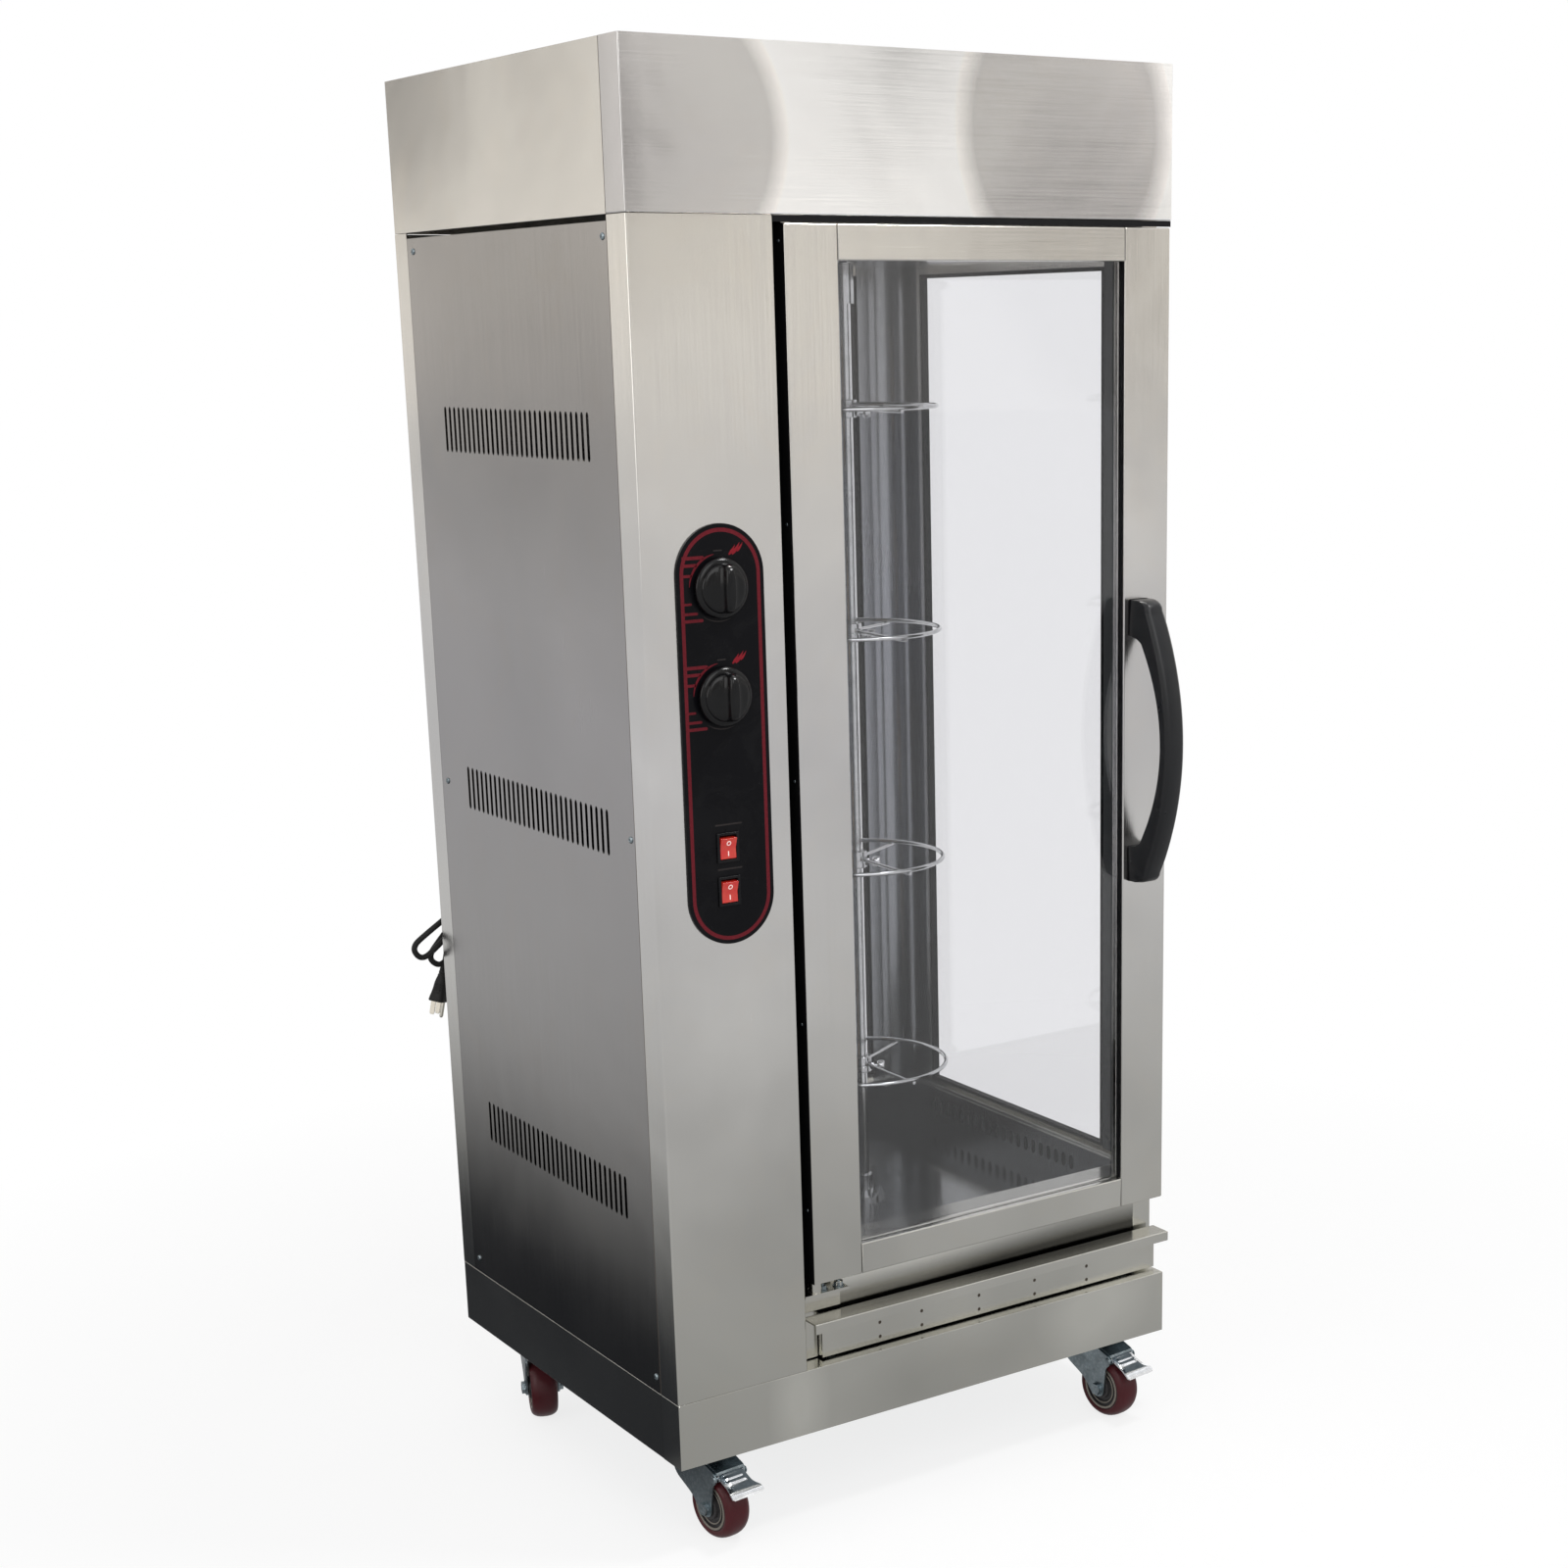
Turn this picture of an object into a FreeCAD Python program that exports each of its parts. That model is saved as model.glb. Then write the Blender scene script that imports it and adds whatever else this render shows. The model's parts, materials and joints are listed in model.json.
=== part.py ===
import FreeCAD, Part
import math
import os
import re
import Sketcher
from FreeCAD import Placement, Rotation, Vector

# Vertical chicken rotisserie: sheet-metal cabinet on casters with a glazed door,
# a drip drawer, a turning spindle with four wire rings and a control column.
# x runs to the right, y to the back and z up. Millimetres.

doc = FreeCAD.newDocument("vertical_rotisserie")
sheet = doc.addObject("Spreadsheet::Sheet", "Sizes")

SIZES = [
    # cabinet outside
    ("BodyWidth", 666, "outside width of the cabinet"),
    ("BodyDepth", 546, "outside depth of the cabinet"),
    ("BodyHeight", 1450, "bottom of the plinth to the top of the hood"),
    ("CasterHeight", 106, "floor to the bottom of the plinth"),
    ("SkirtHeight", 75, "height of the plinth skirt"),
    ("HoodHeight", 160, "height of the hood"),
    ("Gauge", 1.2, "thickness of the sheet metal"),
    ("SeamGap", 0.4, "gap at the seams between outer sheets"),
    ("SlideGap", 0.3, "clearance beside a moving or seated piece"),
    ("RunningFit", 0.06, "radial clearance of a shaft in its hole"),
    ("FrontReturn", 39, "side return of the front sheets"),
    ("RearReturn", 31.5, "side return of the rear sheets"),
    ("HandleReach", 69, "door handle in front of the cabinet face"),
    ("RearReach", 24, "gas inlet behind the cabinet"),
    # column and front frame
    ("ColumnWidth", 161.5, "width of the control column"),
    ("SealClearance", 0.4, "gap between the door seal and the front frame"),
    ("PostLeft", 30, "width of the left front post"),
    ("PostRight", 27, "width of the right front post"),
    ("PostDepth", 36, "depth of the front posts"),
    ("HeaderHeight", 35, "height of the header above the door opening"),
    ("LedgeDepth", 24, "depth of the ledge on top of the plinth"),
    # chamber
    ("WallDepth", 16, "thickness of the right and rear walls"),
    ("FloorLevel", 148, "chamber floor above the plinth bottom"),
    ("UpstandHeight", 55, "upstand of the floor tray"),
    ("SillTop", 203, "top of the sill plate"),
    ("SillBottom", 127, "bottom of the sill plate"),
    ("CornerRadius", 36, "rounded rear corner of the liner"),
    ("LinerStrip", 21, "strip of the liner beside the side glass"),
    ("PaneBottom", 212, "lower edge of the side and rear openings"),
    ("PaneTopDrop", 45, "upper edge of those openings below the body top"),
    ("SidePaneFront", 100, "front edge of the side opening"),
    ("SidePaneRear", 79, "rear edge of the side opening, from the back"),
    ("RearPaneLeft", 235, "left edge of the rear opening"),
    ("RearPaneRight", 69, "right edge of the rear opening, from the right"),
    ("GlassThickness", 5, "thickness of the glass"),
    ("GlassLap", 9, "lap of the glass behind its frame"),
    # door
    ("DoorLeft", 174, "left edge of the door from the left face"),
    ("DoorWidth", 489.5, "width of the door"),
    ("DoorBottom", 172, "bottom of the door above the plinth bottom"),
    ("DoorTopGap", 7.5, "gap between the door and the hood"),
    ("DoorThickness", 22, "thickness of the door"),
    ("StileWidth", 62, "width of the door stiles"),
    ("RailHeight", 35, "height of the door rails"),
    ("SealThickness", 2.6, "door seal"),
    ("SealWidth", 10, "width of the door seal"),
    ("HingeInset", 7, "hinge pin from the left edge of the door"),
    ("HingePinRadius", 4, "radius of the hinge pins"),
    ("HingePinLength", 14, "length of the hinge pins inside the door"),
    ("HandleLength", 320, "length of the door handle"),
    ("HandleWidth", 27, "width of the door handle"),
    ("HandleInset", 41.5, "handle centre from the right edge of the door"),
    ("HandleLevel", 726, "middle of the door handle above the plinth bottom"),
    ("HandleBar", 14, "thickness of the handle bar in the middle"),
    ("HandleShoulder", 32, "reach of the handle at its ends"),
    ("HandleFoot", 40, "height of the handle feet"),
    # drawer
    ("DrawerSetback", 16.5, "drawer face behind the cabinet face"),
    ("DrawerBottom", 77.5, "bottom of the drawer face"),
    ("DrawerTop", 130, "top of the drawer face"),
    ("GripReach", 26, "grip flange in front of the drawer face"),
    ("GripLip", 11.5, "down-turned lip of the grip"),
    ("GripLeft", 168, "left end of the grip from the left face"),
    ("TrayDepth", 470, "length of the drip tray"),
    ("TrayHeight", 38, "height of the drip tray"),
    ("RunnerWidth", 14, "width of the drawer runners"),
    # spindle
    ("SpindleBack", 280, "spindle axis behind the cabinet face"),
    ("SpindleRadius", 6.5, "radius of the spindle"),
    ("RingRadius", 103, "radius of the wire rings"),
    ("WireRadius", 2.5, "radius of the ring wire"),
    ("SpokeRadius", 2.2, "radius of the spokes"),
    ("SpokeTurn", 33, "direction of the first spoke in degrees"),
    ("HubRadius", 12, "radius of the ring hubs"),
    ("HubHeight", 20, "height of the ring hubs"),
    ("RingLevelA", 320, "lowest ring above the plinth bottom"),
    ("RingLevelB", 573.5, "second ring"),
    ("RingLevelC", 843.5, "third ring"),
    ("RingLevelD", 1096, "top ring"),
    ("SocketRadius", 10.5, "sleeve of the floor socket"),
    ("SocketHeight", 28, "height of the floor socket"),
    ("SocketFlange", 24, "radius of the floor socket flange"),
    # controls
    ("PlateLeft", 87, "middle of the control plate from the left face"),
    ("PlateWidth", 100, "width of the control plate"),
    ("PlateHeight", 427, "height of the control plate"),
    ("PlateLevel", 784, "middle of the control plate above the plinth bottom"),
    ("PlateThickness", 2, "thickness of the control plate"),
    ("KnobLeft", 85, "knob axis from the left face"),
    ("KnobLevelA", 934.5, "upper knob above the plinth bottom"),
    ("KnobLevelB", 826.5, "lower knob above the plinth bottom"),
    ("KnobRadius", 30, "radius of the knob skirt"),
    ("KnobCap", 24, "radius of the knob cap"),
    ("KnobDepth", 24, "depth of the knob with its grip"),
    ("KnobGrip", 11, "width of the grip bar"),
    ("PushTravel", 3, "travel of the knob when it is pushed"),
    ("StemRadius", 4, "radius of the valve stem"),
    ("SwitchLeft", 84, "middle of the switches from the left face"),
    ("SwitchLevelA", 671.8, "upper switch above the plinth bottom"),
    ("SwitchLevelB", 626.2, "lower switch above the plinth bottom"),
    ("SwitchWidth", 25.5, "width of a switch bezel"),
    ("SwitchHeight", 31, "height of a switch bezel"),
    ("BezelThickness", 2, "thickness of a switch bezel"),
    ("RockerWidth", 18.5, "width of a rocker"),
    ("RockerHeight", 22, "height of a rocker"),
    ("RockerTilt", 8, "tilt of a rocker to either side in degrees"),
    # vents
    ("SlotWidth", 5.6, "width of a vent slot"),
    ("SlotLength", 48, "length of a vent slot"),
    ("SlotPitch", 11.75, "slot to slot in a vent row"),
    ("SlotFront", 99, "first slot from the front face"),
    ("SlotLevel", 283, "lowest vent row above the plinth bottom"),
    ("SlotRise", 399, "vent row to vent row"),
    ("SlotCount", 30, "slots in a vent row"),
    ("AirSlotWidth", 8.4, "width of a slot in the floor tray"),
    ("AirSlotLength", 18, "length of a slot in the floor tray"),
    ("AirSlotPitch", 15.85, "slot to slot in the floor tray"),
    ("AirSlotFront", 157, "first slot of the floor tray from the front face"),
    ("AirSlotCount", 20, "slots in the floor tray"),
    ("FlueSlotPitch", 22, "slot to slot in the hood top"),
    ("FlueSlotCount", 7, "slots in the hood top"),
    # casters
    ("CasterInset", 60, "swivel axis from the side of the cabinet"),
    ("CasterSetback", 68, "swivel axis from the front or back of the cabinet"),
    ("WheelRadius", 38, "radius of a caster wheel"),
    ("WheelWidth", 32, "width of a caster wheel"),
    ("AxleRadius", 5, "radius of a caster axle"),
    ("Trail", 36, "wheel axle in front of the swivel axis"),
    ("ForkGap", 36, "clear width inside a caster fork"),
    ("ForkSteel", 2.5, "thickness of the fork steel"),
    ("ForkTop", 18, "fork plate below the plinth bottom"),
    ("PedalWidth", 34, "width of a brake pedal"),
    ("PedalReach", 88, "brake pedal tip from the swivel axis"),
    ("SwivelA", 6, "front left caster at rest in degrees"),
    ("SwivelB", 6, "front right caster at rest in degrees"),
    ("SwivelC", -20, "rear left caster at rest in degrees"),
    ("SwivelD", -12, "rear right caster at rest in degrees"),
    # power cord
    ("CordRadius", 3.5, "radius of the power cord"),
    ("GlandLeft", 108, "cord gland from the left face"),
    ("GlandLevel", 700, "cord gland above the plinth bottom"),
    ("GlandLength", 17, "cord gland behind the cabinet"),
    ("InletLevel", 160, "gas inlet above the plinth bottom"),
    ("InletRadius", 10.5, "radius of the gas inlet nipple"),
    ("InletCollar", 3, "collar of the gas inlet against the rear panel"),
    ("PipeRadius", 8, "radius of the gas pipe"),
]

VALUE = {}
for row, (alias, value, note) in enumerate(SIZES, 1):
    sheet.set("A%d" % row, alias)
    sheet.set("B%d" % row, str(value))
    sheet.set("C%d" % row, note)
    sheet.setAlias("B%d" % row, alias)
    VALUE[alias] = value
fit_row = len(SIZES) + 1
sheet.set("A%d" % fit_row, "FrameSetback")
sheet.set("B%d" % fit_row, "=DoorThickness + SealThickness + SealClearance")
sheet.set("C%d" % fit_row, "front frame behind the cabinet face, just clear of the shut door's seal")
sheet.setAlias("B%d" % fit_row, "FrameSetback")
doc.recompute()

# Corner of the cabinet from which pieces are placed: left face, front face, plinth bottom.
LEFT = "-BodyWidth/2"
FRONT = "(HandleReach - BodyDepth - RearReach)/2"
BASE = "CasterHeight"
BODY_TOP = "(BodyHeight - HoodHeight)"
PANE_TOP = "(BodyHeight - HoodHeight - PaneTopDrop)"
CEILING = "(BodyHeight - HoodHeight - HeaderHeight)"
POST_EDGE = "(ColumnWidth + PostLeft)"
RIGHT_POST = "(BodyWidth - PostRight)"
LINER_X = "(BodyWidth - WallDepth)"
LINER_Y = "(BodyDepth - WallDepth)"
DOOR_RIGHT = "(DoorLeft + DoorWidth)"
DOOR_TOP = "(BodyHeight - HoodHeight - DoorTopGap)"
SPINDLE_X = "(DoorLeft + DoorWidth/2)"

finished = {}


# Expressions

def formula(text):
    """Give every size name in a formula its place in the sheet."""
    return re.sub(r"\b([A-Z][A-Za-z]+)\b", r"Sizes.\1", str(text))


def bind(item, path, text):
    item.setExpression(path, formula(text))


def place(item, x="0", y="0", z="0"):
    """Put an item at x, y, z from the left front bottom corner of the cabinet."""
    bind(item, "Placement.Base.x", "%s + %s" % (LEFT, x))
    bind(item, "Placement.Base.y", "%s + %s" % (FRONT, y))
    bind(item, "Placement.Base.z", "%s + %s" % (BASE, z))


# Part primitives and booleans

def block(name, x, y, z, length, width, height, placed=True):
    """A box from its left, front, bottom corner."""
    item = doc.addObject("Part::Box", name)
    bind(item, "Length", length)
    bind(item, "Width", width)
    bind(item, "Height", height)
    if placed:
        place(item, x, y, z)
    else:
        bind(item, "Placement.Base.x", x)
        bind(item, "Placement.Base.y", y)
        bind(item, "Placement.Base.z", z)
    return item


TURNS = {
    "z": Rotation(),
    "x": Rotation(Vector(0, 1, 0), 90),
    "y": Rotation(Vector(1, 0, 0), -90),
}


def rod(name, axis, x, y, z, radius, length, placed=True):
    """A cylinder that starts at x, y, z and runs along an axis."""
    item = doc.addObject("Part::Cylinder", name)
    bind(item, "Radius", radius)
    bind(item, "Height", length)
    item.Placement = Placement(Vector(), TURNS[axis])
    if placed:
        place(item, x, y, z)
    else:
        bind(item, "Placement.Base.x", x)
        bind(item, "Placement.Base.y", y)
        bind(item, "Placement.Base.z", z)
    return item


def ring_wire(name, x, y, z, radius, wire):
    item = doc.addObject("Part::Torus", name)
    bind(item, "Radius1", radius)
    bind(item, "Radius2", wire)
    place(item, x, y, z)
    return item


def union(name, pieces):
    item = doc.addObject("Part::MultiFuse", name)
    item.Shapes = pieces
    item.Refine = True
    return item


def group(name, pieces):
    """Separate solids that share one node."""
    item = doc.addObject("Part::Compound", name)
    item.Links = pieces
    return item


def cut(name, base, tools):
    tool = tools[0] if len(tools) == 1 else group(name + "_tools", tools)
    item = doc.addObject("Part::Cut", name)
    item.Base = base
    item.Tool = tool
    item.Refine = True
    return item


def finish(node, item):
    """Name a finished sub-part; its Label names its file."""
    item.Label = node
    finished[node] = item
    return item


# Part design bodies

def new_body(name, x="0", y="0", z="0", placed=True):
    body = doc.addObject("PartDesign::Body", name)
    if placed:
        place(body, x, y, z)
    return body


def new_sketch(body, name, plane, offset=None):
    sketch = body.newObject("Sketcher::SketchObject", name)
    origin = [item for item in body.Origin.OriginFeatures if item.Role == plane + "_Plane"]
    sketch.AttachmentSupport = (origin[0], "")
    sketch.MapMode = "FlatFace"
    if offset is not None:
        bind(sketch, "AttachmentOffset.Base.z", offset)
    return sketch


def tie_point(sketch, geometry, end, x, y):
    """Hold a sketch point at a place worked out from the sheet."""
    here = sketch.getPoint(geometry, end)
    if x is not None:
        index = sketch.addConstraint(Sketcher.Constraint("DistanceX", -1, 1, geometry, end, here.x))
        sketch.setExpression("Constraints[%d]" % index, formula(x))
    index = sketch.addConstraint(Sketcher.Constraint("DistanceY", -1, 1, geometry, end, here.y))
    sketch.setExpression("Constraints[%d]" % index, formula(y))


def outline(body, name, plane, points, offset=None):
    """A closed outline of straight lines through points given as formulas."""
    sketch = new_sketch(body, name, plane, offset)
    draw_loop(sketch, points)
    return sketch


def draw_loop(sketch, points):
    first = sketch.GeometryCount
    count = len(points)
    for k in range(count):
        a = Vector(10 * k, 7 * k * k, 0)
        b = Vector(10 * ((k + 1) % count), 7 * ((k + 1) % count) ** 2, 0)
        sketch.addGeometry(Part.LineSegment(a, b), False)
    for k in range(count):
        last = first + (k + 1) % count
        sketch.addConstraint(Sketcher.Constraint("Coincident", first + k, 2, last, 1))
    for k, (x, y) in enumerate(points):
        tie_point(sketch, first + k, 1, x, y)


def circle(sketch, x, y, radius):
    index = sketch.addGeometry(Part.Circle(Vector(1, 1, 0), Vector(0, 0, 1), 5), False)
    tie_point(sketch, index, 3, x, y)
    held = sketch.addConstraint(Sketcher.Constraint("Radius", index, 5.0))
    sketch.setExpression("Constraints[%d]" % held, formula(radius))


def pad(body, sketch, length, reverse=False, middle=False):
    feature = body.newObject("PartDesign::Pad", body.Name + "_" + sketch.Name + "_pad")
    feature.Profile = sketch
    bind(feature, "Length", length)
    feature.Reversed = reverse
    if middle:
        feature.SideType = "Symmetric"
    body.Tip = feature
    return feature


def pocket(body, sketch, length, reverse=False, middle=False):
    feature = body.newObject("PartDesign::Pocket", body.Name + "_" + sketch.Name + "_cut")
    feature.Profile = sketch
    bind(feature, "Length", length)
    feature.Reversed = reverse
    if middle:
        feature.SideType = "Symmetric"
    body.Tip = feature
    return feature


def revolve(body, sketch, axis):
    feature = body.newObject("PartDesign::Revolution", body.Name + "_turned")
    feature.Profile = sketch
    line = [item for item in body.Origin.OriginFeatures if item.Role == axis + "_Axis"]
    feature.ReferenceAxis = (line[0], [""])
    feature.Angle = 360
    body.Tip = feature
    return feature


def repeat(body, feature, axis, count, pitch, second=None):
    """A row of a feature, or rows of it along a second axis."""
    row = body.newObject("PartDesign::LinearPattern", feature.Name + "_row")
    lines = {item.Role: item for item in body.Origin.OriginFeatures}
    row.Originals = [feature]
    row.Direction = (lines[axis + "_Axis"], [""])
    row.Mode = "Spacing"
    bind(row, "Occurrences", count)
    bind(row, "Offset", pitch)
    if second:
        row.Direction2 = (lines[second[0] + "_Axis"], [""])
        row.Mode2 = "Extent"
        bind(row, "Occurrences2", second[1])
        bind(row, "Length2", "(%s - 1)*(%s)" % (second[1], second[2]))
    body.Tip = row
    return row


def round_edges(body, name, radius, wanted):
    """Round the edges of a body's last feature that a test picks."""
    doc.recompute()
    base = body.Tip
    names = ["Edge%d" % (k + 1) for k, edge in enumerate(base.Shape.Edges) if wanted(edge)]
    if not names:
        raise ValueError("no edges to round on " + body.Name)
    feature = body.newObject("PartDesign::Fillet", name)
    feature.Base = (base, names)
    bind(feature, "Radius", radius)
    body.Tip = feature
    return feature


def upright_sheet(name, points, bottom, height):
    """A folded sheet: its plan, drawn from the cabinet's corner, raised to a height."""
    body = new_body(name, z=bottom)
    pad(body, outline(body, "plan", "XY", points), height)
    return body


def long_sheet(name, points, start, length):
    """A folded sheet: its section seen from the left, run to the right."""
    body = new_body(name, x=start)
    pad(body, outline(body, "section", "YZ", points), length)
    return body


# Plinth

plinth_front = new_body("PlinthFront")
pad(plinth_front, outline(plinth_front, "wrap", "XY", [
    ("0", "FrontReturn"), ("0", "0"), ("BodyWidth", "0"), ("BodyWidth", "FrontReturn"),
    ("BodyWidth - Gauge", "FrontReturn"), ("BodyWidth - Gauge", "Gauge"), ("Gauge", "Gauge"),
    ("Gauge", "FrontReturn")]), "SkirtHeight")
pad(plinth_front, outline(plinth_front, "ledge", "XY", [
    ("Gauge/2", "Gauge/2"), ("BodyWidth - Gauge/2", "Gauge/2"),
    ("BodyWidth - Gauge/2", "LedgeDepth"), ("Gauge/2", "LedgeDepth")],
    "SkirtHeight - Gauge"), "Gauge")
finish("plinth_front", plinth_front)

plinth_back = upright_sheet("PlinthBack", [
    ("0", "FrontReturn + SeamGap"), ("0", "BodyDepth"), ("BodyWidth", "BodyDepth"),
    ("BodyWidth", "FrontReturn + SeamGap"), ("BodyWidth - Gauge", "FrontReturn + SeamGap"),
    ("BodyWidth - Gauge", "BodyDepth - Gauge"), ("Gauge", "BodyDepth - Gauge"),
    ("Gauge", "FrontReturn + SeamGap")], "0", "SkirtHeight")
finish("plinth_back", plinth_back)

# The base pan carries the casters, the cabinet posts and the drawer runners.
RUNNER_LEVEL = "(DrawerBottom + 0.5)"
TRAY_LEFT = "(ColumnWidth + PostLeft + RunnerWidth)"
TRAY_RIGHT = "(BodyWidth - WallDepth - 6 - RunnerWidth)"
pan = block("BasePan", "Gauge", "Gauge", "0", "BodyWidth - 2*Gauge", "BodyDepth - 2*Gauge", "3")
runner_left = new_body("RunnerLeft", y="LedgeDepth + 6")
pad(runner_left, outline(runner_left, "section", "XZ", [
    (TRAY_LEFT + " - 3", "3"), (TRAY_LEFT + " - 0.8", "3"), (TRAY_LEFT + " - 0.8", RUNNER_LEVEL),
    (TRAY_LEFT + " + 12", RUNNER_LEVEL), (TRAY_LEFT + " + 12", RUNNER_LEVEL + " + 2"),
    (TRAY_LEFT + " - 0.8", RUNNER_LEVEL + " + 2"),
    (TRAY_LEFT + " - 0.8", RUNNER_LEVEL + " + 8"),
    (TRAY_LEFT + " - 3", RUNNER_LEVEL + " + 8")]), "TrayDepth", reverse=True)
runner_right = new_body("RunnerRight", y="LedgeDepth + 6")
pad(runner_right, outline(runner_right, "section", "XZ", [
    (TRAY_RIGHT + " + 3", "3"), (TRAY_RIGHT + " + 0.8", "3"), (TRAY_RIGHT + " + 0.8", RUNNER_LEVEL),
    (TRAY_RIGHT + " - 12", RUNNER_LEVEL), (TRAY_RIGHT + " - 12", RUNNER_LEVEL + " + 2"),
    (TRAY_RIGHT + " + 0.8", RUNNER_LEVEL + " + 2"),
    (TRAY_RIGHT + " + 0.8", RUNNER_LEVEL + " + 8"),
    (TRAY_RIGHT + " + 3", RUNNER_LEVEL + " + 8")]), "TrayDepth", reverse=True)
corner_posts = []
for side, (x, y) in enumerate([
        ("Gauge", "Gauge"), ("BodyWidth - Gauge - 30", "Gauge"),
        ("Gauge", "BodyDepth - Gauge - 30"), ("BodyWidth - Gauge - 30", "BodyDepth - Gauge - 30")]):
    corner_posts.append(block("BasePost%d" % side, x, y, "3", "30", "30",
                              "SkirtHeight - Gauge - 3"))
finish("base_frame", union("BaseFrame", [pan, runner_left, runner_right] + corner_posts))


# Control column

column = upright_sheet("Column", [
    ("0", "FrontReturn"), ("0", "0"), ("ColumnWidth", "0"), ("ColumnWidth", "FrameSetback - SeamGap"),
    ("ColumnWidth - Gauge", "FrameSetback - SeamGap"), ("ColumnWidth - Gauge", "Gauge"),
    ("Gauge", "Gauge"), ("Gauge", "FrontReturn")],
    "SkirtHeight + SeamGap", "BodyHeight - HoodHeight - SkirtHeight - 2*SeamGap")
holes = new_sketch(column, "holes", "XZ")
SHEET_START = "(SkirtHeight + SeamGap)"
for level in ("KnobLevelA", "KnobLevelB"):
    circle(holes, "KnobLeft", level + " - " + SHEET_START, "StemRadius + 2")
for level in ("SwitchLevelA", "SwitchLevelB"):
    x0 = "SwitchLeft - RockerWidth/2 - 2.6"
    x1 = "SwitchLeft + RockerWidth/2 + 2.6"
    z0 = level + " - " + SHEET_START + " - SwitchHeight/2 + 1.5"
    z1 = level + " - " + SHEET_START + " + SwitchHeight/2 - 1.5"
    draw_loop(holes, [(x0, z0), (x1, z0), (x1, z1), (x0, z1)])
pocket(column, holes, "10*Gauge", middle=True)
finish("control_column", column)

plate = new_body("ControlPlate", x="PlateLeft", y="-PlateThickness", z="PlateLevel")
plate_sketch = new_sketch(plate, "stadium", "XZ")
HALF = VALUE["PlateWidth"] / 2
RISE = VALUE["PlateHeight"] / 2 - HALF
plate_sketch.addGeometry(Part.LineSegment(Vector(HALF, -RISE, 0), Vector(HALF, RISE, 0)), False)
plate_sketch.addGeometry(Part.LineSegment(Vector(-HALF, RISE, 0), Vector(-HALF, -RISE, 0)), False)
plate_sketch.addGeometry(Part.ArcOfCircle(
    Part.Circle(Vector(0, RISE, 0), Vector(0, 0, 1), HALF), 0, math.pi), False)
plate_sketch.addGeometry(Part.ArcOfCircle(
    Part.Circle(Vector(0, -RISE, 0), Vector(0, 0, 1), HALF), math.pi, 2 * math.pi), False)
plate_sketch.addConstraint([
    Sketcher.Constraint("Coincident", 0, 2, 2, 1), Sketcher.Constraint("Coincident", 2, 2, 1, 1),
    Sketcher.Constraint("Coincident", 1, 2, 3, 1), Sketcher.Constraint("Coincident", 3, 2, 0, 1)])
STADIUM_RISE = "(PlateHeight - PlateWidth)/2"
tie_point(plate_sketch, 2, 3, "0", STADIUM_RISE)
tie_point(plate_sketch, 3, 3, "0", "-" + STADIUM_RISE)
tie_point(plate_sketch, 0, 1, "PlateWidth/2", "-" + STADIUM_RISE)
tie_point(plate_sketch, 0, 2, "PlateWidth/2", STADIUM_RISE)
tie_point(plate_sketch, 1, 1, None, STADIUM_RISE)
tie_point(plate_sketch, 1, 2, None, "-" + STADIUM_RISE)
pad(plate, plate_sketch, "PlateThickness", reverse=True)
plate_holes = new_sketch(plate, "holes", "XZ")
for level in ("KnobLevelA", "KnobLevelB"):
    circle(plate_holes, "KnobLeft - PlateLeft", level + " - PlateLevel", "StemRadius + SlideGap")
for level in ("SwitchLevelA", "SwitchLevelB"):
    x0 = "SwitchLeft - PlateLeft - RockerWidth/2 - 2.6"
    x1 = "SwitchLeft - PlateLeft + RockerWidth/2 + 2.6"
    z0 = level + " - PlateLevel - SwitchHeight/2 + 1.5"
    z1 = level + " - PlateLevel + SwitchHeight/2 - 1.5"
    draw_loop(plate_holes, [(x0, z0), (x1, z0), (x1, z1), (x0, z1)])
pocket(plate, plate_holes, "10*PlateThickness", middle=True)
finish("control_plate", plate)

# Each switch is a housing open to the front, with a bezel that rests on the plate.
housings = []
for tag, level in (("Upper", "SwitchLevelA"), ("Lower", "SwitchLevelB")):
    bezel = block("Bezel" + tag, "SwitchLeft - SwitchWidth/2", "-PlateThickness - BezelThickness",
                  level + " - SwitchHeight/2", "SwitchWidth", "BezelThickness", "SwitchHeight")
    housing = block("Housing" + tag, "SwitchLeft - RockerWidth/2 - 2.3", "-PlateThickness",
                    level + " - SwitchHeight/2 + 1.8", "RockerWidth + 4.6", "24",
                    "SwitchHeight - 3.6")
    well = block("Well" + tag, "SwitchLeft - RockerWidth/2 - SlideGap",
                 "-PlateThickness - BezelThickness - 1", level + " - RockerHeight/2 - 1.6",
                 "RockerWidth + 2*SlideGap", "BezelThickness + 14", "RockerHeight + 3.2")
    housings.append(cut("Switch" + tag, union("Shell" + tag, [bezel, housing]), [well]))
finish("switch_bodies", group("SwitchBodies", housings))

# A rocker lies pressed on one side, so its body is tilted about its pivot.
for tag, level in (("upper", "SwitchLevelA"), ("lower", "SwitchLevelB")):
    rocker = new_body("Rocker_" + tag, x="SwitchLeft - RockerWidth/2", y="2", z=level)
    pad(rocker, outline(rocker, "section", "YZ", [
        ("-7.2", "-RockerHeight/2"), ("-5.2", "0"), ("-7.2", "RockerHeight/2"),
        ("1", "RockerHeight/2 - 0.5"), ("5", "RockerHeight/4"), ("5", "-RockerHeight/4"),
        ("1", "-RockerHeight/2 + 0.5")]), "RockerWidth")
    rocker.Placement = Placement(Vector(), Rotation(Vector(1, 0, 0), 1))
    place(rocker, "SwitchLeft - RockerWidth/2", "2", level)
    bind(rocker, "Placement.Rotation.Angle", "RockerTilt")
    finish("rocker_" + tag, rocker)

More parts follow.
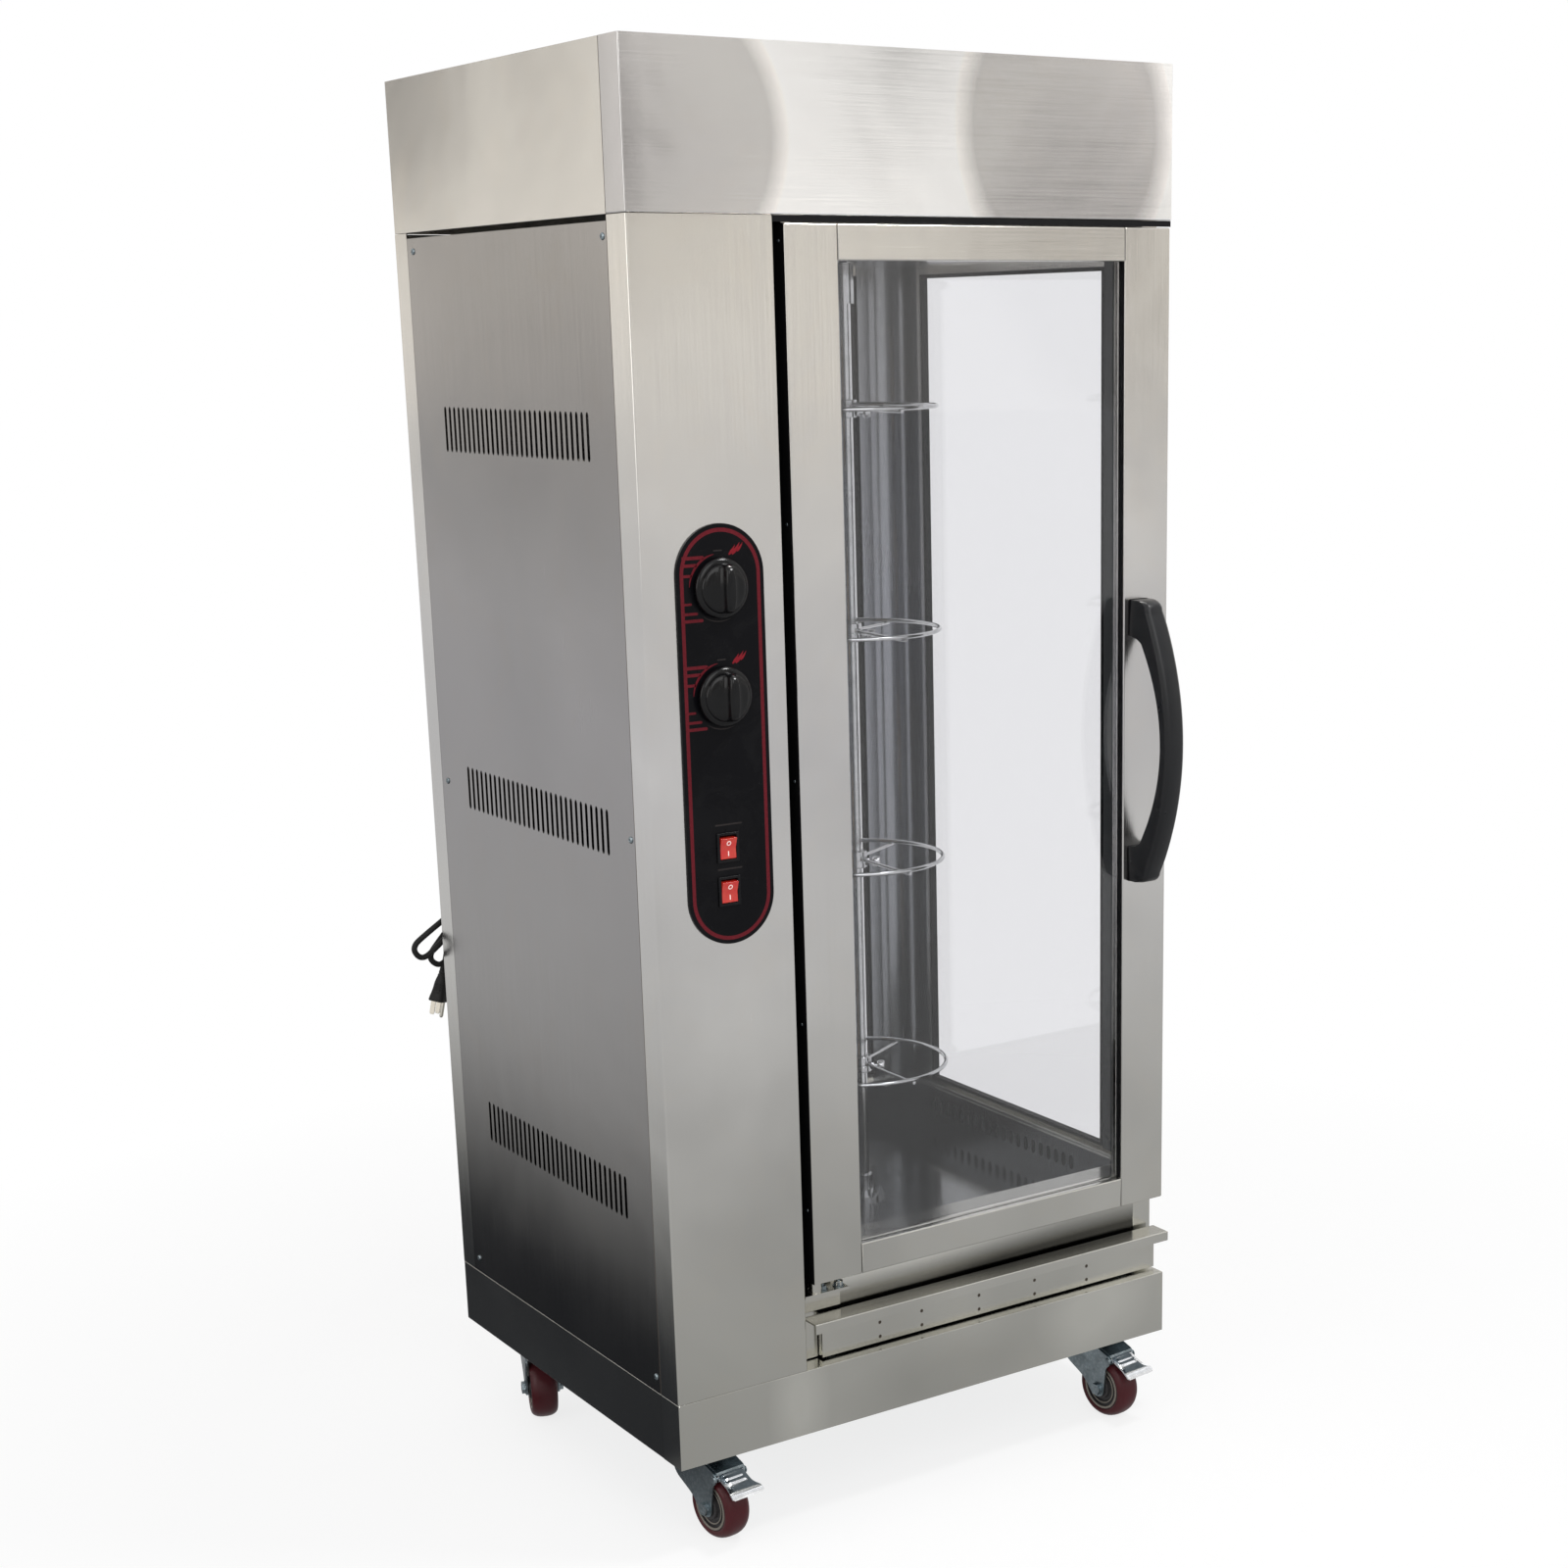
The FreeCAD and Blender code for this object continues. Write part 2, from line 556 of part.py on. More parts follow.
# Knobs push in against a spring and turn on their valve stems.
KNOB_BACK = "-PlateThickness - PushTravel - 0.6"
for tag, level in (("upper", "KnobLevelA"), ("lower", "KnobLevelB")):
    knob = new_body("Knob_" + tag, x="KnobLeft", y=KNOB_BACK, z=level)
    revolve(knob, outline(knob, "section", "XY", [
        ("StemRadius + RunningFit", "0"), ("KnobRadius", "0"), ("KnobRadius", "-3"),
        ("KnobRadius - 2.5", "-6"), ("KnobCap", "-7"), ("KnobCap - 1.5", "6 - KnobDepth"),
        ("KnobCap - 5", "4 - KnobDepth"), ("0", "4 - KnobDepth"), ("0", "-6.8"),
        ("StemRadius + RunningFit", "-6.8")]), "Y")
    grip = outline(knob, "grip", "XZ", [
        ("-KnobGrip/2", "-KnobCap + 4"), ("-KnobGrip/4", "-KnobCap + 1"),
        ("KnobGrip/4", "-KnobCap + 1"), ("KnobGrip/2", "-KnobCap + 4"),
        ("KnobGrip/2", "KnobCap - 4"), ("KnobGrip/4", "KnobCap - 1"),
        ("-KnobGrip/4", "KnobCap - 1"), ("-KnobGrip/2", "KnobCap - 4")], "7")
    pad(knob, grip, "KnobDepth - 7")
    finish("knob_" + tag, knob)

    stem = rod("Stem_" + tag, "y", "KnobLeft", KNOB_BACK + " - 6.4", level, "StemRadius",
               "PushTravel + PlateThickness + Gauge + 28")
    finish("valve_stem_" + tag, stem)

# Gas train behind the column: two valves, two burner feeds and the rear inlet.
PIPE_Y = "42"
train = []
for tag, level in (("A", "KnobLevelA"), ("B", "KnobLevelB")):
    valve = block("Valve" + tag, "KnobLeft - 16", "Gauge", level + " - 20", "32", "36", "40")
    stem_bore = rod("StemBore" + tag, "y", "KnobLeft", "0", level, "StemRadius + RunningFit",
                    "Gauge + 28")
    train.append(cut("ValveBody" + tag, valve, [stem_bore]))
FEED_X = "(ColumnWidth - 26)"
train += [
    rod("SupplyPipe", "z", "KnobLeft", PIPE_Y, "InletLevel - 9", "PipeRadius",
        "KnobLevelA - InletLevel + 20"),
    rod("InletPipe", "y", "KnobLeft", PIPE_Y, "InletLevel", "PipeRadius",
        "BodyDepth + 2 - " + PIPE_Y),
    rod("InletCollar", "y", "KnobLeft", "BodyDepth", "InletLevel", "InletRadius + 4",
        "InletCollar"),
    rod("InletNipple", "y", "KnobLeft", "BodyDepth + 1", "InletLevel", "InletRadius",
        "RearReach - 1"),
    rod("FeedUpper", "z", FEED_X, "24", "RingLevelC", "5", "RingLevelD - RingLevelC"),
    rod("FeedLower", "z", FEED_X, "24", "RingLevelA", "5", "KnobLevelB - RingLevelA"),
    rod("LinkUpper", "x", "KnobLeft + 10", "24", "KnobLevelA", "5", FEED_X + " - KnobLeft - 10"),
    rod("LinkLower", "x", "KnobLeft + 10", "24", "KnobLevelB", "5", FEED_X + " - KnobLeft - 10"),
]
BURNER_Y = "(SpindleBack - 75)"
for tag in "ABCD":
    level = "RingLevel" + tag
    train.append(rod("Feed" + tag, "y", FEED_X, "24", level, "5", BURNER_Y + " + 75 - 24"))
finish("gas_manifold", union("GasManifold", train))

# Burner plaques stand on the chamber side of the partition.
plaques = []
for tag in "ABCD":
    level = "RingLevel" + tag
    box = block("Burner" + tag, POST_EDGE, BURNER_Y, level + " - 80", "22", "150", "160")
    face = block("Plaque" + tag, POST_EDGE + " + 18", BURNER_Y + " + 10", level + " - 70",
                 "10", "130", "140")
    tube = rod("Venturi" + tag, "x", FEED_X + " + 5", BURNER_Y + " + 75", level, "9",
               POST_EDGE + " - " + FEED_X + " - 4")
    plaques.append(union("BurnerBody" + tag, [cut("BurnerBox" + tag, box, [face]), tube]))
finish("infrared_burners", group("InfraredBurners", plaques))


# Cabinet walls

slots = new_body("SidePanelSheet")
pad(slots, outline(slots, "sheet", "YZ", [
    ("FrontReturn + SeamGap", "SkirtHeight + SeamGap"),
    ("BodyDepth - RearReturn - SeamGap", "SkirtHeight + SeamGap"),
    ("BodyDepth - RearReturn - SeamGap", "BodyHeight - HoodHeight - 6"),
    ("FrontReturn + SeamGap", "BodyHeight - HoodHeight - 6")]), "Gauge")
EDGE = "SlotWidth/2"
CHAMFER = "SlotWidth/4"
MIDDLE = "SlotFront"
END = "SlotLength/2"
slot = outline(slots, "slot", "YZ", [
    (MIDDLE + " - " + EDGE, "SlotLevel - " + END + " + " + EDGE),
    (MIDDLE + " - " + CHAMFER, "SlotLevel - " + END),
    (MIDDLE + " + " + CHAMFER, "SlotLevel - " + END),
    (MIDDLE + " + " + EDGE, "SlotLevel - " + END + " + " + EDGE),
    (MIDDLE + " + " + EDGE, "SlotLevel + " + END + " - " + EDGE),
    (MIDDLE + " + " + CHAMFER, "SlotLevel + " + END),
    (MIDDLE + " - " + CHAMFER, "SlotLevel + " + END),
    (MIDDLE + " - " + EDGE, "SlotLevel + " + END + " - " + EDGE)])
slot_cut = pocket(slots, slot, "4*Gauge", middle=True)
repeat(slots, slot_cut, "Y", "SlotCount", "SlotPitch", ("Z", "3", "SlotRise"))
finish("side_panel", slots)

rear = upright_sheet("RearPanel", [
    ("0", "BodyDepth - RearReturn"), ("0", "BodyDepth"), ("BodyWidth", "BodyDepth"),
    ("BodyWidth", "BodyDepth - RearReturn"), ("BodyWidth - Gauge", "BodyDepth - RearReturn"),
    ("BodyWidth - Gauge", "BodyDepth - Gauge"), ("Gauge", "BodyDepth - Gauge"),
    ("Gauge", "BodyDepth - RearReturn")],
    "SkirtHeight + SeamGap", "BodyHeight - HoodHeight - SkirtHeight - 2*SeamGap")
pad(rear, outline(rear, "liner", "XY", [
    (POST_EDGE, LINER_Y), (LINER_X, LINER_Y), (LINER_X, "BodyDepth - Gauge/2"),
    (POST_EDGE, "BodyDepth - Gauge/2")]), CEILING + " - SkirtHeight - SeamGap")
LIFT = " - SkirtHeight - SeamGap"
rear_holes = new_sketch(rear, "window", "XZ", "-BodyDepth + WallDepth/2")
draw_loop(rear_holes, [
    ("RearPaneLeft", "PaneBottom" + LIFT), ("BodyWidth - RearPaneRight", "PaneBottom" + LIFT),
    ("BodyWidth - RearPaneRight", PANE_TOP + LIFT), ("RearPaneLeft", PANE_TOP + LIFT)])
pocket(rear, rear_holes, "WallDepth*3", middle=True)
rebate = new_sketch(rear, "rebate", "XZ", "-BodyDepth")
draw_loop(rebate, [
    ("RearPaneLeft - GlassLap", "PaneBottom - GlassLap" + LIFT),
    ("BodyWidth - RearPaneRight + GlassLap", "PaneBottom - GlassLap" + LIFT),
    ("BodyWidth - RearPaneRight + GlassLap", PANE_TOP + " + GlassLap" + LIFT),
    ("RearPaneLeft - GlassLap", PANE_TOP + " + GlassLap" + LIFT)])
pocket(rear, rebate, "WallDepth", middle=True)
pipe_holes = new_sketch(rear, "pipes", "XZ", "-BodyDepth")
circle(pipe_holes, "KnobLeft", "InletLevel" + LIFT, "PipeRadius + SlideGap")
circle(pipe_holes, "GlandLeft", "GlandLevel" + LIFT, "CordRadius + 4 + SlideGap")
pocket(rear, pipe_holes, "6*Gauge", middle=True)
finish("rear_panel", rear)

side_wall = new_body("RightWall", x=LINER_X)
pad(side_wall, outline(side_wall, "wall", "YZ", [
    ("FrameSetback + PostDepth + SeamGap", "SkirtHeight + SeamGap"),
    ("BodyDepth - RearReturn - SeamGap", "SkirtHeight + SeamGap"),
    ("BodyDepth - RearReturn - SeamGap", BODY_TOP + " - SeamGap"),
    ("FrameSetback + PostDepth + SeamGap", BODY_TOP + " - SeamGap")]), "WallDepth")
pocket(side_wall, outline(side_wall, "window", "YZ", [
    ("SidePaneFront", "PaneBottom"), ("BodyDepth - SidePaneRear", "PaneBottom"),
    ("BodyDepth - SidePaneRear", PANE_TOP), ("SidePaneFront", PANE_TOP)]),
    "3*WallDepth", middle=True)
pocket(side_wall, outline(side_wall, "rebate", "YZ", [
    ("SidePaneFront - GlassLap", "PaneBottom - GlassLap"),
    ("BodyDepth - SidePaneRear + GlassLap", "PaneBottom - GlassLap"),
    ("BodyDepth - SidePaneRear + GlassLap", PANE_TOP + " + GlassLap"),
    ("SidePaneFront - GlassLap", PANE_TOP + " + GlassLap")], "WallDepth"),
    "WallDepth", middle=True)
finish("right_wall", side_wall)

PANE_HEIGHT = "(" + PANE_TOP + " - PaneBottom + 2*GlassLap - 2*SlideGap)"
pane_side = block("SidePane", LINER_X + " + WallDepth/2 + SlideGap/2",
                  "SidePaneFront - GlassLap + SlideGap", "PaneBottom - GlassLap + SlideGap",
                  "GlassThickness",
                  "BodyDepth - SidePaneRear - SidePaneFront + 2*GlassLap - 2*SlideGap", PANE_HEIGHT)
pane_rear = block("RearPane", "RearPaneLeft - GlassLap + SlideGap",
                  LINER_Y + " + WallDepth/2 + SlideGap/2", "PaneBottom - GlassLap + SlideGap",
                  "BodyWidth - RearPaneRight - RearPaneLeft + 2*GlassLap - 2*SlideGap",
                  "GlassThickness", PANE_HEIGHT)
finish("cabinet_glass", group("CabinetGlass", [pane_side, pane_rear]))

# The partition is a tray-shaped sheet with its flanges toward the column.
partition = upright_sheet("Partition", [
    (POST_EDGE, "FrameSetback + PostDepth"), (POST_EDGE, LINER_Y),
    (POST_EDGE + " - 20", LINER_Y), (POST_EDGE + " - 20", LINER_Y + " - Gauge"),
    (POST_EDGE + " - Gauge", LINER_Y + " - Gauge"),
    (POST_EDGE + " - Gauge", "FrameSetback + PostDepth + Gauge"),
    (POST_EDGE + " - 20", "FrameSetback + PostDepth + Gauge"),
    (POST_EDGE + " - 20", "FrameSetback + PostDepth")],
    "SkirtHeight + SeamGap", "BodyHeight - HoodHeight - SkirtHeight - 2*SeamGap")
venturi = new_sketch(partition, "venturi", "YZ", POST_EDGE)
for tag in "ABCD":
    circle(venturi, BURNER_Y + " + 75", "RingLevel" + tag + LIFT, "9 + SlideGap")
pocket(partition, venturi, "8*Gauge", middle=True)
finish("partition_wall", partition)

post_left = block("PostLeftTube", "ColumnWidth", "FrameSetback", "SkirtHeight + SeamGap",
                  "PostLeft", "PostDepth", "BodyHeight - HoodHeight - SkirtHeight - SeamGap")
post_right = block("PostRightTube", RIGHT_POST, "FrameSetback", "SkirtHeight + SeamGap",
                   "PostRight", "PostDepth", "BodyHeight - HoodHeight - SkirtHeight - SeamGap")
header = block("HeaderTube", POST_EDGE, "FrameSetback", CEILING,
               RIGHT_POST + " - " + POST_EDGE, "PostDepth", "HeaderHeight")
finish("front_frame", union("FrontFrame", [post_left, post_right, header]))

sill = long_sheet("Sill", [
    ("FrameSetback", "SillBottom"), ("FrameSetback", "SillTop"),
    ("FrameSetback + PostDepth", "SillTop"), ("FrameSetback + PostDepth", "SillTop - Gauge"),
    ("FrameSetback + 2*Gauge", "SillTop - Gauge"), ("FrameSetback + 2*Gauge", "SillBottom")],
    POST_EDGE, RIGHT_POST + " - " + POST_EDGE)
finish("sill_plate", sill)

# Floor tray of the chamber with a slotted upstand on the right.
floor = new_body("FloorTray")
FLOOR_START = "FrameSetback + 2*Gauge"
pad(floor, outline(floor, "section", "XZ", [
    (POST_EDGE, "FloorLevel - Gauge"), (LINER_X, "FloorLevel - Gauge"),
    (LINER_X, "FloorLevel + UpstandHeight"), (LINER_X + " - Gauge", "FloorLevel + UpstandHeight"),
    (LINER_X + " - Gauge", "FloorLevel"), (POST_EDGE + " + Gauge", "FloorLevel"),
    (POST_EDGE + " + Gauge", "FloorLevel + 14"), (POST_EDGE, "FloorLevel + 14")],
    "-FrameSetback - PostDepth - SeamGap"),
    "BodyDepth - WallDepth - FrameSetback - PostDepth - SeamGap", reverse=True)
pad(floor, outline(floor, "rear", "XZ", [
    (POST_EDGE, "FloorLevel - Gauge"), (LINER_X, "FloorLevel - Gauge"),
    (LINER_X, "FloorLevel + UpstandHeight"), (POST_EDGE, "FloorLevel + UpstandHeight")],
    "-BodyDepth + WallDepth"), "Gauge")
pad(floor, outline(floor, "apron", "XY", [
    (POST_EDGE, FLOOR_START), (RIGHT_POST, FLOOR_START),
    (RIGHT_POST, "FrameSetback + PostDepth + 2"), (POST_EDGE, "FrameSetback + PostDepth + 2")],
    "FloorLevel - Gauge"), "Gauge")
LEVEL = "(FloorLevel + UpstandHeight/2)"
air = outline(floor, "air", "YZ", [
    ("AirSlotFront", LEVEL + " - AirSlotLength/2 + AirSlotWidth/2"),
    ("AirSlotFront + AirSlotWidth/4", LEVEL + " - AirSlotLength/2"),
    ("AirSlotFront + 3*AirSlotWidth/4", LEVEL + " - AirSlotLength/2"),
    ("AirSlotFront + AirSlotWidth", LEVEL + " - AirSlotLength/2 + AirSlotWidth/2"),
    ("AirSlotFront + AirSlotWidth", LEVEL + " + AirSlotLength/2 - AirSlotWidth/2"),
    ("AirSlotFront + 3*AirSlotWidth/4", LEVEL + " + AirSlotLength/2"),
    ("AirSlotFront + AirSlotWidth/4", LEVEL + " + AirSlotLength/2"),
    ("AirSlotFront", LEVEL + " + AirSlotLength/2 - AirSlotWidth/2")], LINER_X)
air_cut = pocket(floor, air, "6*Gauge", middle=True)
repeat(floor, air_cut, "Y", "AirSlotCount", "AirSlotPitch")
finish("chamber_floor", floor)

ceiling = block("CeilingSheet", POST_EDGE, "FrameSetback + PostDepth", CEILING,
                LINER_X + " - " + POST_EDGE, LINER_Y + " - FrameSetback - PostDepth", "3")
ceiling_hole = rod("CeilingHole", "z", SPINDLE_X, "SpindleBack", CEILING + " - 5",
                   "SpindleRadius + 7", "20")
finish("chamber_ceiling", cut("ChamberCeiling", ceiling, [ceiling_hole]))

# Rounded liner of the rear right corner, with a flat strip along each wall.
LINER_BOTTOM = "FloorLevel + UpstandHeight"
LINER_HEIGHT = CEILING + " - FloorLevel - UpstandHeight"
outer = rod("LinerOuter", "z", LINER_X + " - CornerRadius", LINER_Y + " - CornerRadius",
            LINER_BOTTOM, "CornerRadius", LINER_HEIGHT)
outer.Angle = 90
inner = rod("LinerInner", "z", LINER_X + " - CornerRadius", LINER_Y + " - CornerRadius",
            LINER_BOTTOM + " - 1", "CornerRadius - Gauge", LINER_HEIGHT + " + 2")
strip_side = block("LinerSide", LINER_X + " - Gauge", LINER_Y + " - CornerRadius - LinerStrip",
                   LINER_BOTTOM, "Gauge", "LinerStrip", LINER_HEIGHT)
strip_rear = block("LinerRear", LINER_X + " - CornerRadius - LinerStrip + 4", LINER_Y + " - Gauge",
                   LINER_BOTTOM, "LinerStrip - 4", "Gauge", LINER_HEIGHT)
finish("rear_corner_liner", union("CornerLiner", [
    cut("LinerBend", outer, [inner]), strip_side, strip_rear]))


# Hood

hood_front = upright_sheet("HoodFront", [
    ("0", "FrontReturn"), ("0", "0"), ("BodyWidth", "0"), ("BodyWidth", "FrontReturn"),
    ("BodyWidth - Gauge", "FrontReturn"), ("BodyWidth - Gauge", "Gauge"), ("Gauge", "Gauge"),
    ("Gauge", "FrontReturn")], BODY_TOP, "HoodHeight")
pad(hood_front, outline(hood_front, "lip", "XY", [
    ("Gauge/2", "Gauge/2"), ("BodyWidth - Gauge/2", "Gauge/2"),
    ("BodyWidth - Gauge/2", "FrontReturn"), ("Gauge/2", "FrontReturn")]), "Gauge")
finish("hood_front", hood_front)

hood_back = upright_sheet("HoodBack", [
    ("0", "FrontReturn + SeamGap"), ("0", "BodyDepth"), ("BodyWidth", "BodyDepth"),
    ("BodyWidth", "FrontReturn + SeamGap"), ("BodyWidth - Gauge", "FrontReturn + SeamGap"),
    ("BodyWidth - Gauge", "BodyDepth - Gauge"), ("Gauge", "BodyDepth - Gauge"),
    ("Gauge", "FrontReturn + SeamGap")], BODY_TOP, "HoodHeight")
finish("hood_back", hood_back)

hood_top = new_body("HoodTop", z="BodyHeight - 2 - Gauge")
pad(hood_top, outline(hood_top, "sheet", "XY", [
    ("Gauge", "Gauge"), ("BodyWidth - Gauge", "Gauge"),
    ("BodyWidth - Gauge", "BodyDepth - Gauge"), ("Gauge", "BodyDepth - Gauge")]), "Gauge")
flue = outline(hood_top, "flue", "XY", [
    (POST_EDGE + " + 60", "SpindleBack + 60"), (RIGHT_POST + " - 60", "SpindleBack + 60"),
    (RIGHT_POST + " - 60", "SpindleBack + 70"), (POST_EDGE + " + 60", "SpindleBack + 70")])
flue_cut = pocket(hood_top, flue, "6*Gauge", middle=True)
repeat(hood_top, flue_cut, "Y", "FlueSlotCount", "FlueSlotPitch")
finish("hood_top", hood_top)

motor_parts = [
    block("MotorPlate", SPINDLE_X + " - 60", "SpindleBack - 45", CEILING + " + 3", "120", "90", "3"),
    block("GearBox", SPINDLE_X + " - 35", "SpindleBack - 35", CEILING + " + 6", "70", "70", "28"),
    rod("MotorCan", "z", SPINDLE_X, "SpindleBack", CEILING + " + 34", "30", "62"),
    rod("MotorShaft", "z", SPINDLE_X, "SpindleBack", CEILING + " - 26", "SpindleRadius - 1.5", "40"),
]
finish("gear_motor", union("GearMotor", motor_parts))

screw_rods = []
for row, level in enumerate((BODY_TOP + " - 20", BODY_TOP + " - 608", "SkirtHeight + 18")):
    for side, y in enumerate(("FrontReturn + 9", "BodyDepth - RearReturn - 16")):
        screw_rods.append(rod("Screw%d%d" % (row, side), "x", "-1.6", y, level, "3.4", "1.6"))
    for side, y in enumerate(("FrameSetback + PostDepth + 14", "BodyDepth - RearReturn - 16")):
        screw_rods.append(rod("WallScrew%d%d" % (row, side), "x", "BodyWidth", y, level, "3.4",
                              "1.6"))
finish("panel_screws", group("PanelScrews", screw_rods))


# Door

stile = block("StileLeftBox", "DoorLeft", "0", "DoorBottom", "StileWidth", "DoorThickness",
              DOOR_TOP + " - DoorBottom")
GROOVE_Y = "(DoorThickness/2 - GlassThickness/2 - SlideGap)"
GROOVE = "(GlassThickness + 2*SlideGap)"
groove_left = block("GrooveLeft", "DoorLeft + StileWidth - GlassLap", GROOVE_Y,
                    "DoorBottom + RailHeight - GlassLap", "GlassLap + 5", GROOVE,
                    DOOR_TOP + " - DoorBottom - 2*RailHeight + 2*GlassLap")
pin_low = rod("PinHoleLow", "z", "DoorLeft + HingeInset", "DoorThickness/2 + 1",
              "DoorBottom - 1", "HingePinRadius + RunningFit", "HingePinLength + 2")
pin_high = rod("PinHoleHigh", "z", "DoorLeft + HingeInset", "DoorThickness/2 + 1",
               DOOR_TOP + " - HingePinLength - 1", "HingePinRadius + RunningFit",
               "HingePinLength + 2")
finish("door_stile_left", cut("StileLeft", stile, [groove_left, pin_low, pin_high]))

stile = block("StileRightBox", DOOR_RIGHT + " - StileWidth", "0", "DoorBottom", "StileWidth",
              "DoorThickness", DOOR_TOP + " - DoorBottom")
groove_right = block("GrooveRight", DOOR_RIGHT + " - StileWidth - 5", GROOVE_Y,
                     "DoorBottom + RailHeight - GlassLap", "GlassLap + 5", GROOVE,
                     DOOR_TOP + " - DoorBottom - 2*RailHeight + 2*GlassLap")
finish("door_stile_right", cut("StileRight", stile, [groove_right]))

for tag, level, groove_level in (
        ("bottom", "DoorBottom", "DoorBottom + RailHeight - GlassLap"),
        ("top", DOOR_TOP + " - RailHeight", DOOR_TOP + " - RailHeight - 5")):
    rail = block("RailBox_" + tag, "DoorLeft + StileWidth", "0", level,
                 "DoorWidth - 2*StileWidth", "DoorThickness", "RailHeight")
    groove = block("RailGroove_" + tag, "DoorLeft + StileWidth - 1", GROOVE_Y, groove_level,
                   "DoorWidth - 2*StileWidth + 2", GROOVE, "GlassLap + 5")
    finish("door_rail_" + tag, cut("Rail_" + tag, rail, [groove]))

finish("door_glass", block(
    "DoorGlass", "DoorLeft + StileWidth - GlassLap + SlideGap", GROOVE_Y + " + SlideGap",
    "DoorBottom + RailHeight - GlassLap + SlideGap",
    "DoorWidth - 2*StileWidth + 2*GlassLap - 2*SlideGap", "GlassThickness",
    DOOR_TOP + " - DoorBottom - 2*RailHeight + 2*GlassLap - 2*SlideGap"))

SEAL_IN = "(HingeInset + 1)"
seal = block("SealBox", "DoorLeft + " + SEAL_IN, "DoorThickness", "DoorBottom + " + SEAL_IN,
             "DoorWidth - 2*" + SEAL_IN, "SealThickness",
             DOOR_TOP + " - DoorBottom - 2*" + SEAL_IN)
seal_hole = block("SealHole", "DoorLeft + SealWidth + " + SEAL_IN, "DoorThickness - 1",
                  "DoorBottom + SealWidth + " + SEAL_IN, "DoorWidth - 2*SealWidth - 2*" + SEAL_IN,
                  "SealThickness + 2", DOOR_TOP + " - DoorBottom - 2*SealWidth - 2*" + SEAL_IN)
finish("door_gasket", cut("DoorGasket", seal, [seal_hole]))

# The handle bows forward; both arcs are set by their ends and their rise.
handle = new_body("Handle", x=DOOR_RIGHT + " - HandleInset - HandleWidth/2", z="HandleLevel")
bow = new_sketch(handle, "bow", "YZ")
half_length = VALUE["HandleLength"] / 2
reach = VALUE["HandleReach"]
shoulder = VALUE["HandleShoulder"]
bar = VALUE["HandleBar"]
outer_end = half_length - 12
inner_end = half_length - VALUE["HandleFoot"]
inner_start = 16


def arc_through(start, middle, end):
    return Part.Arc(Vector(*start, 0), Vector(*middle, 0), Vector(*end, 0))


bow.addGeometry(arc_through((-shoulder, -outer_end), (-reach, 0), (-shoulder, outer_end)), False)
bow.addGeometry(arc_through((-inner_start, -inner_end), (bar - reach, 0),
                            (-inner_start, inner_end)), False)
corners = [(-shoulder, outer_end), (-14, half_length), (0, half_length), (0, inner_end),
           (-inner_start, inner_end)]
for a, b in zip(corners, corners[1:]):
    bow.addGeometry(Part.LineSegment(Vector(*a, 0), Vector(*b, 0)), False)
for a, b in zip(corners, corners[1:]):
    bow.addGeometry(Part.LineSegment(Vector(b[0], -b[1], 0), Vector(a[0], -a[1], 0)), False)
OUTER_END = "(HandleLength/2 - 12)"
INNER_END = "(HandleLength/2 - HandleFoot)"
names = [("-HandleShoulder", OUTER_END), ("-14", "HandleLength/2"), ("0", "HandleLength/2"),
         ("0", INNER_END), ("-16", INNER_END)]
for k, (first, second) in enumerate(zip(names, names[1:])):
    tie_point(bow, 2 + k, 1, *first)
    tie_point(bow, 2 + k, 2, *second)
    tie_point(bow, 6 + k, 2, first[0], "-" + first[1])
    tie_point(bow, 6 + k, 1, second[0], "-" + second[1])
for arc, end, rise, start in ((0, OUTER_END, "HandleReach - HandleShoulder", names[0]),
                              (1, INNER_END, "HandleReach - HandleBar - 16", names[4])):
    ends = [bow.getPoint(arc, 1), bow.getPoint(arc, 2)]
    upper = 1 if ends[0].y > ends[1].y else 2
    tie_point(bow, arc, upper, start[0], start[1])
    tie_point(bow, arc, 3 - upper, start[0], "-" + start[1])
    held = bow.addConstraint(Sketcher.Constraint("Radius", arc, bow.Geometry[arc].Radius))
    bow.setExpression("Constraints[%d]" % held,
                      formula("(%s^2 + (%s)^2)/(2*(%s))" % (end, rise, rise)))
pad(handle, bow, "HandleWidth")
round_edges(handle, "handle_rounding", "3", lambda edge: edge.Curve.TypeId == "Part::GeomCircle"
            and edge.Curve.Radius > 50)
finish("door_handle", handle)

PIN_X = "DoorLeft + HingeInset"
PIN_Y = "DoorThickness/2 + 1"
BRACKET = "(DoorBottom - 15)"
lower_bracket = union("BracketLower", [
    block("LeafLower", "ColumnWidth + 2", "3", BRACKET, "56", "FrameSetback - 3", "3"),
    block("FlangeLower", "ColumnWidth + 2", "FrameSetback - 3", BRACKET + " - 24", "56", "3", "27"),
    rod("PinLower", "z", PIN_X, PIN_Y, BRACKET + " + 1", "HingePinRadius", "HingePinLength + 11"),
    rod("WasherLower", "z", PIN_X, PIN_Y, BRACKET + " + 3", "8", "12 - SlideGap"),
    rod("BoltLower", "z", "ColumnWidth + 50", "12", BRACKET + " + 3", "5", "6"),
])
upper_bracket = union("BracketUpper", [
    block("LeafUpper", "ColumnWidth + 2", "3", BODY_TOP + " - 3", "32", "FrameSetback - 3", "3"),
    rod("PinUpper", "z", PIN_X, PIN_Y, DOOR_TOP + " - HingePinLength + 1", "HingePinRadius",
        "HingePinLength + DoorTopGap - 2"),
    rod("WasherUpper", "z", PIN_X, PIN_Y, DOOR_TOP + " + SlideGap", "8",
        "DoorTopGap - 3 - SlideGap"),
])
finish("hinge_brackets", group("HingeBrackets", [lower_bracket, upper_bracket]))


# Drawer

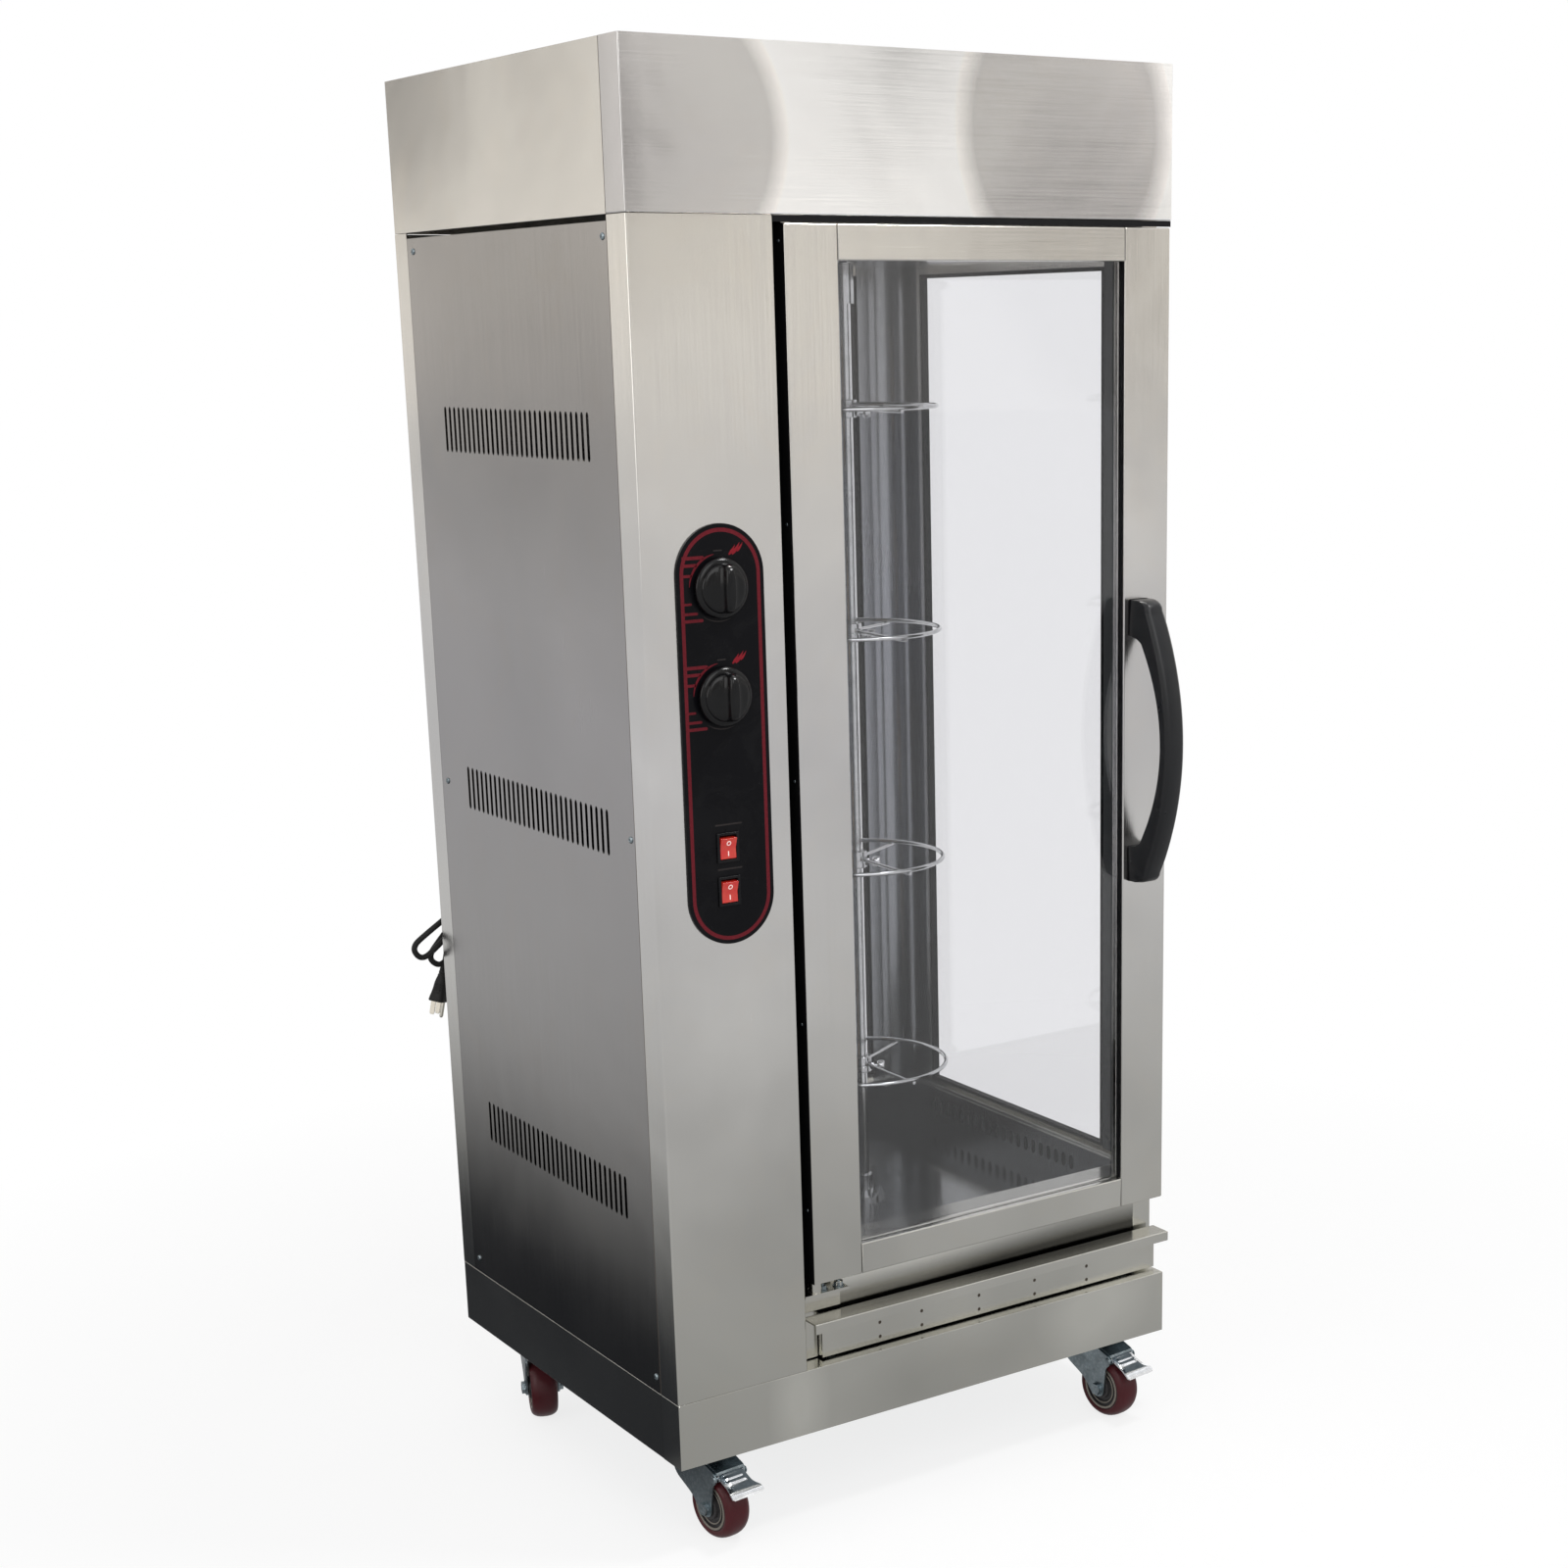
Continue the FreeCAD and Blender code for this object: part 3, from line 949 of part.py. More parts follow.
drawer_front = new_body("DrawerFront")
SHEET = "2"
pad(drawer_front, outline(drawer_front, "face", "YZ", [
    ("DrawerSetback", "DrawerBottom"), ("DrawerSetback + " + SHEET, "DrawerBottom"),
    ("DrawerSetback + " + SHEET, "DrawerTop"), ("DrawerSetback", "DrawerTop")],
    POST_EDGE), "BodyWidth - 0.5 - " + POST_EDGE)
pad(drawer_front, outline(drawer_front, "grip", "YZ", [
    ("DrawerSetback + " + SHEET, "DrawerTop"), ("DrawerSetback + " + SHEET, "DrawerTop - " + SHEET),
    ("DrawerSetback - GripReach + " + SHEET, "DrawerTop - " + SHEET),
    ("DrawerSetback - GripReach + " + SHEET, "DrawerTop - GripLip"),
    ("DrawerSetback - GripReach", "DrawerTop - GripLip"),
    ("DrawerSetback - GripReach", "DrawerTop")],
    "GripLeft"), "BodyWidth - 0.5 - GripLeft")
finish("drawer_front", drawer_front)

# The drip tray is a welded box: its walls stand on its floor.
TRAY_FRONT = "(DrawerSetback + " + SHEET + ")"
TRAY_LEVEL = "(" + RUNNER_LEVEL + " + 2 + SlideGap)"
TRAY_WIDTH = "(" + TRAY_RIGHT + " - " + TRAY_LEFT + ")"
wall_level = TRAY_LEVEL + " + 2"
tray = group("DripTray", [
    block("TrayFloor", TRAY_LEFT, TRAY_FRONT, TRAY_LEVEL, TRAY_WIDTH, "TrayDepth", "2"),
    block("TrayWallLeft", TRAY_LEFT, TRAY_FRONT, wall_level, "2", "TrayDepth", "TrayHeight - 2"),
    block("TrayWallRight", TRAY_RIGHT + " - 2", TRAY_FRONT, wall_level, "2", "TrayDepth",
          "TrayHeight - 2"),
    block("TrayWallFront", TRAY_LEFT + " + 2", TRAY_FRONT, wall_level, TRAY_WIDTH + " - 4", "2",
          "TrayHeight - 2"),
    block("TrayWallBack", TRAY_LEFT + " + 2", TRAY_FRONT + " + TrayDepth - 2", wall_level,
          TRAY_WIDTH + " - 4", "2", "TrayHeight - 2"),
])
finish("drip_tray", tray)


# Spindle and rings

SOCKET = "FloorLevel"
socket_shell = union("SocketShell", [
    rod("SocketFlangeDisc", "z", SPINDLE_X, "SpindleBack", SOCKET, "SocketFlange", "4"),
    rod("SocketSleeve", "z", SPINDLE_X, "SpindleBack", SOCKET, "SocketRadius", "SocketHeight")])
socket_bore = rod("SocketBore", "z", SPINDLE_X, "SpindleBack", SOCKET + " + 4",
                  "SpindleRadius + RunningFit", "SocketHeight")
finish("floor_socket", cut("FloorSocket", socket_shell, [socket_bore]))

shaft = rod("ShaftRod", "z", SPINDLE_X, "SpindleBack", SOCKET + " + 4 + SlideGap",
            "SpindleRadius", CEILING + " - FloorLevel - 20")
coupling = rod("Coupling", "z", SPINDLE_X, "SpindleBack", CEILING + " - 46", "SpindleRadius + 5",
               "44")
coupling_bore = rod("CouplingBore", "z", SPINDLE_X, "SpindleBack", CEILING + " - 27",
                    "SpindleRadius - 1.5 + RunningFit", "60")
finish("spindle", cut("Spindle", union("SpindleShell", [shaft, coupling]), [coupling_bore]))

for k, level in enumerate(("RingLevelD", "RingLevelC", "RingLevelB", "RingLevelA"), 1):
    parts = [
        ring_wire("RingWire%d" % k, SPINDLE_X, "SpindleBack", level, "RingRadius", "WireRadius"),
        rod("RingHub%d" % k, "z", SPINDLE_X, "SpindleBack", level + " - HubHeight/2 - 2",
            "HubRadius", "HubHeight"),
    ]
    for n in range(3):
        spoke = doc.addObject("Part::Cylinder", "Spoke%d%d" % (k, n))
        bind(spoke, "Radius", "SpokeRadius")
        bind(spoke, "Height", "RingRadius")
        turn = Rotation(Vector(0, 0, 1), VALUE["SpokeTurn"] + 120 * n)
        spoke.Placement = Placement(Vector(), turn * TURNS["x"])
        place(spoke, SPINDLE_X, "SpindleBack", level)
        parts.append(spoke)
    screw = doc.addObject("Part::Cylinder", "ClampBar%d" % k)
    bind(screw, "Radius", "3.2")
    bind(screw, "Height", "HubRadius + 16")
    turn = Rotation(Vector(0, 0, 1), VALUE["SpokeTurn"] - 62)
    screw.Placement = Placement(Vector(), turn * TURNS["x"])
    place(screw, SPINDLE_X, "SpindleBack", level + " - 6")
    parts.append(screw)
    bore = rod("RingBore%d" % k, "z", SPINDLE_X, "SpindleBack", level + " - HubHeight",
               "SpindleRadius + RunningFit", "2*HubHeight")
    finish("rack_ring_%d" % k, cut("RackRing%d" % k, union("RingShell%d" % k, parts), [bore]))


# Casters, each drawn about its swivel axis with the wheel in front.

AXLE = "-(CasterHeight - WheelRadius)"
PEDAL_Y = "-(Trail + 18)"
PEDAL_Z = "-(ForkTop + 9.5)"
plates = []
CASTERS = [
    ("fl", "CasterInset", "CasterSetback", "SwivelA"),
    ("fr", "(BodyWidth - CasterInset)", "CasterSetback", "SwivelB"),
    ("rl", "CasterInset", "(BodyDepth - CasterSetback)", "SwivelC"),
    ("rr", "(BodyWidth - CasterInset)", "(BodyDepth - CasterSetback)", "SwivelD"),
]
for tag, x, y, turn in CASTERS:
    plates.append(union("CasterPlate_" + tag, [
        block("TopPlate_" + tag, x + " - 45", y + " - 32", "-3", "90", "64", "3"),
        rod("Race_" + tag, "z", x, y, "-11", "25", "9"),
        rod("KingPin_" + tag, "z", x, y, "-ForkTop - 4", "5", "ForkTop"),
        rod("KingNut_" + tag, "z", x, y, "-ForkTop - 4.5 - SlideGap", "8", "4.5"),
    ]))
finish("caster_plates", group("CasterPlates", plates))


def swivel(item, x, y, turn):
    """Place a caster piece on its swivel axis and turn it."""
    item.Placement = Placement(Vector(), Rotation(Vector(0, 0, 1), 1))
    place(item, x, y, "0")
    bind(item, "Placement.Rotation.Angle", turn)


for tag, x, y, turn in CASTERS:
    legs = new_body("ForkLegs_" + tag, placed=False)
    pad(legs, outline(legs, "side", "YZ", [
        ("26", "-11 - SlideGap"), ("-27", "-11 - SlideGap"), ("-55", "-21"), ("-57", "-31"),
        ("-50", "-38"), ("-Trail - 11", AXLE + " + 3"), ("-Trail - 9", AXLE + " - 7"),
        ("-Trail", AXLE + " - 12"), ("-Trail + 10", AXLE + " - 8"),
        ("-Trail/2 + 5", AXLE + " + 8"), ("20", "-42"), ("27", "-24")]),
        "ForkGap + 2*ForkSteel", middle=True)
    pocket(legs, outline(legs, "inside", "YZ", [
        ("60", "-ForkTop"), ("-26", "-ForkTop"), ("-80", "0"), ("-80", AXLE + " - 40"),
        ("60", AXLE + " - 40")]), "ForkGap", middle=True)
    cap = rod("ForkCap_" + tag, "z", "0", "0", "-ForkTop", "28", "ForkTop - 11 - SlideGap",
              placed=False)
    axle = rod("Axle_" + tag, "x", "-ForkGap/2 - ForkSteel - 5", "-Trail", AXLE, "AxleRadius",
               "ForkGap + 2*ForkSteel + 10", placed=False)
    nut_left = rod("AxleNut_" + tag, "x", "-ForkGap/2 - ForkSteel - 4.5", "-Trail", AXLE, "8",
                   "5", placed=False)
    nut_right = rod("AxleHead_" + tag, "x", "ForkGap/2 + ForkSteel - 0.5", "-Trail", AXLE, "8",
                    "5", placed=False)
    pieces = [legs, cap, axle, nut_left, nut_right]
    if tag in ("fl", "fr"):
        pieces.append(rod("PedalPin_" + tag, "x", "-ForkGap/2 - ForkSteel", PEDAL_Y, PEDAL_Z, "2.5",
                          "ForkGap + 2*ForkSteel", placed=False))
    king_bore = rod("KingBore_" + tag, "z", "0", "0", "-ForkTop - 1", "5 + RunningFit",
                    "ForkTop", placed=False)
    fork = cut("Fork_" + tag, union("ForkShell_" + tag, pieces), [king_bore])
    swivel(fork, x, y, turn)
    finish("caster_fork_" + tag, fork)

    wheel = new_body("Wheel_" + tag, placed=False)
    revolve(wheel, outline(wheel, "tread", "XY", [
        ("-WheelWidth/2 - 1.6", "AxleRadius + RunningFit"), ("-WheelWidth/2 - 1.6", "14"),
        ("-WheelWidth/2 + 2", "15"), ("-WheelWidth/2 + 2", "WheelRadius - 14"),
        ("-WheelWidth/2", "WheelRadius - 12"),
        ("-WheelWidth/2", "WheelRadius - 8"), ("-WheelWidth/2 + 4", "WheelRadius - 2.4"),
        ("-WheelWidth/4", "WheelRadius"), ("WheelWidth/4", "WheelRadius"),
        ("WheelWidth/2 - 4", "WheelRadius - 2.4"), ("WheelWidth/2", "WheelRadius - 8"),
        ("WheelWidth/2", "WheelRadius - 12"), ("WheelWidth/2 - 2", "WheelRadius - 14"),
        ("WheelWidth/2 - 2", "15"),
        ("WheelWidth/2 + 1.6", "14"), ("WheelWidth/2 + 1.6", "AxleRadius + RunningFit")]), "X")
    wheel.Placement = Placement(Vector(), Rotation(Vector(0, 0, 1), 1))
    place(wheel, x + " + Trail*sin(%s)" % turn, y + " - Trail*cos(%s)" % turn, AXLE)
    bind(wheel, "Placement.Rotation.Angle", turn)
    finish("caster_wheel_" + tag, wheel)

for tag, x, y, turn in CASTERS[:2]:
    tread = new_body("PedalPlate_" + tag, placed=False)
    pad(tread, outline(tread, "section", "YZ", [
        ("-38", "-21.5"), ("-56", "-22.5"), ("-PedalReach + 12", "-32"), ("-PedalReach", "-35.5"),
        ("-PedalReach", "-37.7"), ("-PedalReach + 11", "-34.2"), ("-56", "-25"),
        ("-38", "-24")]), "PedalWidth", middle=True)
    pad(tread, outline(tread, "lip", "YZ", [
        ("-PedalReach + 16", "-30.1"), ("-PedalReach + 12", "-32"), ("-PedalReach", "-35.5"),
        ("-PedalReach - 3", "-41"), ("-PedalReach - 1", "-41"), ("-PedalReach + 2", "-37.1"),
        ("-PedalReach + 12", "-34.2"), ("-PedalReach + 16", "-32.4")]), "PedalWidth + 8",
        middle=True)
    knuckle = rod("PedalKnuckle_" + tag, "x", "-PedalWidth/2", PEDAL_Y, PEDAL_Z, "4.4",
                  "PedalWidth", placed=False)
    pin_bore = rod("PedalBore_" + tag, "x", "-PedalWidth/2 - 1", PEDAL_Y, PEDAL_Z,
                   "2.5 + RunningFit", "PedalWidth + 2", placed=False)
    pedal = cut("Pedal_" + tag, union("PedalShell_" + tag, [tread, knuckle]), [pin_bore])
    swivel(pedal, x, y, turn)
    finish("brake_pedal_" + ("left" if tag == "fl" else "right"), pedal)


# Power cord. It leaves the gland, hangs in a loose two-turn hank drawn in at its
# waist behind the cabinet, and ends in a plug that hangs below.

corner = Vector(-VALUE["BodyWidth"] / 2,
                (VALUE["HandleReach"] - VALUE["BodyDepth"] - VALUE["RearReach"]) / 2,
                VALUE["CasterHeight"])
BACK = VALUE["BodyDepth"]
CORD = VALUE["CordRadius"]


def at(x, y, z):
    """World point from the left face, the back of the cabinet and the plinth bottom."""
    return corner + Vector(x, BACK + y, z)


def tube(edges, radius):
    """A round tube along a wire of lines and arcs."""
    wire = Part.Wire(edges)
    start = wire.Vertexes[0].Point
    first = edges[0]
    direction = first.tangentAt(first.FirstParameter)
    section = Part.Wire([Part.makeCircle(radius, start, direction)])
    shape = wire.makePipeShell([section], True, False)
    return Part.makeSolid(shape) if shape.ShapeType != "Solid" else shape


def rounded_route(points, name):
    """Straight runs joined by tangent arcs as large as the runs allow."""
    edges = []
    radii = []
    at_point = points[0]
    for before, here, after in zip(points, points[1:], points[2:]):
        inward = (here - before).normalize()
        onward = (after - here).normalize()
        half = inward.getAngle(onward) / 2
        shorter = min((here - before).Length, (after - here).Length)
        radius = 0.45 * shorter / math.tan(half)
        radii.append(radius)
        reach_back = radius * math.tan(half)
        start = here - inward * reach_back
        end = here + onward * reach_back
        middle_line = (onward - inward).normalize()
        middle = here + middle_line * (radius / math.cos(half) - radius)
        edges.append(Part.LineSegment(at_point, start).toShape())
        edges.append(Part.Arc(start, middle, end).toShape())
        at_point = end
    edges.append(Part.LineSegment(at_point, points[-1]).toShape())
    print(name, "bend radii", [round(r, 1) for r in radii])
    return edges


def biarc(p, tangent_p, q, tangent_q):
    """Two arcs that leave p along one direction and reach q along another."""
    v = q - p
    total = tangent_p + tangent_q
    a = 2 * (tangent_p.dot(tangent_q) - 1)
    b = -2 * v.dot(total)
    c = v.dot(v)
    if abs(a) < 1e-9:
        d = -c / b
    else:
        root = math.sqrt(b * b - 4 * a * c)
        d = max((-b + root) / (2 * a), (-b - root) / (2 * a))
    corner_p = p + tangent_p * d
    corner_q = q - tangent_q * d
    joint = (corner_p + corner_q) * 0.5
    pieces = []
    for start, bend, end in ((p, corner_p, joint), (joint, corner_q, q)):
        chord = end - start
        middle_chord = (start + end) * 0.5
        rise = bend - middle_chord
        if rise.Length < 1e-6 * chord.Length:
            pieces.append(Part.LineSegment(start, end))
            continue
        half = chord.Length / 2
        side = (bend - start).Length
        angle = math.asin(rise.Length / side)
        height = half * math.tan(angle / 2)
        pieces.append(Part.Arc(start, middle_chord + rise.normalize() * height, end))
    return pieces


# The hank hangs in three layers one behind the other; both climbs are on the upper run.
WAIST = (72.0, 528.0)
HEADING = 215.0
LAYERS = (31.0, 39.0, 47.0)
WAIST_HALF = 5.0
LOBE_HALF = 11.0


def hank_point(along, across, layer, heading):
    """Point of the hank; along runs from the waist to the lower left."""
    turn = math.radians(heading)
    x = WAIST[0] + along * math.cos(turn) - across * math.sin(turn)
    z = WAIST[1] + along * math.sin(turn) + across * math.cos(turn)
    return at(x, LAYERS[layer], z)


def hank_way(heading, turn=0):
    angle = math.radians(heading + turn)
    return Vector(math.cos(angle), 0, math.sin(angle))


def lobe(length, layer, heading, right):
    """Stations around one end of the hank."""
    side = -1 if right else 1
    straight = length - LOBE_HALF
    facing = heading + 180 if right else heading
    stations = []
    if right:
        stations.append((hank_point(-45, -WAIST_HALF - 1, layer, heading), hank_way(facing)))
    stations += [
        (hank_point(side * straight, side * LOBE_HALF, layer, heading), hank_way(facing)),
        (hank_point(side * length, 0, layer, heading), hank_way(facing, -90)),
        (hank_point(side * straight, -side * LOBE_HALF, layer, heading), hank_way(facing, 180)),
    ]
    return stations


stations = [(hank_point(0, WAIST_HALF, 0, HEADING), hank_way(HEADING))]
stations += lobe(115, 0, HEADING, False)
stations += [(hank_point(0, -WAIST_HALF, 0, HEADING), hank_way(HEADING + 180))]
stations += lobe(215, 1, HEADING, True)
stations += [(hank_point(0, WAIST_HALF, 1, HEADING), hank_way(HEADING))]
stations += lobe(98, 1, HEADING + 15, False)
stations += [(hank_point(0, -WAIST_HALF, 1, HEADING), hank_way(HEADING + 180))]
stations += lobe(206, 2, HEADING, True)
stations += [(hank_point(0, WAIST_HALF, 2, HEADING), hank_way(HEADING))]

hank_curves = [Part.LineSegment(stations[0][0] - stations[0][1] * 2 * CORD, stations[0][0])]
for (p, tangent_p), (q, tangent_q) in zip(stations, stations[1:]):
    hank_curves += biarc(p, tangent_p, q, tangent_q)
last_point, last_way = stations[-1]
hank_curves.append(Part.LineSegment(last_point, last_point + last_way * 2 * CORD))
hank_edges = [curve.toShape() for curve in hank_curves]
hank = doc.addObject("Part::Feature", "CordHank")
hank.Shape = tube(hank_edges, CORD)
finish("cord_hank", hank)


def least_gap(edges, radius):
    """Least gap of a tube to itself, measured on points along its middle line."""
    points = []
    travelled = 0.0
    for edge in edges:
        for point in edge.discretize(Number=max(3, int(edge.Length / 1.5)))[1:]:
            if points:
                travelled += (point - points[-1][1]).Length
            points.append((travelled, point))
    least = 1e9
    for i, (si, p) in enumerate(points):
        for sj, q in points[i + 1:]:
            if sj - si > 5 * radius:
                least = min(least, (p - q).Length)
    return least - 2 * radius


hank_length = sum(edge.Length for edge in hank_edges)
print("hank length", round(hank_length), "volume ratio",
      round(hank.Shape.Volume / (math.pi * CORD * CORD * hank_length), 4),
      "least gap", round(least_gap(hank_edges, CORD), 2))
print("hank radii", [round(edge.Curve.Radius, 1) for edge in hank_edges
                     if hasattr(edge.Curve, "Radius")])

GLAND = at(VALUE["GlandLeft"], VALUE["GlandLength"], VALUE["GlandLevel"])
hank_start = hank_edges[0].Vertexes[0].Point
hank_end = last_point + last_way * 2 * CORD
feed_points = [
    GLAND, GLAND + Vector(0, 21, 0), GLAND + Vector(0, 36, -15), GLAND + Vector(2, 29, -55),
    GLAND + Vector(5, 14, -102), hank_start - stations[0][1] * 43, hank_start]
drop_points = [hank_end, hank_end + last_way * 30, hank_end + last_way * 30 + Vector(-11.5, 0, -28.5),
               hank_end + last_way * 30 + Vector(-19, 0, -60.5)]
runs = []
for points, name in ((feed_points, "feed"), (drop_points, "drop")):
    edges = rounded_route(points, name)
    shape = tube(edges, CORD)
    length = sum(edge.Length for edge in edges)
    print(name, "length", round(length), "volume ratio",
          round(shape.Volume / (math.pi * CORD * CORD * length), 4))
    runs.append(shape)
cord = doc.addObject("Part::Feature", "PowerCord")
cord.Shape = Part.makeCompound(runs)
finish("power_cord", cord)

gland_parts = [
    rod("GlandThread", "y", "GlandLeft", "BodyDepth - 14", "GlandLevel", "CordRadius + 4", "16"),
    rod("GlandNut", "y", "GlandLeft", "BodyDepth", "GlandLevel", "CordRadius + 8", "6"),
    rod("GlandLockNut", "y", "GlandLeft", "BodyDepth - Gauge - 5", "GlandLevel", "CordRadius + 8",
        "5"),
    rod("GlandSleeve", "y", "GlandLeft", "BodyDepth + 5", "GlandLevel", "CordRadius + 3.5",
        "GlandLength - 5"),
]
finish("cord_gland", union("CordGland", gland_parts))

# Plug with two flat blades and a round earth pin, drawn hanging from its boot.
plug_parts = []
boot = doc.addObject("Part::Cone", "PlugBoot")
bind(boot, "Radius1", "CordRadius + 4")
bind(boot, "Radius2", "CordRadius + 1")
boot.Height = 14
boot.Placement.Base = Vector(0, 0, -14)
plug_body = doc.addObject("Part::Wedge", "PlugBody")
plug_body.Xmin, plug_body.Xmax = -12, 12
plug_body.Zmin, plug_body.Zmax = -10, 10
plug_body.Ymin, plug_body.Ymax = 0, 31
plug_body.X2min, plug_body.X2max = -6.5, 6.5
plug_body.Z2min, plug_body.Z2max = -6.5, 6.5
plug_body.Placement = Placement(Vector(0, 0, -43), Rotation(Vector(1, 0, 0), 90))
blades = []
for name, x in (("BladeLeft", -7.1), ("BladeRight", 5.6)):
    blade = doc.addObject("Part::Box", name)
    blade.Length, blade.Width, blade.Height = 1.5, 6.3, 17.5
    blade.Placement.Base = Vector(x, 0.5, -60)
    blades.append(blade)
earth = doc.addObject("Part::Cylinder", "EarthPin")
earth.Radius, earth.Height = 2.4, 20
earth.Placement.Base = Vector(0, -6, -62.5)
plug = union("Plug", [boot, plug_body, earth] + blades)
drop_way = (drop_points[-1] - drop_points[-2]).normalize()
plug.Placement = Placement(drop_points[-1], Rotation(Vector(0, 0, -1), drop_way)
                           * Rotation(Vector(0, 0, 1), 35))
finish("power_plug", plug)


# Check every object, then write one file for each sub-part

doc.recompute()
for item in doc.Objects:
    if set(item.State) & {"Invalid", "Error"}:
        raise RuntimeError("%s: %s" % (item.Name, item.State))
for node, item in finished.items():
    if item.Shape.isNull() or not item.Shape.isValid() or not item.Shape.Solids:
        raise RuntimeError("bad shape: " + node)
os.makedirs("parts", exist_ok=True)
for node, item in finished.items():
    item.Shape.exportStep("parts/%s.step" % node)
print(len(finished), "nodes,", sum(len(i.Shape.Solids) for i in finished.values()), "solids")
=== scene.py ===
"""Rotisserie cabinet: the looks of every piece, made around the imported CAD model."""

import json
import math

import bmesh
import bpy
from bpy.props import FloatProperty, FloatVectorProperty, IntProperty, PointerProperty
from mathutils import Matrix, Vector


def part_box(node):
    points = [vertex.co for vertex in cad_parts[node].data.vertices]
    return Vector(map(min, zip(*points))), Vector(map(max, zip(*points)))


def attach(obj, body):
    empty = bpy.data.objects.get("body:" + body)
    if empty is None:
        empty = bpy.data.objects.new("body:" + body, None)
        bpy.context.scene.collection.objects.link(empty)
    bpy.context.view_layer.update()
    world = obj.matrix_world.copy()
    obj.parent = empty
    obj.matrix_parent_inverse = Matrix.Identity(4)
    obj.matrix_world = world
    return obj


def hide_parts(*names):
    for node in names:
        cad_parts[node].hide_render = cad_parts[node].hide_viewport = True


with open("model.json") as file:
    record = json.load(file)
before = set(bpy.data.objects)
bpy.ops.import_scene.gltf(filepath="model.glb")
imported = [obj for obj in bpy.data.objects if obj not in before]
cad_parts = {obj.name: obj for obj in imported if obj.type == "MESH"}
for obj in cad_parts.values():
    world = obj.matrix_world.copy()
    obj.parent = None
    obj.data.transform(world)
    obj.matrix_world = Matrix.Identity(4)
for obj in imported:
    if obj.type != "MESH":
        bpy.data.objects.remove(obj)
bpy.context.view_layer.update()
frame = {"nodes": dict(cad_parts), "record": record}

bl_info = {
    "name": "Rotisserie cabinet",
    "version": (1, 0, 0),
    "blender": (4, 5, 0),
    "location": "3D View > Sidebar > Rotisserie",
    "description": "Builds a glass-fronted rotisserie cabinet on casters",
    "category": "Object",
}

NODES = frame["nodes"]
CORNER = Vector(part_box("plinth_front")[0])
MM = 0.001


def spot(x, y, z):
    """World point from the left face, the front face and the plinth bottom, in mm."""
    return CORNER + Vector((x, y, z)) * MM


def colour_of(slot):
    """Base colour that the record gives a material slot."""
    for entry in frame["record"]["materials"]:
        if entry["slot"] == slot:
            return tuple(entry["base_color"][:3])
    raise ValueError(f"no material slot {slot}")


# Node trees


def node_in(tree, kind, inputs=None, **settings):
    """A new node with its settings; each input takes a link from a socket, or a value."""
    node = tree.nodes.new(kind)
    for key, value in settings.items():
        setattr(node, key, value)
    for key, value in (inputs or {}).items():
        socket = node.inputs[key]
        if isinstance(value, bpy.types.NodeSocket):
            tree.links.new(value, socket)
        elif socket.type == "RGBA" and len(value) == 3:
            socket.default_value = (*value, 1.0)
        else:
            socket.default_value = value
    return node


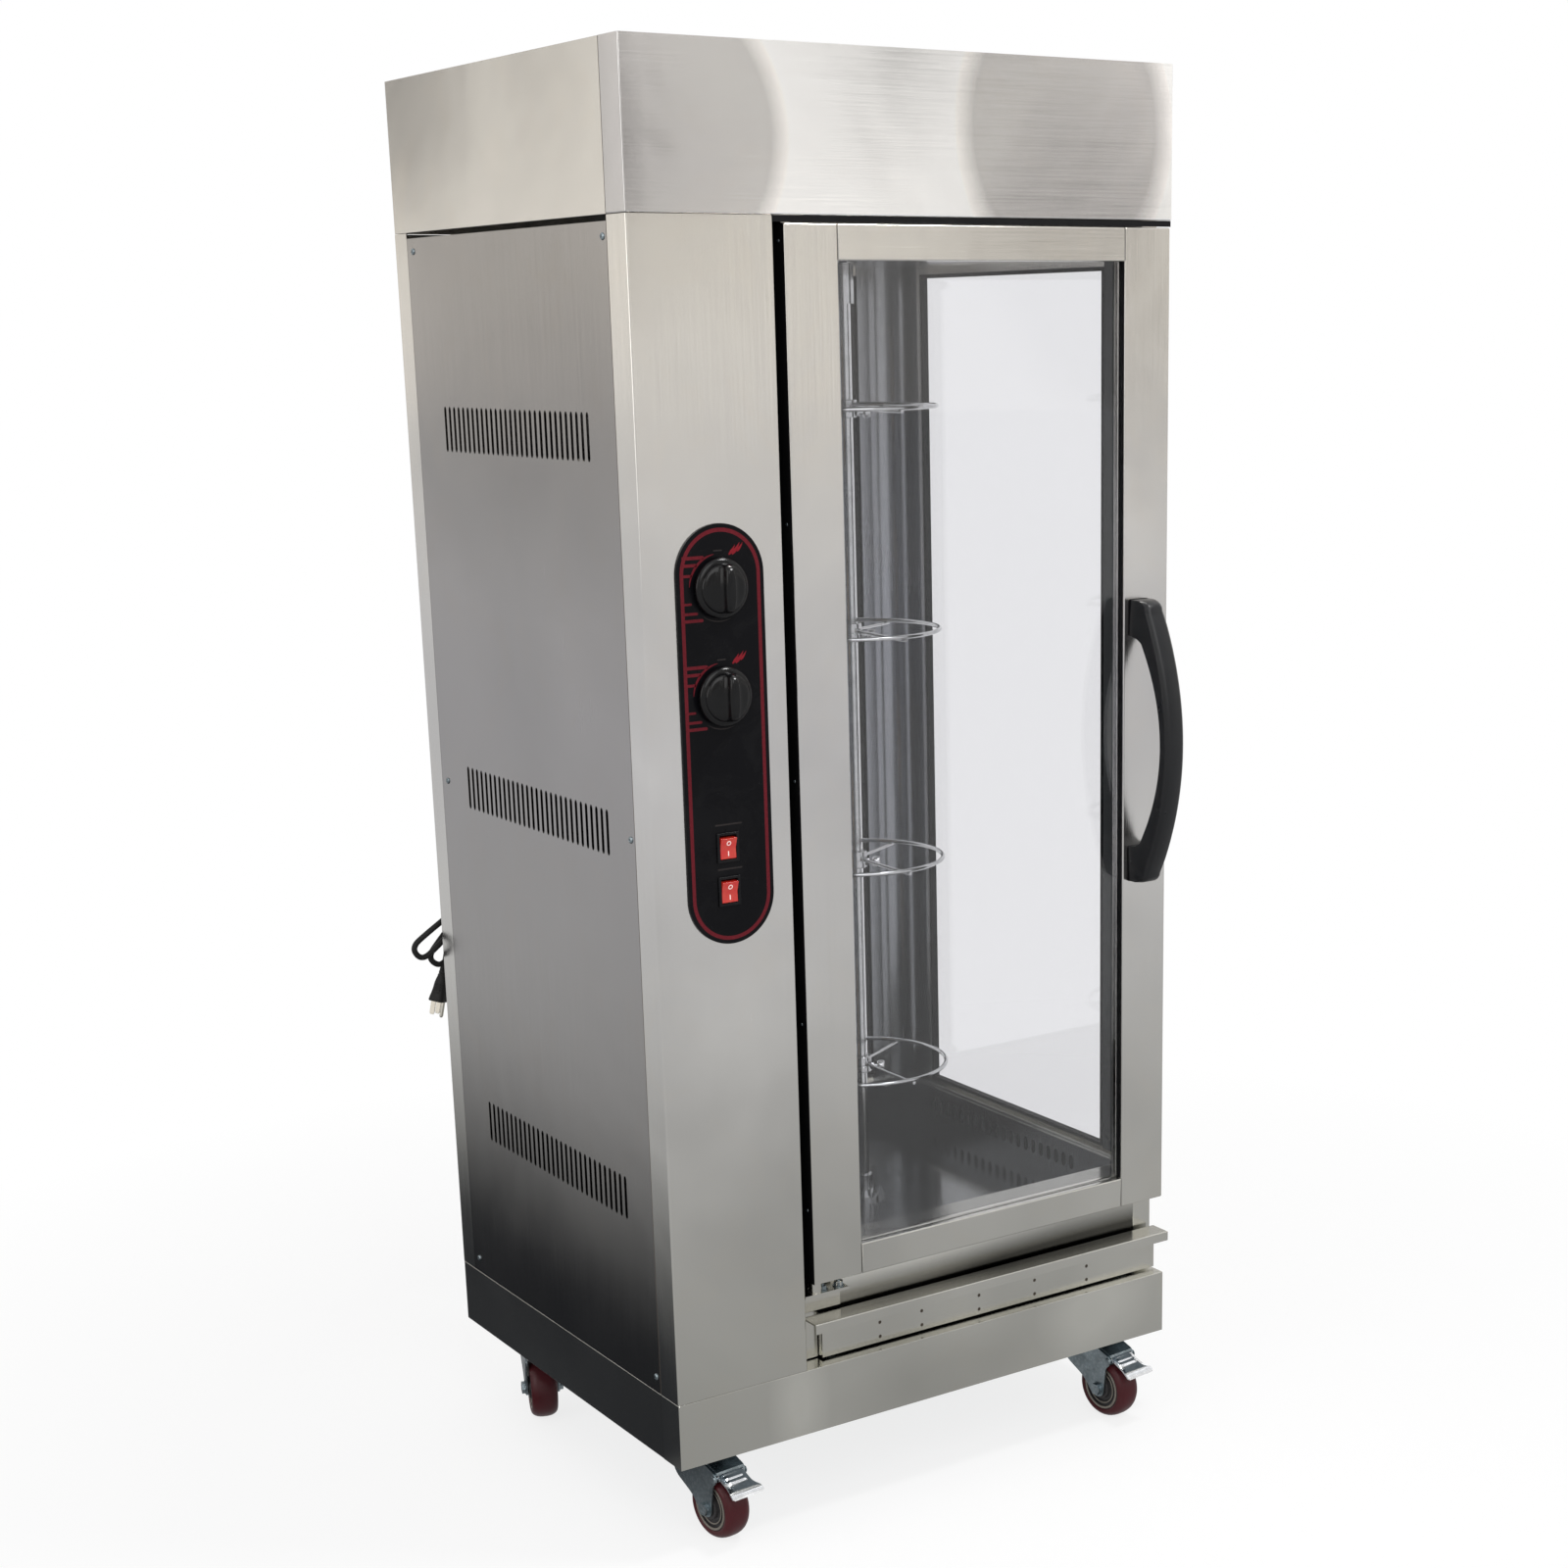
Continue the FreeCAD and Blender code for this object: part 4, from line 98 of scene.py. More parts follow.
class Recipe:
    """The node tree of one material or world, built a step at a time."""

    def __init__(self, owner, place="Object"):
        self.owner = owner
        owner.use_nodes = True
        self.tree = owner.node_tree
        self.tree.nodes.clear()
        self.place = self.step("ShaderNodeTexCoord").outputs[place]

    def step(self, kind, inputs=None, **settings):
        return node_in(self.tree, kind, inputs, **settings)

    def stretched(self, scale, move=(0, 0, 0)):
        """The coordinates with their own scale along each axis."""
        return self.step("ShaderNodeMapping", {
            "Vector": self.place, "Scale": scale, "Location": move}).outputs["Vector"]

    def noise(self, vector, scale, detail=3, rough=0.55, bend=0.0):
        return self.step("ShaderNodeTexNoise", {
            "Vector": vector, "Scale": scale, "Detail": detail, "Roughness": rough,
            "Distortion": bend}).outputs["Fac"]

    def cells(self, scale):
        """Distance to the nearest of many scattered points."""
        return self.step("ShaderNodeTexVoronoi", {
            "Vector": self.place, "Scale": scale}).outputs["Distance"]

    def graded(self, value, low, high, start=0.0, end=1.0):
        """A value taken from one range to another and held inside it."""
        return self.step("ShaderNodeMapRange", {
            "Value": value, "From Min": low, "From Max": high, "To Min": start, "To Max": end,
        }).outputs["Result"]

    def maths(self, operation, first, second):
        return self.step("ShaderNodeMath", {0: first, 1: second}, operation=operation).outputs[0]

    def scaled(self, vector, factor):
        return self.step("ShaderNodeVectorMath", {0: vector, "Scale": factor},
                         operation="SCALE").outputs["Vector"]

    def length(self, vector):
        return self.step("ShaderNodeVectorMath", {0: vector}, operation="LENGTH").outputs["Value"]

    def mixed(self, share, first, second):
        return self.step("ShaderNodeMix", {0: share, 6: first, 7: second},
                         data_type="RGBA").outputs[2]

    def blend(self, share, first, second):
        """The first shader where share is zero, the second where it is one."""
        return self.step("ShaderNodeMixShader", {0: share, 1: first, 2: second}).outputs[0]

    def pool(self, centre, reach, soft):
        """One inside a soft-edged ellipsoid, zero outside; centre and reach in cabinet mm."""
        scale = tuple(1000.0 / r for r in reach)
        move = tuple(-m * s for m, s in zip(spot(*centre), scale))
        return self.graded(self.length(self.stretched(scale, move)), 1 - soft, 1 + soft, 1.0, 0.0)

    def axis(self, letter):
        return self.step("ShaderNodeSeparateXYZ", {0: self.place}).outputs[letter]

    def bumps(self, height, strength, distance, under=None):
        """Normal bumped by a height, over another normal where one is given."""
        inputs = {"Height": height, "Strength": strength, "Distance": distance}
        if under is not None:
            inputs["Normal"] = under
        return self.step("ShaderNodeBump", inputs).outputs["Normal"]

    def principled(self, **sockets):
        """Principled shader; an underscore stands for the space in a socket's name."""
        return self.step("ShaderNodeBsdfPrincipled", {
            key.replace("_", " "): value for key, value in sockets.items()}).outputs[0]

    def surface(self, **sockets):
        """The material, with a principled shader as its surface."""
        return self.finish(self.principled(**sockets))

    def finish(self, shader):
        """The material or world, with this shader as its surface."""
        world = isinstance(self.owner, bpy.types.World)
        self.step("ShaderNodeOutputWorld" if world else "ShaderNodeOutputMaterial",
                  {"Surface": shader})
        return self.owner


def material_recipe(name):
    return Recipe(bpy.data.materials.new(name))


def toned(colour, factor):
    """The colour made darker or lighter."""
    return tuple(c * factor for c in colour)


def brushed_steel(name, along, colour, brush, rough=0.17, cloud=0.16, wave=0.16, pools=()):
    """Sheet steel with fine brush lines along one axis, cloudy handling marks with painted
    reflection in them, painted light and shade by height, and soft pools of painted light and shade.

    A pool is (centre, reach, soft, factor): the colour inside it is multiplied by factor."""
    recipe = material_recipe(name)
    line_scale, across_scale, streak_scale = 6.0, 520.0, 1.4
    lines = tuple(line_scale if axis == along else across_scale for axis in "XYZ")
    wide = tuple(streak_scale if axis == along else across_scale * 0.16 for axis in "XYZ")
    fine = recipe.noise(recipe.stretched(lines), 1.0, 4, 0.7)
    streaks = recipe.noise(recipe.stretched(wide), 1.0, 3, 0.5)
    clouds = recipe.noise(recipe.place, 3.2, 3, 0.5, 0.4)
    smears = recipe.noise(recipe.stretched((1, 1, 1), (3, 1, 2)), 11.0, 5, 0.62, 1.1)
    specks = recipe.cells(70.0)
    dark = toned(colour, 1 - cloud)
    light = tuple(min(1.0, c) for c in toned(colour, 1 + cloud * 0.55))
    warm = (colour[0], colour[1] * 0.955, colour[2] * 0.89)
    # The clouds are handling marks and also a painted mottled reflection.
    base = recipe.mixed(recipe.graded(clouds, 0.3, 0.7), dark, light)
    base = recipe.mixed(recipe.graded(smears, 0.5, 0.8, 0, 0.3), base, warm)
    base = recipe.mixed(recipe.graded(streaks, 0.6, 0.85, 0, 0.12), base, dark)
    base = recipe.mixed(recipe.graded(specks, 0.02, 0.06, 0.35, 0), base, dark)
    # Painted light and shade by height: the colour is darker and greener low down and lighter and
    # warmer high up.
    height = recipe.axis("Z")
    room = recipe.mixed(recipe.graded(height, 0.2, 0.85), (0.93, 0.94, 0.91), (1.08, 1.08, 1.12))
    room = recipe.mixed(recipe.graded(height, 0.9, 1.35), room, (1.1, 1.08, 1.05))
    base = recipe.step("ShaderNodeVectorMath", {0: base, 1: room},
                       operation="MULTIPLY").outputs["Vector"]
    # Painted light and shade: each pool makes the colour inside it lighter or darker.
    for centre, reach, soft, factor in pools:
        base = recipe.mixed(recipe.pool(centre, reach, soft), base, recipe.scaled(base, factor))
    roughness = recipe.maths("ADD", recipe.graded(clouds, 0.3, 0.7, rough - 0.05, rough + 0.07),
                             recipe.graded(fine, 0.3, 0.7, -0.03, 0.05))
    normal = recipe.bumps(clouds, wave, 0.012, recipe.bumps(fine, brush, 0.0004))
    return recipe.surface(Base_Color=base, Metallic=1.0, Roughness=roughness, Normal=normal)


def zinc_plate(name, colour):
    """Bright zinc on pressed steel, blue-white with faint spangles and dull patches."""
    recipe = material_recipe(name)
    grains = recipe.cells(240.0)
    patches = recipe.noise(recipe.place, 45.0, 4, 0.6, 0.6)
    base = recipe.mixed(recipe.graded(patches, 0.4, 0.68), colour, toned(colour, 0.62))
    base = recipe.mixed(recipe.graded(grains, 0.1, 0.6, 0.14, 0), base, (0.85, 0.9, 0.95))
    return recipe.surface(
        Base_Color=base, Metallic=1.0, Roughness=recipe.graded(patches, 0.3, 0.7, 0.22, 0.42),
        Normal=recipe.bumps(patches, 0.1, 0.001))


def bright_chrome(name, colour):
    """Polished plating with a trace of grease that softens the shine here and there."""
    recipe = material_recipe(name)
    film = recipe.noise(recipe.place, 60.0, 4, 0.6, 0.5)
    return recipe.surface(
        Base_Color=recipe.mixed(recipe.graded(film, 0.45, 0.75), colour, toned(colour, 0.8)),
        Metallic=1.0, Roughness=recipe.graded(film, 0.35, 0.75, 0.07, 0.2),
        Normal=recipe.bumps(film, 0.03, 0.0005))


def clear_glass(name, tint, smear):
    """Clear pane with a faint smear; light from the lamps passes straight through it."""
    recipe = material_recipe(name)
    wipe = recipe.noise(recipe.stretched((9, 9, 2.5)), 1.0, 4, 0.6, 0.8)
    glass = recipe.principled(
        Base_Color=tint, Roughness=recipe.graded(wipe, 0.62, 0.85, 0.0, smear), IOR=1.45,
        Specular_IOR_Level=0.12, Transmission_Weight=1.0, Normal=recipe.bumps(wipe, 0.002, 0.001))
    through = recipe.step("ShaderNodeBsdfTransparent", {"Color": (0.93, 0.95, 0.95)}).outputs[0]
    lamps = recipe.step("ShaderNodeLightPath").outputs["Is Shadow Ray"]
    return recipe.finish(recipe.blend(lamps, glass, through))


def moulded(name, colour, rough, grain, shine=0.2, grain_size=900.0):
    """Moulded plastic or rubber with its own grain and a little dust in it."""
    recipe = material_recipe(name)
    dust = recipe.noise(recipe.place, 26.0, 5, 0.65, 0.7)
    greyed = tuple(c * 0.9 + 0.006 for c in colour)
    return recipe.surface(
        Base_Color=recipe.mixed(recipe.graded(dust, 0.48, 0.78, 0, 0.55), colour, greyed),
        Roughness=recipe.graded(dust, 0.3, 0.75, rough - 0.04, rough + 0.09),
        Specular_IOR_Level=shine, Normal=recipe.bumps(recipe.cells(grain_size), grain, 0.0003))


def lit_lens(name, colour, glow):
    """Red lens that glows evenly from the lamp behind it, with a faint moulded ripple."""
    recipe = material_recipe(name)
    ripple = recipe.noise(recipe.stretched((700, 700, 700)), 1.0, 2, 0.5)
    spread = recipe.noise(recipe.place, 130.0, 2, 0.5)
    red, green, blue = colour
    base = recipe.mixed(recipe.graded(spread, 0.35, 0.65), colour, (red, green + 0.02, blue + 0.008))
    return recipe.surface(
        Base_Color=base, Roughness=0.22, Emission_Color=base, Emission_Strength=glow,
        Coat_Weight=0.6, Coat_Roughness=0.05, Normal=recipe.bumps(ripple, 0.1, 0.0003))


def printed(name, colour, wear):
    """Screen-printed ink, a little uneven where the film shows through."""
    recipe = material_recipe(name)
    mottle = recipe.noise(recipe.place, 400.0, 3, 0.6)
    return recipe.surface(
        Base_Color=recipe.mixed(recipe.graded(mottle, 0.45, 0.8, 0, wear), colour,
                                toned(colour, 0.35)),
        Roughness=recipe.graded(mottle, 0.3, 0.7, 0.3, 0.42), Specular_IOR_Level=0.1,
        Normal=recipe.bumps(mottle, 0.03, 0.0002))


def metal_cast(name, colour, rough, metallic, grain):
    """Cast, machined or painted metal with a fine surface grain."""
    recipe = material_recipe(name)
    turning = recipe.noise(recipe.stretched((300, 300, 300)), 1.0, 4, 0.6)
    stain = recipe.noise(recipe.place, 30.0, 4, 0.6, 0.6)
    return recipe.surface(
        Base_Color=recipe.mixed(recipe.graded(stain, 0.42, 0.75, 0, 0.6), colour,
                                toned(colour, 0.6)),
        Metallic=metallic, Roughness=recipe.graded(stain, 0.3, 0.7, rough - 0.05, rough + 0.1),
        Normal=recipe.bumps(turning, grain, 0.0003))


# Placements


HERE = Matrix()
SIDEWAYS = Matrix(((0, 0, 1, 0), (1, 0, 0, 0), (0, 1, 0, 0), (0, 0, 0, 1)))


def turn_about(axis, degrees):
    return Matrix.Rotation(math.radians(degrees), 4, axis)


def scaled(place):
    """The same placement for shapes drawn in millimetres."""
    return place @ Matrix.Scale(MM, 4)


def spot_place(x=0, y=0, z=0):
    """Placement at a cabinet point, for shapes drawn in millimetres."""
    return scaled(Matrix.Translation(spot(x, y, z)))


def facing(direction, at):
    """Placement whose third axis points along direction, for shapes drawn in millimetres."""
    turn = Vector(direction).normalized().to_track_quat("Z", "Y").to_matrix().to_4x4()
    return scaled(Matrix.Translation(at) @ turn)


# Shapes


def circle(radius, steps):
    """Points round the origin, the first on the first axis."""
    return [(radius * math.cos(2 * math.pi * i / steps), radius * math.sin(2 * math.pi * i / steps))
            for i in range(steps)]


def rounded_outline(width, height, radius, steps):
    """Rounded rectangle about the origin, counter-clockwise."""
    points = []
    for sx, sy, first in ((1, -1, -90), (1, 1, 0), (-1, 1, 90), (-1, -1, 180)):
        for i in range(steps + 1):
            angle = math.radians(first + 90 * i / steps)
            points.append((sx * (width / 2 - radius) + radius * math.cos(angle),
                           sy * (height / 2 - radius) + radius * math.sin(angle)))
    return points


def rounded_path(points, radius, steps=4):
    """A closed outline with each corner rounded, as far as its sides leave room."""
    path = []
    for i, point in enumerate(points):
        here = Vector(point)
        before = Vector(points[i - 1]) - here
        after = Vector(points[(i + 1) % len(points)]) - here
        reach = min(radius, before.length * 0.45, after.length * 0.45)
        start = here + before.normalized() * reach
        end = here + after.normalized() * reach
        for k in range(steps + 1):
            t = k / steps
            path.append(tuple(start * (1 - t) ** 2 + here * (2 * t * (1 - t)) + end * t * t))
    return path


def smooth_path(points, steps):
    """Points along a smooth curve that passes through every given point."""
    points = [Vector(p) for p in points]
    points = [2 * points[0] - points[1]] + points + [2 * points[-1] - points[-2]]
    path = []
    for before, start, end, after in zip(points, points[1:], points[2:], points[3:]):
        for k in range(steps):
            t = k / steps
            path.append(0.5 * (2 * start + (end - before) * t
                               + (2 * before - 5 * start + 4 * end - after) * t * t
                               + (3 * start - before - 3 * end + after) * t ** 3))
    return path + [points[-2]]


def mirrored(half):
    """A profile of (radius, height) pairs with its mirror image below."""
    return half + [(radius, -height) for radius, height in reversed(half)]


def joined(bm, rings, closed=False):
    """Faces between each ring of vertices and the next; a ring of one vertex is a point."""
    steps = max(len(ring) for ring in rings)
    pairs = list(zip(rings, rings[1:]))
    if closed:
        pairs.append((rings[-1], rings[0]))
    for lower, upper in pairs:
        for i in range(steps):
            j = (i + 1) % steps
            corners = []
            for ring, order in ((lower, (i, j)), (upper, (j, i))):
                corners += ring if len(ring) == 1 else [ring[k] for k in order]
            bm.faces.new(corners)


def skin(bm, sections, closed=False):
    """A skin over rings of points, capped at both ends or closed on itself."""
    rings = [[bm.verts.new(point) for point in section] for section in sections]
    joined(bm, rings, closed)
    if not closed:
        bm.faces.new(list(reversed(rings[0])))
        bm.faces.new(rings[-1])


def prism(bm, outline, low, high, place=HERE):
    """An outline in the first two axes, raised from low to high along the third."""
    skin(bm, [[place @ Vector((x, y, level)) for x, y in outline] for level in (low, high)])


def block(bm, low, high, place=HERE, corner=0.0):
    """A box; a corner radius above zero rounds its edges along the third axis."""
    (x0, y0, z0), (x1, y1, z1) = low, high
    outline = [(x0, y0), (x1, y0), (x1, y1), (x0, y1)]
    if corner > 0:
        x, y = (x0 + x1) / 2, (y0 + y1) / 2
        outline = [(x + u, y + v) for u, v in rounded_outline(x1 - x0, y1 - y0, corner, 4)]
    prism(bm, outline, z0, z1, place)


def hexagon(bm, size, low, high, place=HERE):
    """Hexagonal head; size is its width across the flats."""
    prism(bm, circle(size / math.sqrt(3), 6), low, high, place)


def turned(bm, profile, steps, place=HERE, closed=False):
    """A turned shape from (radius, height) pairs; a closed profile makes a ring."""
    rings = []
    for radius, height in profile:
        points = circle(radius, steps) if radius else [(0, 0)]
        rings.append([bm.verts.new(place @ Vector((x, y, height))) for x, y in points])
    joined(bm, rings, closed)


def disc(bm, radius, low, high, steps, place=HERE):
    """A plain turned disc, such as a washer, a pin or the end of a thread."""
    turned(bm, [(0, low), (radius, low), (radius, high), (0, high)], steps, place)


def wire(bm, points, radius, steps=10, closed=False):
    """A round wire along points, with its frame carried from one point to the next."""
    count = len(points)
    sections = []
    normal = None
    for i, point in enumerate(points):
        before = points[i - 1] if closed or i else point
        after = points[(i + 1) % count] if closed or i < count - 1 else point
        way = (after - before).normalized()
        if normal is None:
            normal = way.orthogonal().normalized()
        normal = (normal - way * normal.dot(way)).normalized()
        side = way.cross(normal)
        sections.append([point + normal * x + side * y for x, y in circle(radius, steps)])
    skin(bm, sections, closed)


# Pieces


def meshed(name, bm, angle=35):
    """The bmesh as a smooth mesh whose edges past this angle in degrees stay sharp."""
    bmesh.ops.recalc_face_normals(bm, faces=bm.faces)
    mesh = bpy.data.meshes.new(name)
    bm.to_mesh(mesh)
    bm.free()
    mesh.shade_smooth()
    mesh.set_sharp_from_angle(angle=math.radians(angle))
    return mesh


def added(name, data):
    """A new object in the scene."""
    thing = bpy.data.objects.new(name, data)
    bpy.context.scene.collection.objects.link(thing)
    return thing


def riding(piece, body, replaced):
    """The piece on its body and the CAD nodes it stands for."""
    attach(piece, body)
    if replaced:
        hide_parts(*replaced)
    return piece


def finished(name, bm, body, material, bevel=0.0, angle=35, replaced=(), segments=2):
    """Turn a bmesh into a piece that rides on its body."""
    mesh = meshed(name, bm, angle)
    mesh.materials.append(material)
    piece = added(name, mesh)
    if bevel > 0:
        rounding = piece.modifiers.new("Edges", "BEVEL")
        rounding.width = bevel
        rounding.segments = segments
        rounding.limit_method = "ANGLE"
        rounding.angle_limit = math.radians(angle)
        rounding.harden_normals = True
    return riding(piece, body, replaced)


def blocks(name, boxes, body, material, bevel=0.0):
    """A piece made of boxes; each is its low and high corner in cabinet millimetres."""
    bm = bmesh.new()
    for low, high in boxes:
        block(bm, low, high, spot_place())
    return finished(name, bm, body, material, bevel)


def paint(material, *nodes):
    """Give carried-over CAD nodes their finish."""
    for name in nodes:
        node = NODES[name]
        for i in range(len(node.data.materials)):
            node.data.materials[i] = material


def softened(node, body, material, fold=1.6, inside=0.6, shortest=12.0):
    """A copy of a folded sheet or solid panel with its folds rounded as a press leaves them."""
    bm = bmesh.new()
    bm.from_mesh(NODES[node].data)
    bmesh.ops.remove_doubles(bm, verts=bm.verts, dist=2e-6)
    bmesh.ops.dissolve_limit(bm, angle_limit=math.radians(0.5), verts=bm.verts, edges=bm.edges)
    slight = shortest * MM / 4
    least_fold = math.radians(40)

    def thin(face):
        longest = max(edge.calc_length() for edge in face.edges)
        return face.calc_area() / longest < slight

    outer, inner = [], []
    for edge in bm.edges:
        if len(edge.link_faces) != 2 or edge.calc_length() < shortest * MM:
            continue
        if edge.calc_face_angle(0.0) < least_fold or any(thin(face) for face in edge.link_faces):
            continue
        (outer if edge.is_convex else inner).append(edge)
    for folds, radius, segments in ((outer, fold, 3), (inner, inside, 2)):
        folds = [edge for edge in folds if edge.is_valid]
        if folds:
            bmesh.ops.bevel(bm, geom=folds, offset=radius * MM, segments=segments, profile=0.5,
                            affect="EDGES", clamp_overlap=True)
    sheet = finished(node + "_sheet", bm, body, material, angle=40, replaced=(node,))
    flat = sheet.modifiers.new("Flat faces", "WEIGHTED_NORMAL")
    flat.weight = 100
    flat.keep_sharp = True
    return sheet


# Geometry Nodes for parts that repeat


def copies_tree(name):
    """Node tree that sets a copy of one object on every point, turned by a seeded amount."""
    tree = bpy.data.node_groups.new(name, "GeometryNodeTree")
    for label, kind in (("Geometry", "Geometry"), ("Copied Piece", "Object"),
                        ("Finish", "Material"), ("Size", "Float"), ("Random Turn", "Float"),
                        ("Seed", "Int")):
        tree.interface.new_socket(label, in_out="INPUT", socket_type="NodeSocket" + kind)
    tree.interface.new_socket("Geometry", in_out="OUTPUT", socket_type="NodeSocketGeometry")

    def step(kind, inputs=None, **settings):
        return node_in(tree, kind, inputs, **settings).outputs

    given = step("NodeGroupInput")
    source = step("GeometryNodeObjectInfo", {
        "Object": given["Copied Piece"], "As Instance": False})
    points = step("GeometryNodeMeshToPoints", {"Mesh": given["Geometry"]})
    heading = step("GeometryNodeInputNamedAttribute", {"Name": "heading"},
                   data_type="FLOAT_VECTOR")
    outwards = step("FunctionNodeAlignRotationToVector", {"Vector": heading["Attribute"]},
                    axis="Z")
    least = step("ShaderNodeMath", {0: given["Random Turn"], 1: -1.0}, operation="MULTIPLY")
    turn = step("FunctionNodeRandomValue", {
        2: least[0], 3: given["Random Turn"], "Seed": given["Seed"]}, data_type="FLOAT")
    spin = step("ShaderNodeCombineXYZ", {"Z": turn[1]})
    angles = step("FunctionNodeEulerToRotation", {0: spin[0]})
    local = step("FunctionNodeRotateRotation", {
        "Rotation": outwards["Rotation"], "Rotate By": angles[0]}, rotation_space="LOCAL")
    placed = step("GeometryNodeInstanceOnPoints", {
        "Points": points["Points"], "Instance": source["Geometry"],
        "Rotation": local["Rotation"], "Scale": given["Size"]})
    real = step("GeometryNodeRealizeInstances", {"Geometry": placed["Instances"]})
    coat = step("GeometryNodeSetMaterial", {
        "Geometry": real["Geometry"], "Material": given["Finish"]})
    step("NodeGroupOutput", {"Geometry": coat["Geometry"]})
    return tree


def set_copies(name, places, copied, body, material, size=1.0, turn=0.0, seed=1,
               replaced=()):
    """One mesh of copies; places lists (point, direction) and copied is a mesh."""
    tree = bpy.data.node_groups.get("SetCopies") or copies_tree("SetCopies")
    mesh = bpy.data.meshes.new(name + "_points")
    mesh.from_pydata([tuple(point) for point, way in places], [], [])
    heading = mesh.attributes.new("heading", "FLOAT_VECTOR", "POINT")
    for i, (point, way) in enumerate(places):
        heading.data[i].vector = way
    carrier = added(name + "_points", mesh)
    model = added(name + "_model", copied)
    modifier = carrier.modifiers.new("Copies", "NODES")
    modifier.node_group = tree
    values = {"Copied Piece": model, "Finish": material, "Size": size, "Random Turn": turn,
              "Seed": seed}
    for item in tree.interface.items_tree:
        if item.in_out == "INPUT" and item.name in values:
            modifier[item.identifier] = values[item.name]
    carrier.update_tag()
    bpy.context.view_layer.update()
    depsgraph = bpy.context.evaluated_depsgraph_get()
    result = bpy.data.meshes.new_from_object(carrier.evaluated_get(depsgraph))
    if not result.polygons:
        raise RuntimeError(f"{name}: the copies tree gave no faces")
    result.materials.clear()
    result.materials.append(material)
    piece = added(name, result)
    for helper in (carrier, model):
        bpy.data.objects.remove(helper)
    return riding(piece, body, replaced)


def small_part(name, build):
    """A mesh for set_copies, built about the origin with its third axis outwards."""
    bm = bmesh.new()
    build(bm)
    return meshed(name, bm)


# Settings that a user would change


def colour_setting(name, description, default):
    return FloatVectorProperty(name=name, description=description, subtype="COLOR", size=3,
                               min=0.0, max=1.0, default=default)


def power_setting(name, description, default):
    return FloatProperty(name=name, description=description, default=default, min=0.0,
                         unit="POWER")


class StageSettings(bpy.types.PropertyGroup):
    """Floor, world and lamps."""

    floor_colour: colour_setting("Floor colour", "Colour of the studio floor", (0.9, 0.9, 0.9))
    floor_white: FloatProperty(
        name="Floor white", description="How far the floor near the cabinet fades to white",
        default=0.8, min=0.0, max=1.0, subtype="FACTOR")
    key_power: power_setting("Key lamp", "Power of the large lamp in front", 44.0)
    fill_power: power_setting("Fill lamp", "Power of the lamp on the left", 20.0)
    glint_power: power_setting(
        "Glint lamp", "Power of the small lamp that glints on knobs and wires", 15.0)
    hall_scale: FloatProperty(
        name="Hall pattern", description="Scale of the light and dark shapes that the steel mirrors",
        default=9.0, min=0.1)
    hall_shift: FloatVectorProperty(
        name="Hall shift", description="Moves the shapes that the steel mirrors", size=3,
        default=(0.0, 0.0, 0.0))
    world_strength: FloatProperty(
        name="Sky level", description="Light that comes from all around", default=0.72, min=0.0)


class SteelSettings(bpy.types.PropertyGroup):
    """Sheet steel of the cabinet, the door and the drawer."""

    colour: colour_setting("Steel colour", "Colour of the brushed steel", (0.64, 0.628, 0.602))
    inner_colour: colour_setting(
        "Chamber colour", "Colour of the steel inside the chamber", (0.25, 0.258, 0.272))
    brush: FloatProperty(
        name="Brush lines", description="Strength of the brush lines", default=0.1, min=0.0,
        max=1.0, subtype="FACTOR")
    fold_radius: FloatProperty(
        name="Fold radius", description="Outer radius of the folds in the sheet, in mm",
        default=1.8, min=0.2, max=4.0)


class ControlSettings(bpy.types.PropertyGroup):
    """Control plate with its print, knobs and switches."""

    line_colour: colour_setting(
        "Print colour", "Colour of the border and the heat lines", (0.115, 0.01, 0.016))
    mark_colour: colour_setting("Flame colour", "Colour of the flame marks", (0.2, 0.011, 0.018))
    glow: FloatProperty(
        name="Switch glow", description="How bright the lit switches are", default=0.1, min=0.0)
    border_inset: FloatProperty(
        name="Border inset", description="Distance from the plate edge to the border line",
        default=0.0042, min=0.0, unit="LENGTH")


class CordSettings(bpy.types.PropertyGroup):
    """Mains lead and its plug."""

    diameter: FloatProperty(
        name="Lead diameter", description="Diameter of the mains lead", default=0.007,
        min=0.003, max=0.02, unit="LENGTH")
    rubber_colour: colour_setting(
        "Rubber colour", "Colour of the lead and its plug", colour_of("cord_rubber"))


class CasterSettings(bpy.types.PropertyGroup):
    """Wheels, forks and brake pedals."""

    tread_colour: colour_setting("Tread colour", "Colour of the wheel treads", (0.06, 0.009, 0.012))
    core_colour: colour_setting("Core colour", "Colour of the wheel cores", (0.035, 0.033, 0.034))
    plating_colour: colour_setting("Plating colour", "Colour of the zinc plating", (0.26, 0.31, 0.335))
    ribs: IntProperty(
        name="Pedal ribs", description="Ribs pressed across each brake pedal", default=5, min=1,
        max=9)


# Steps of the build, one operator for each group of pieces


class RotisserieOperator:
    """What every step of the build shares."""

    bl_options = {"REGISTER", "UNDO"}


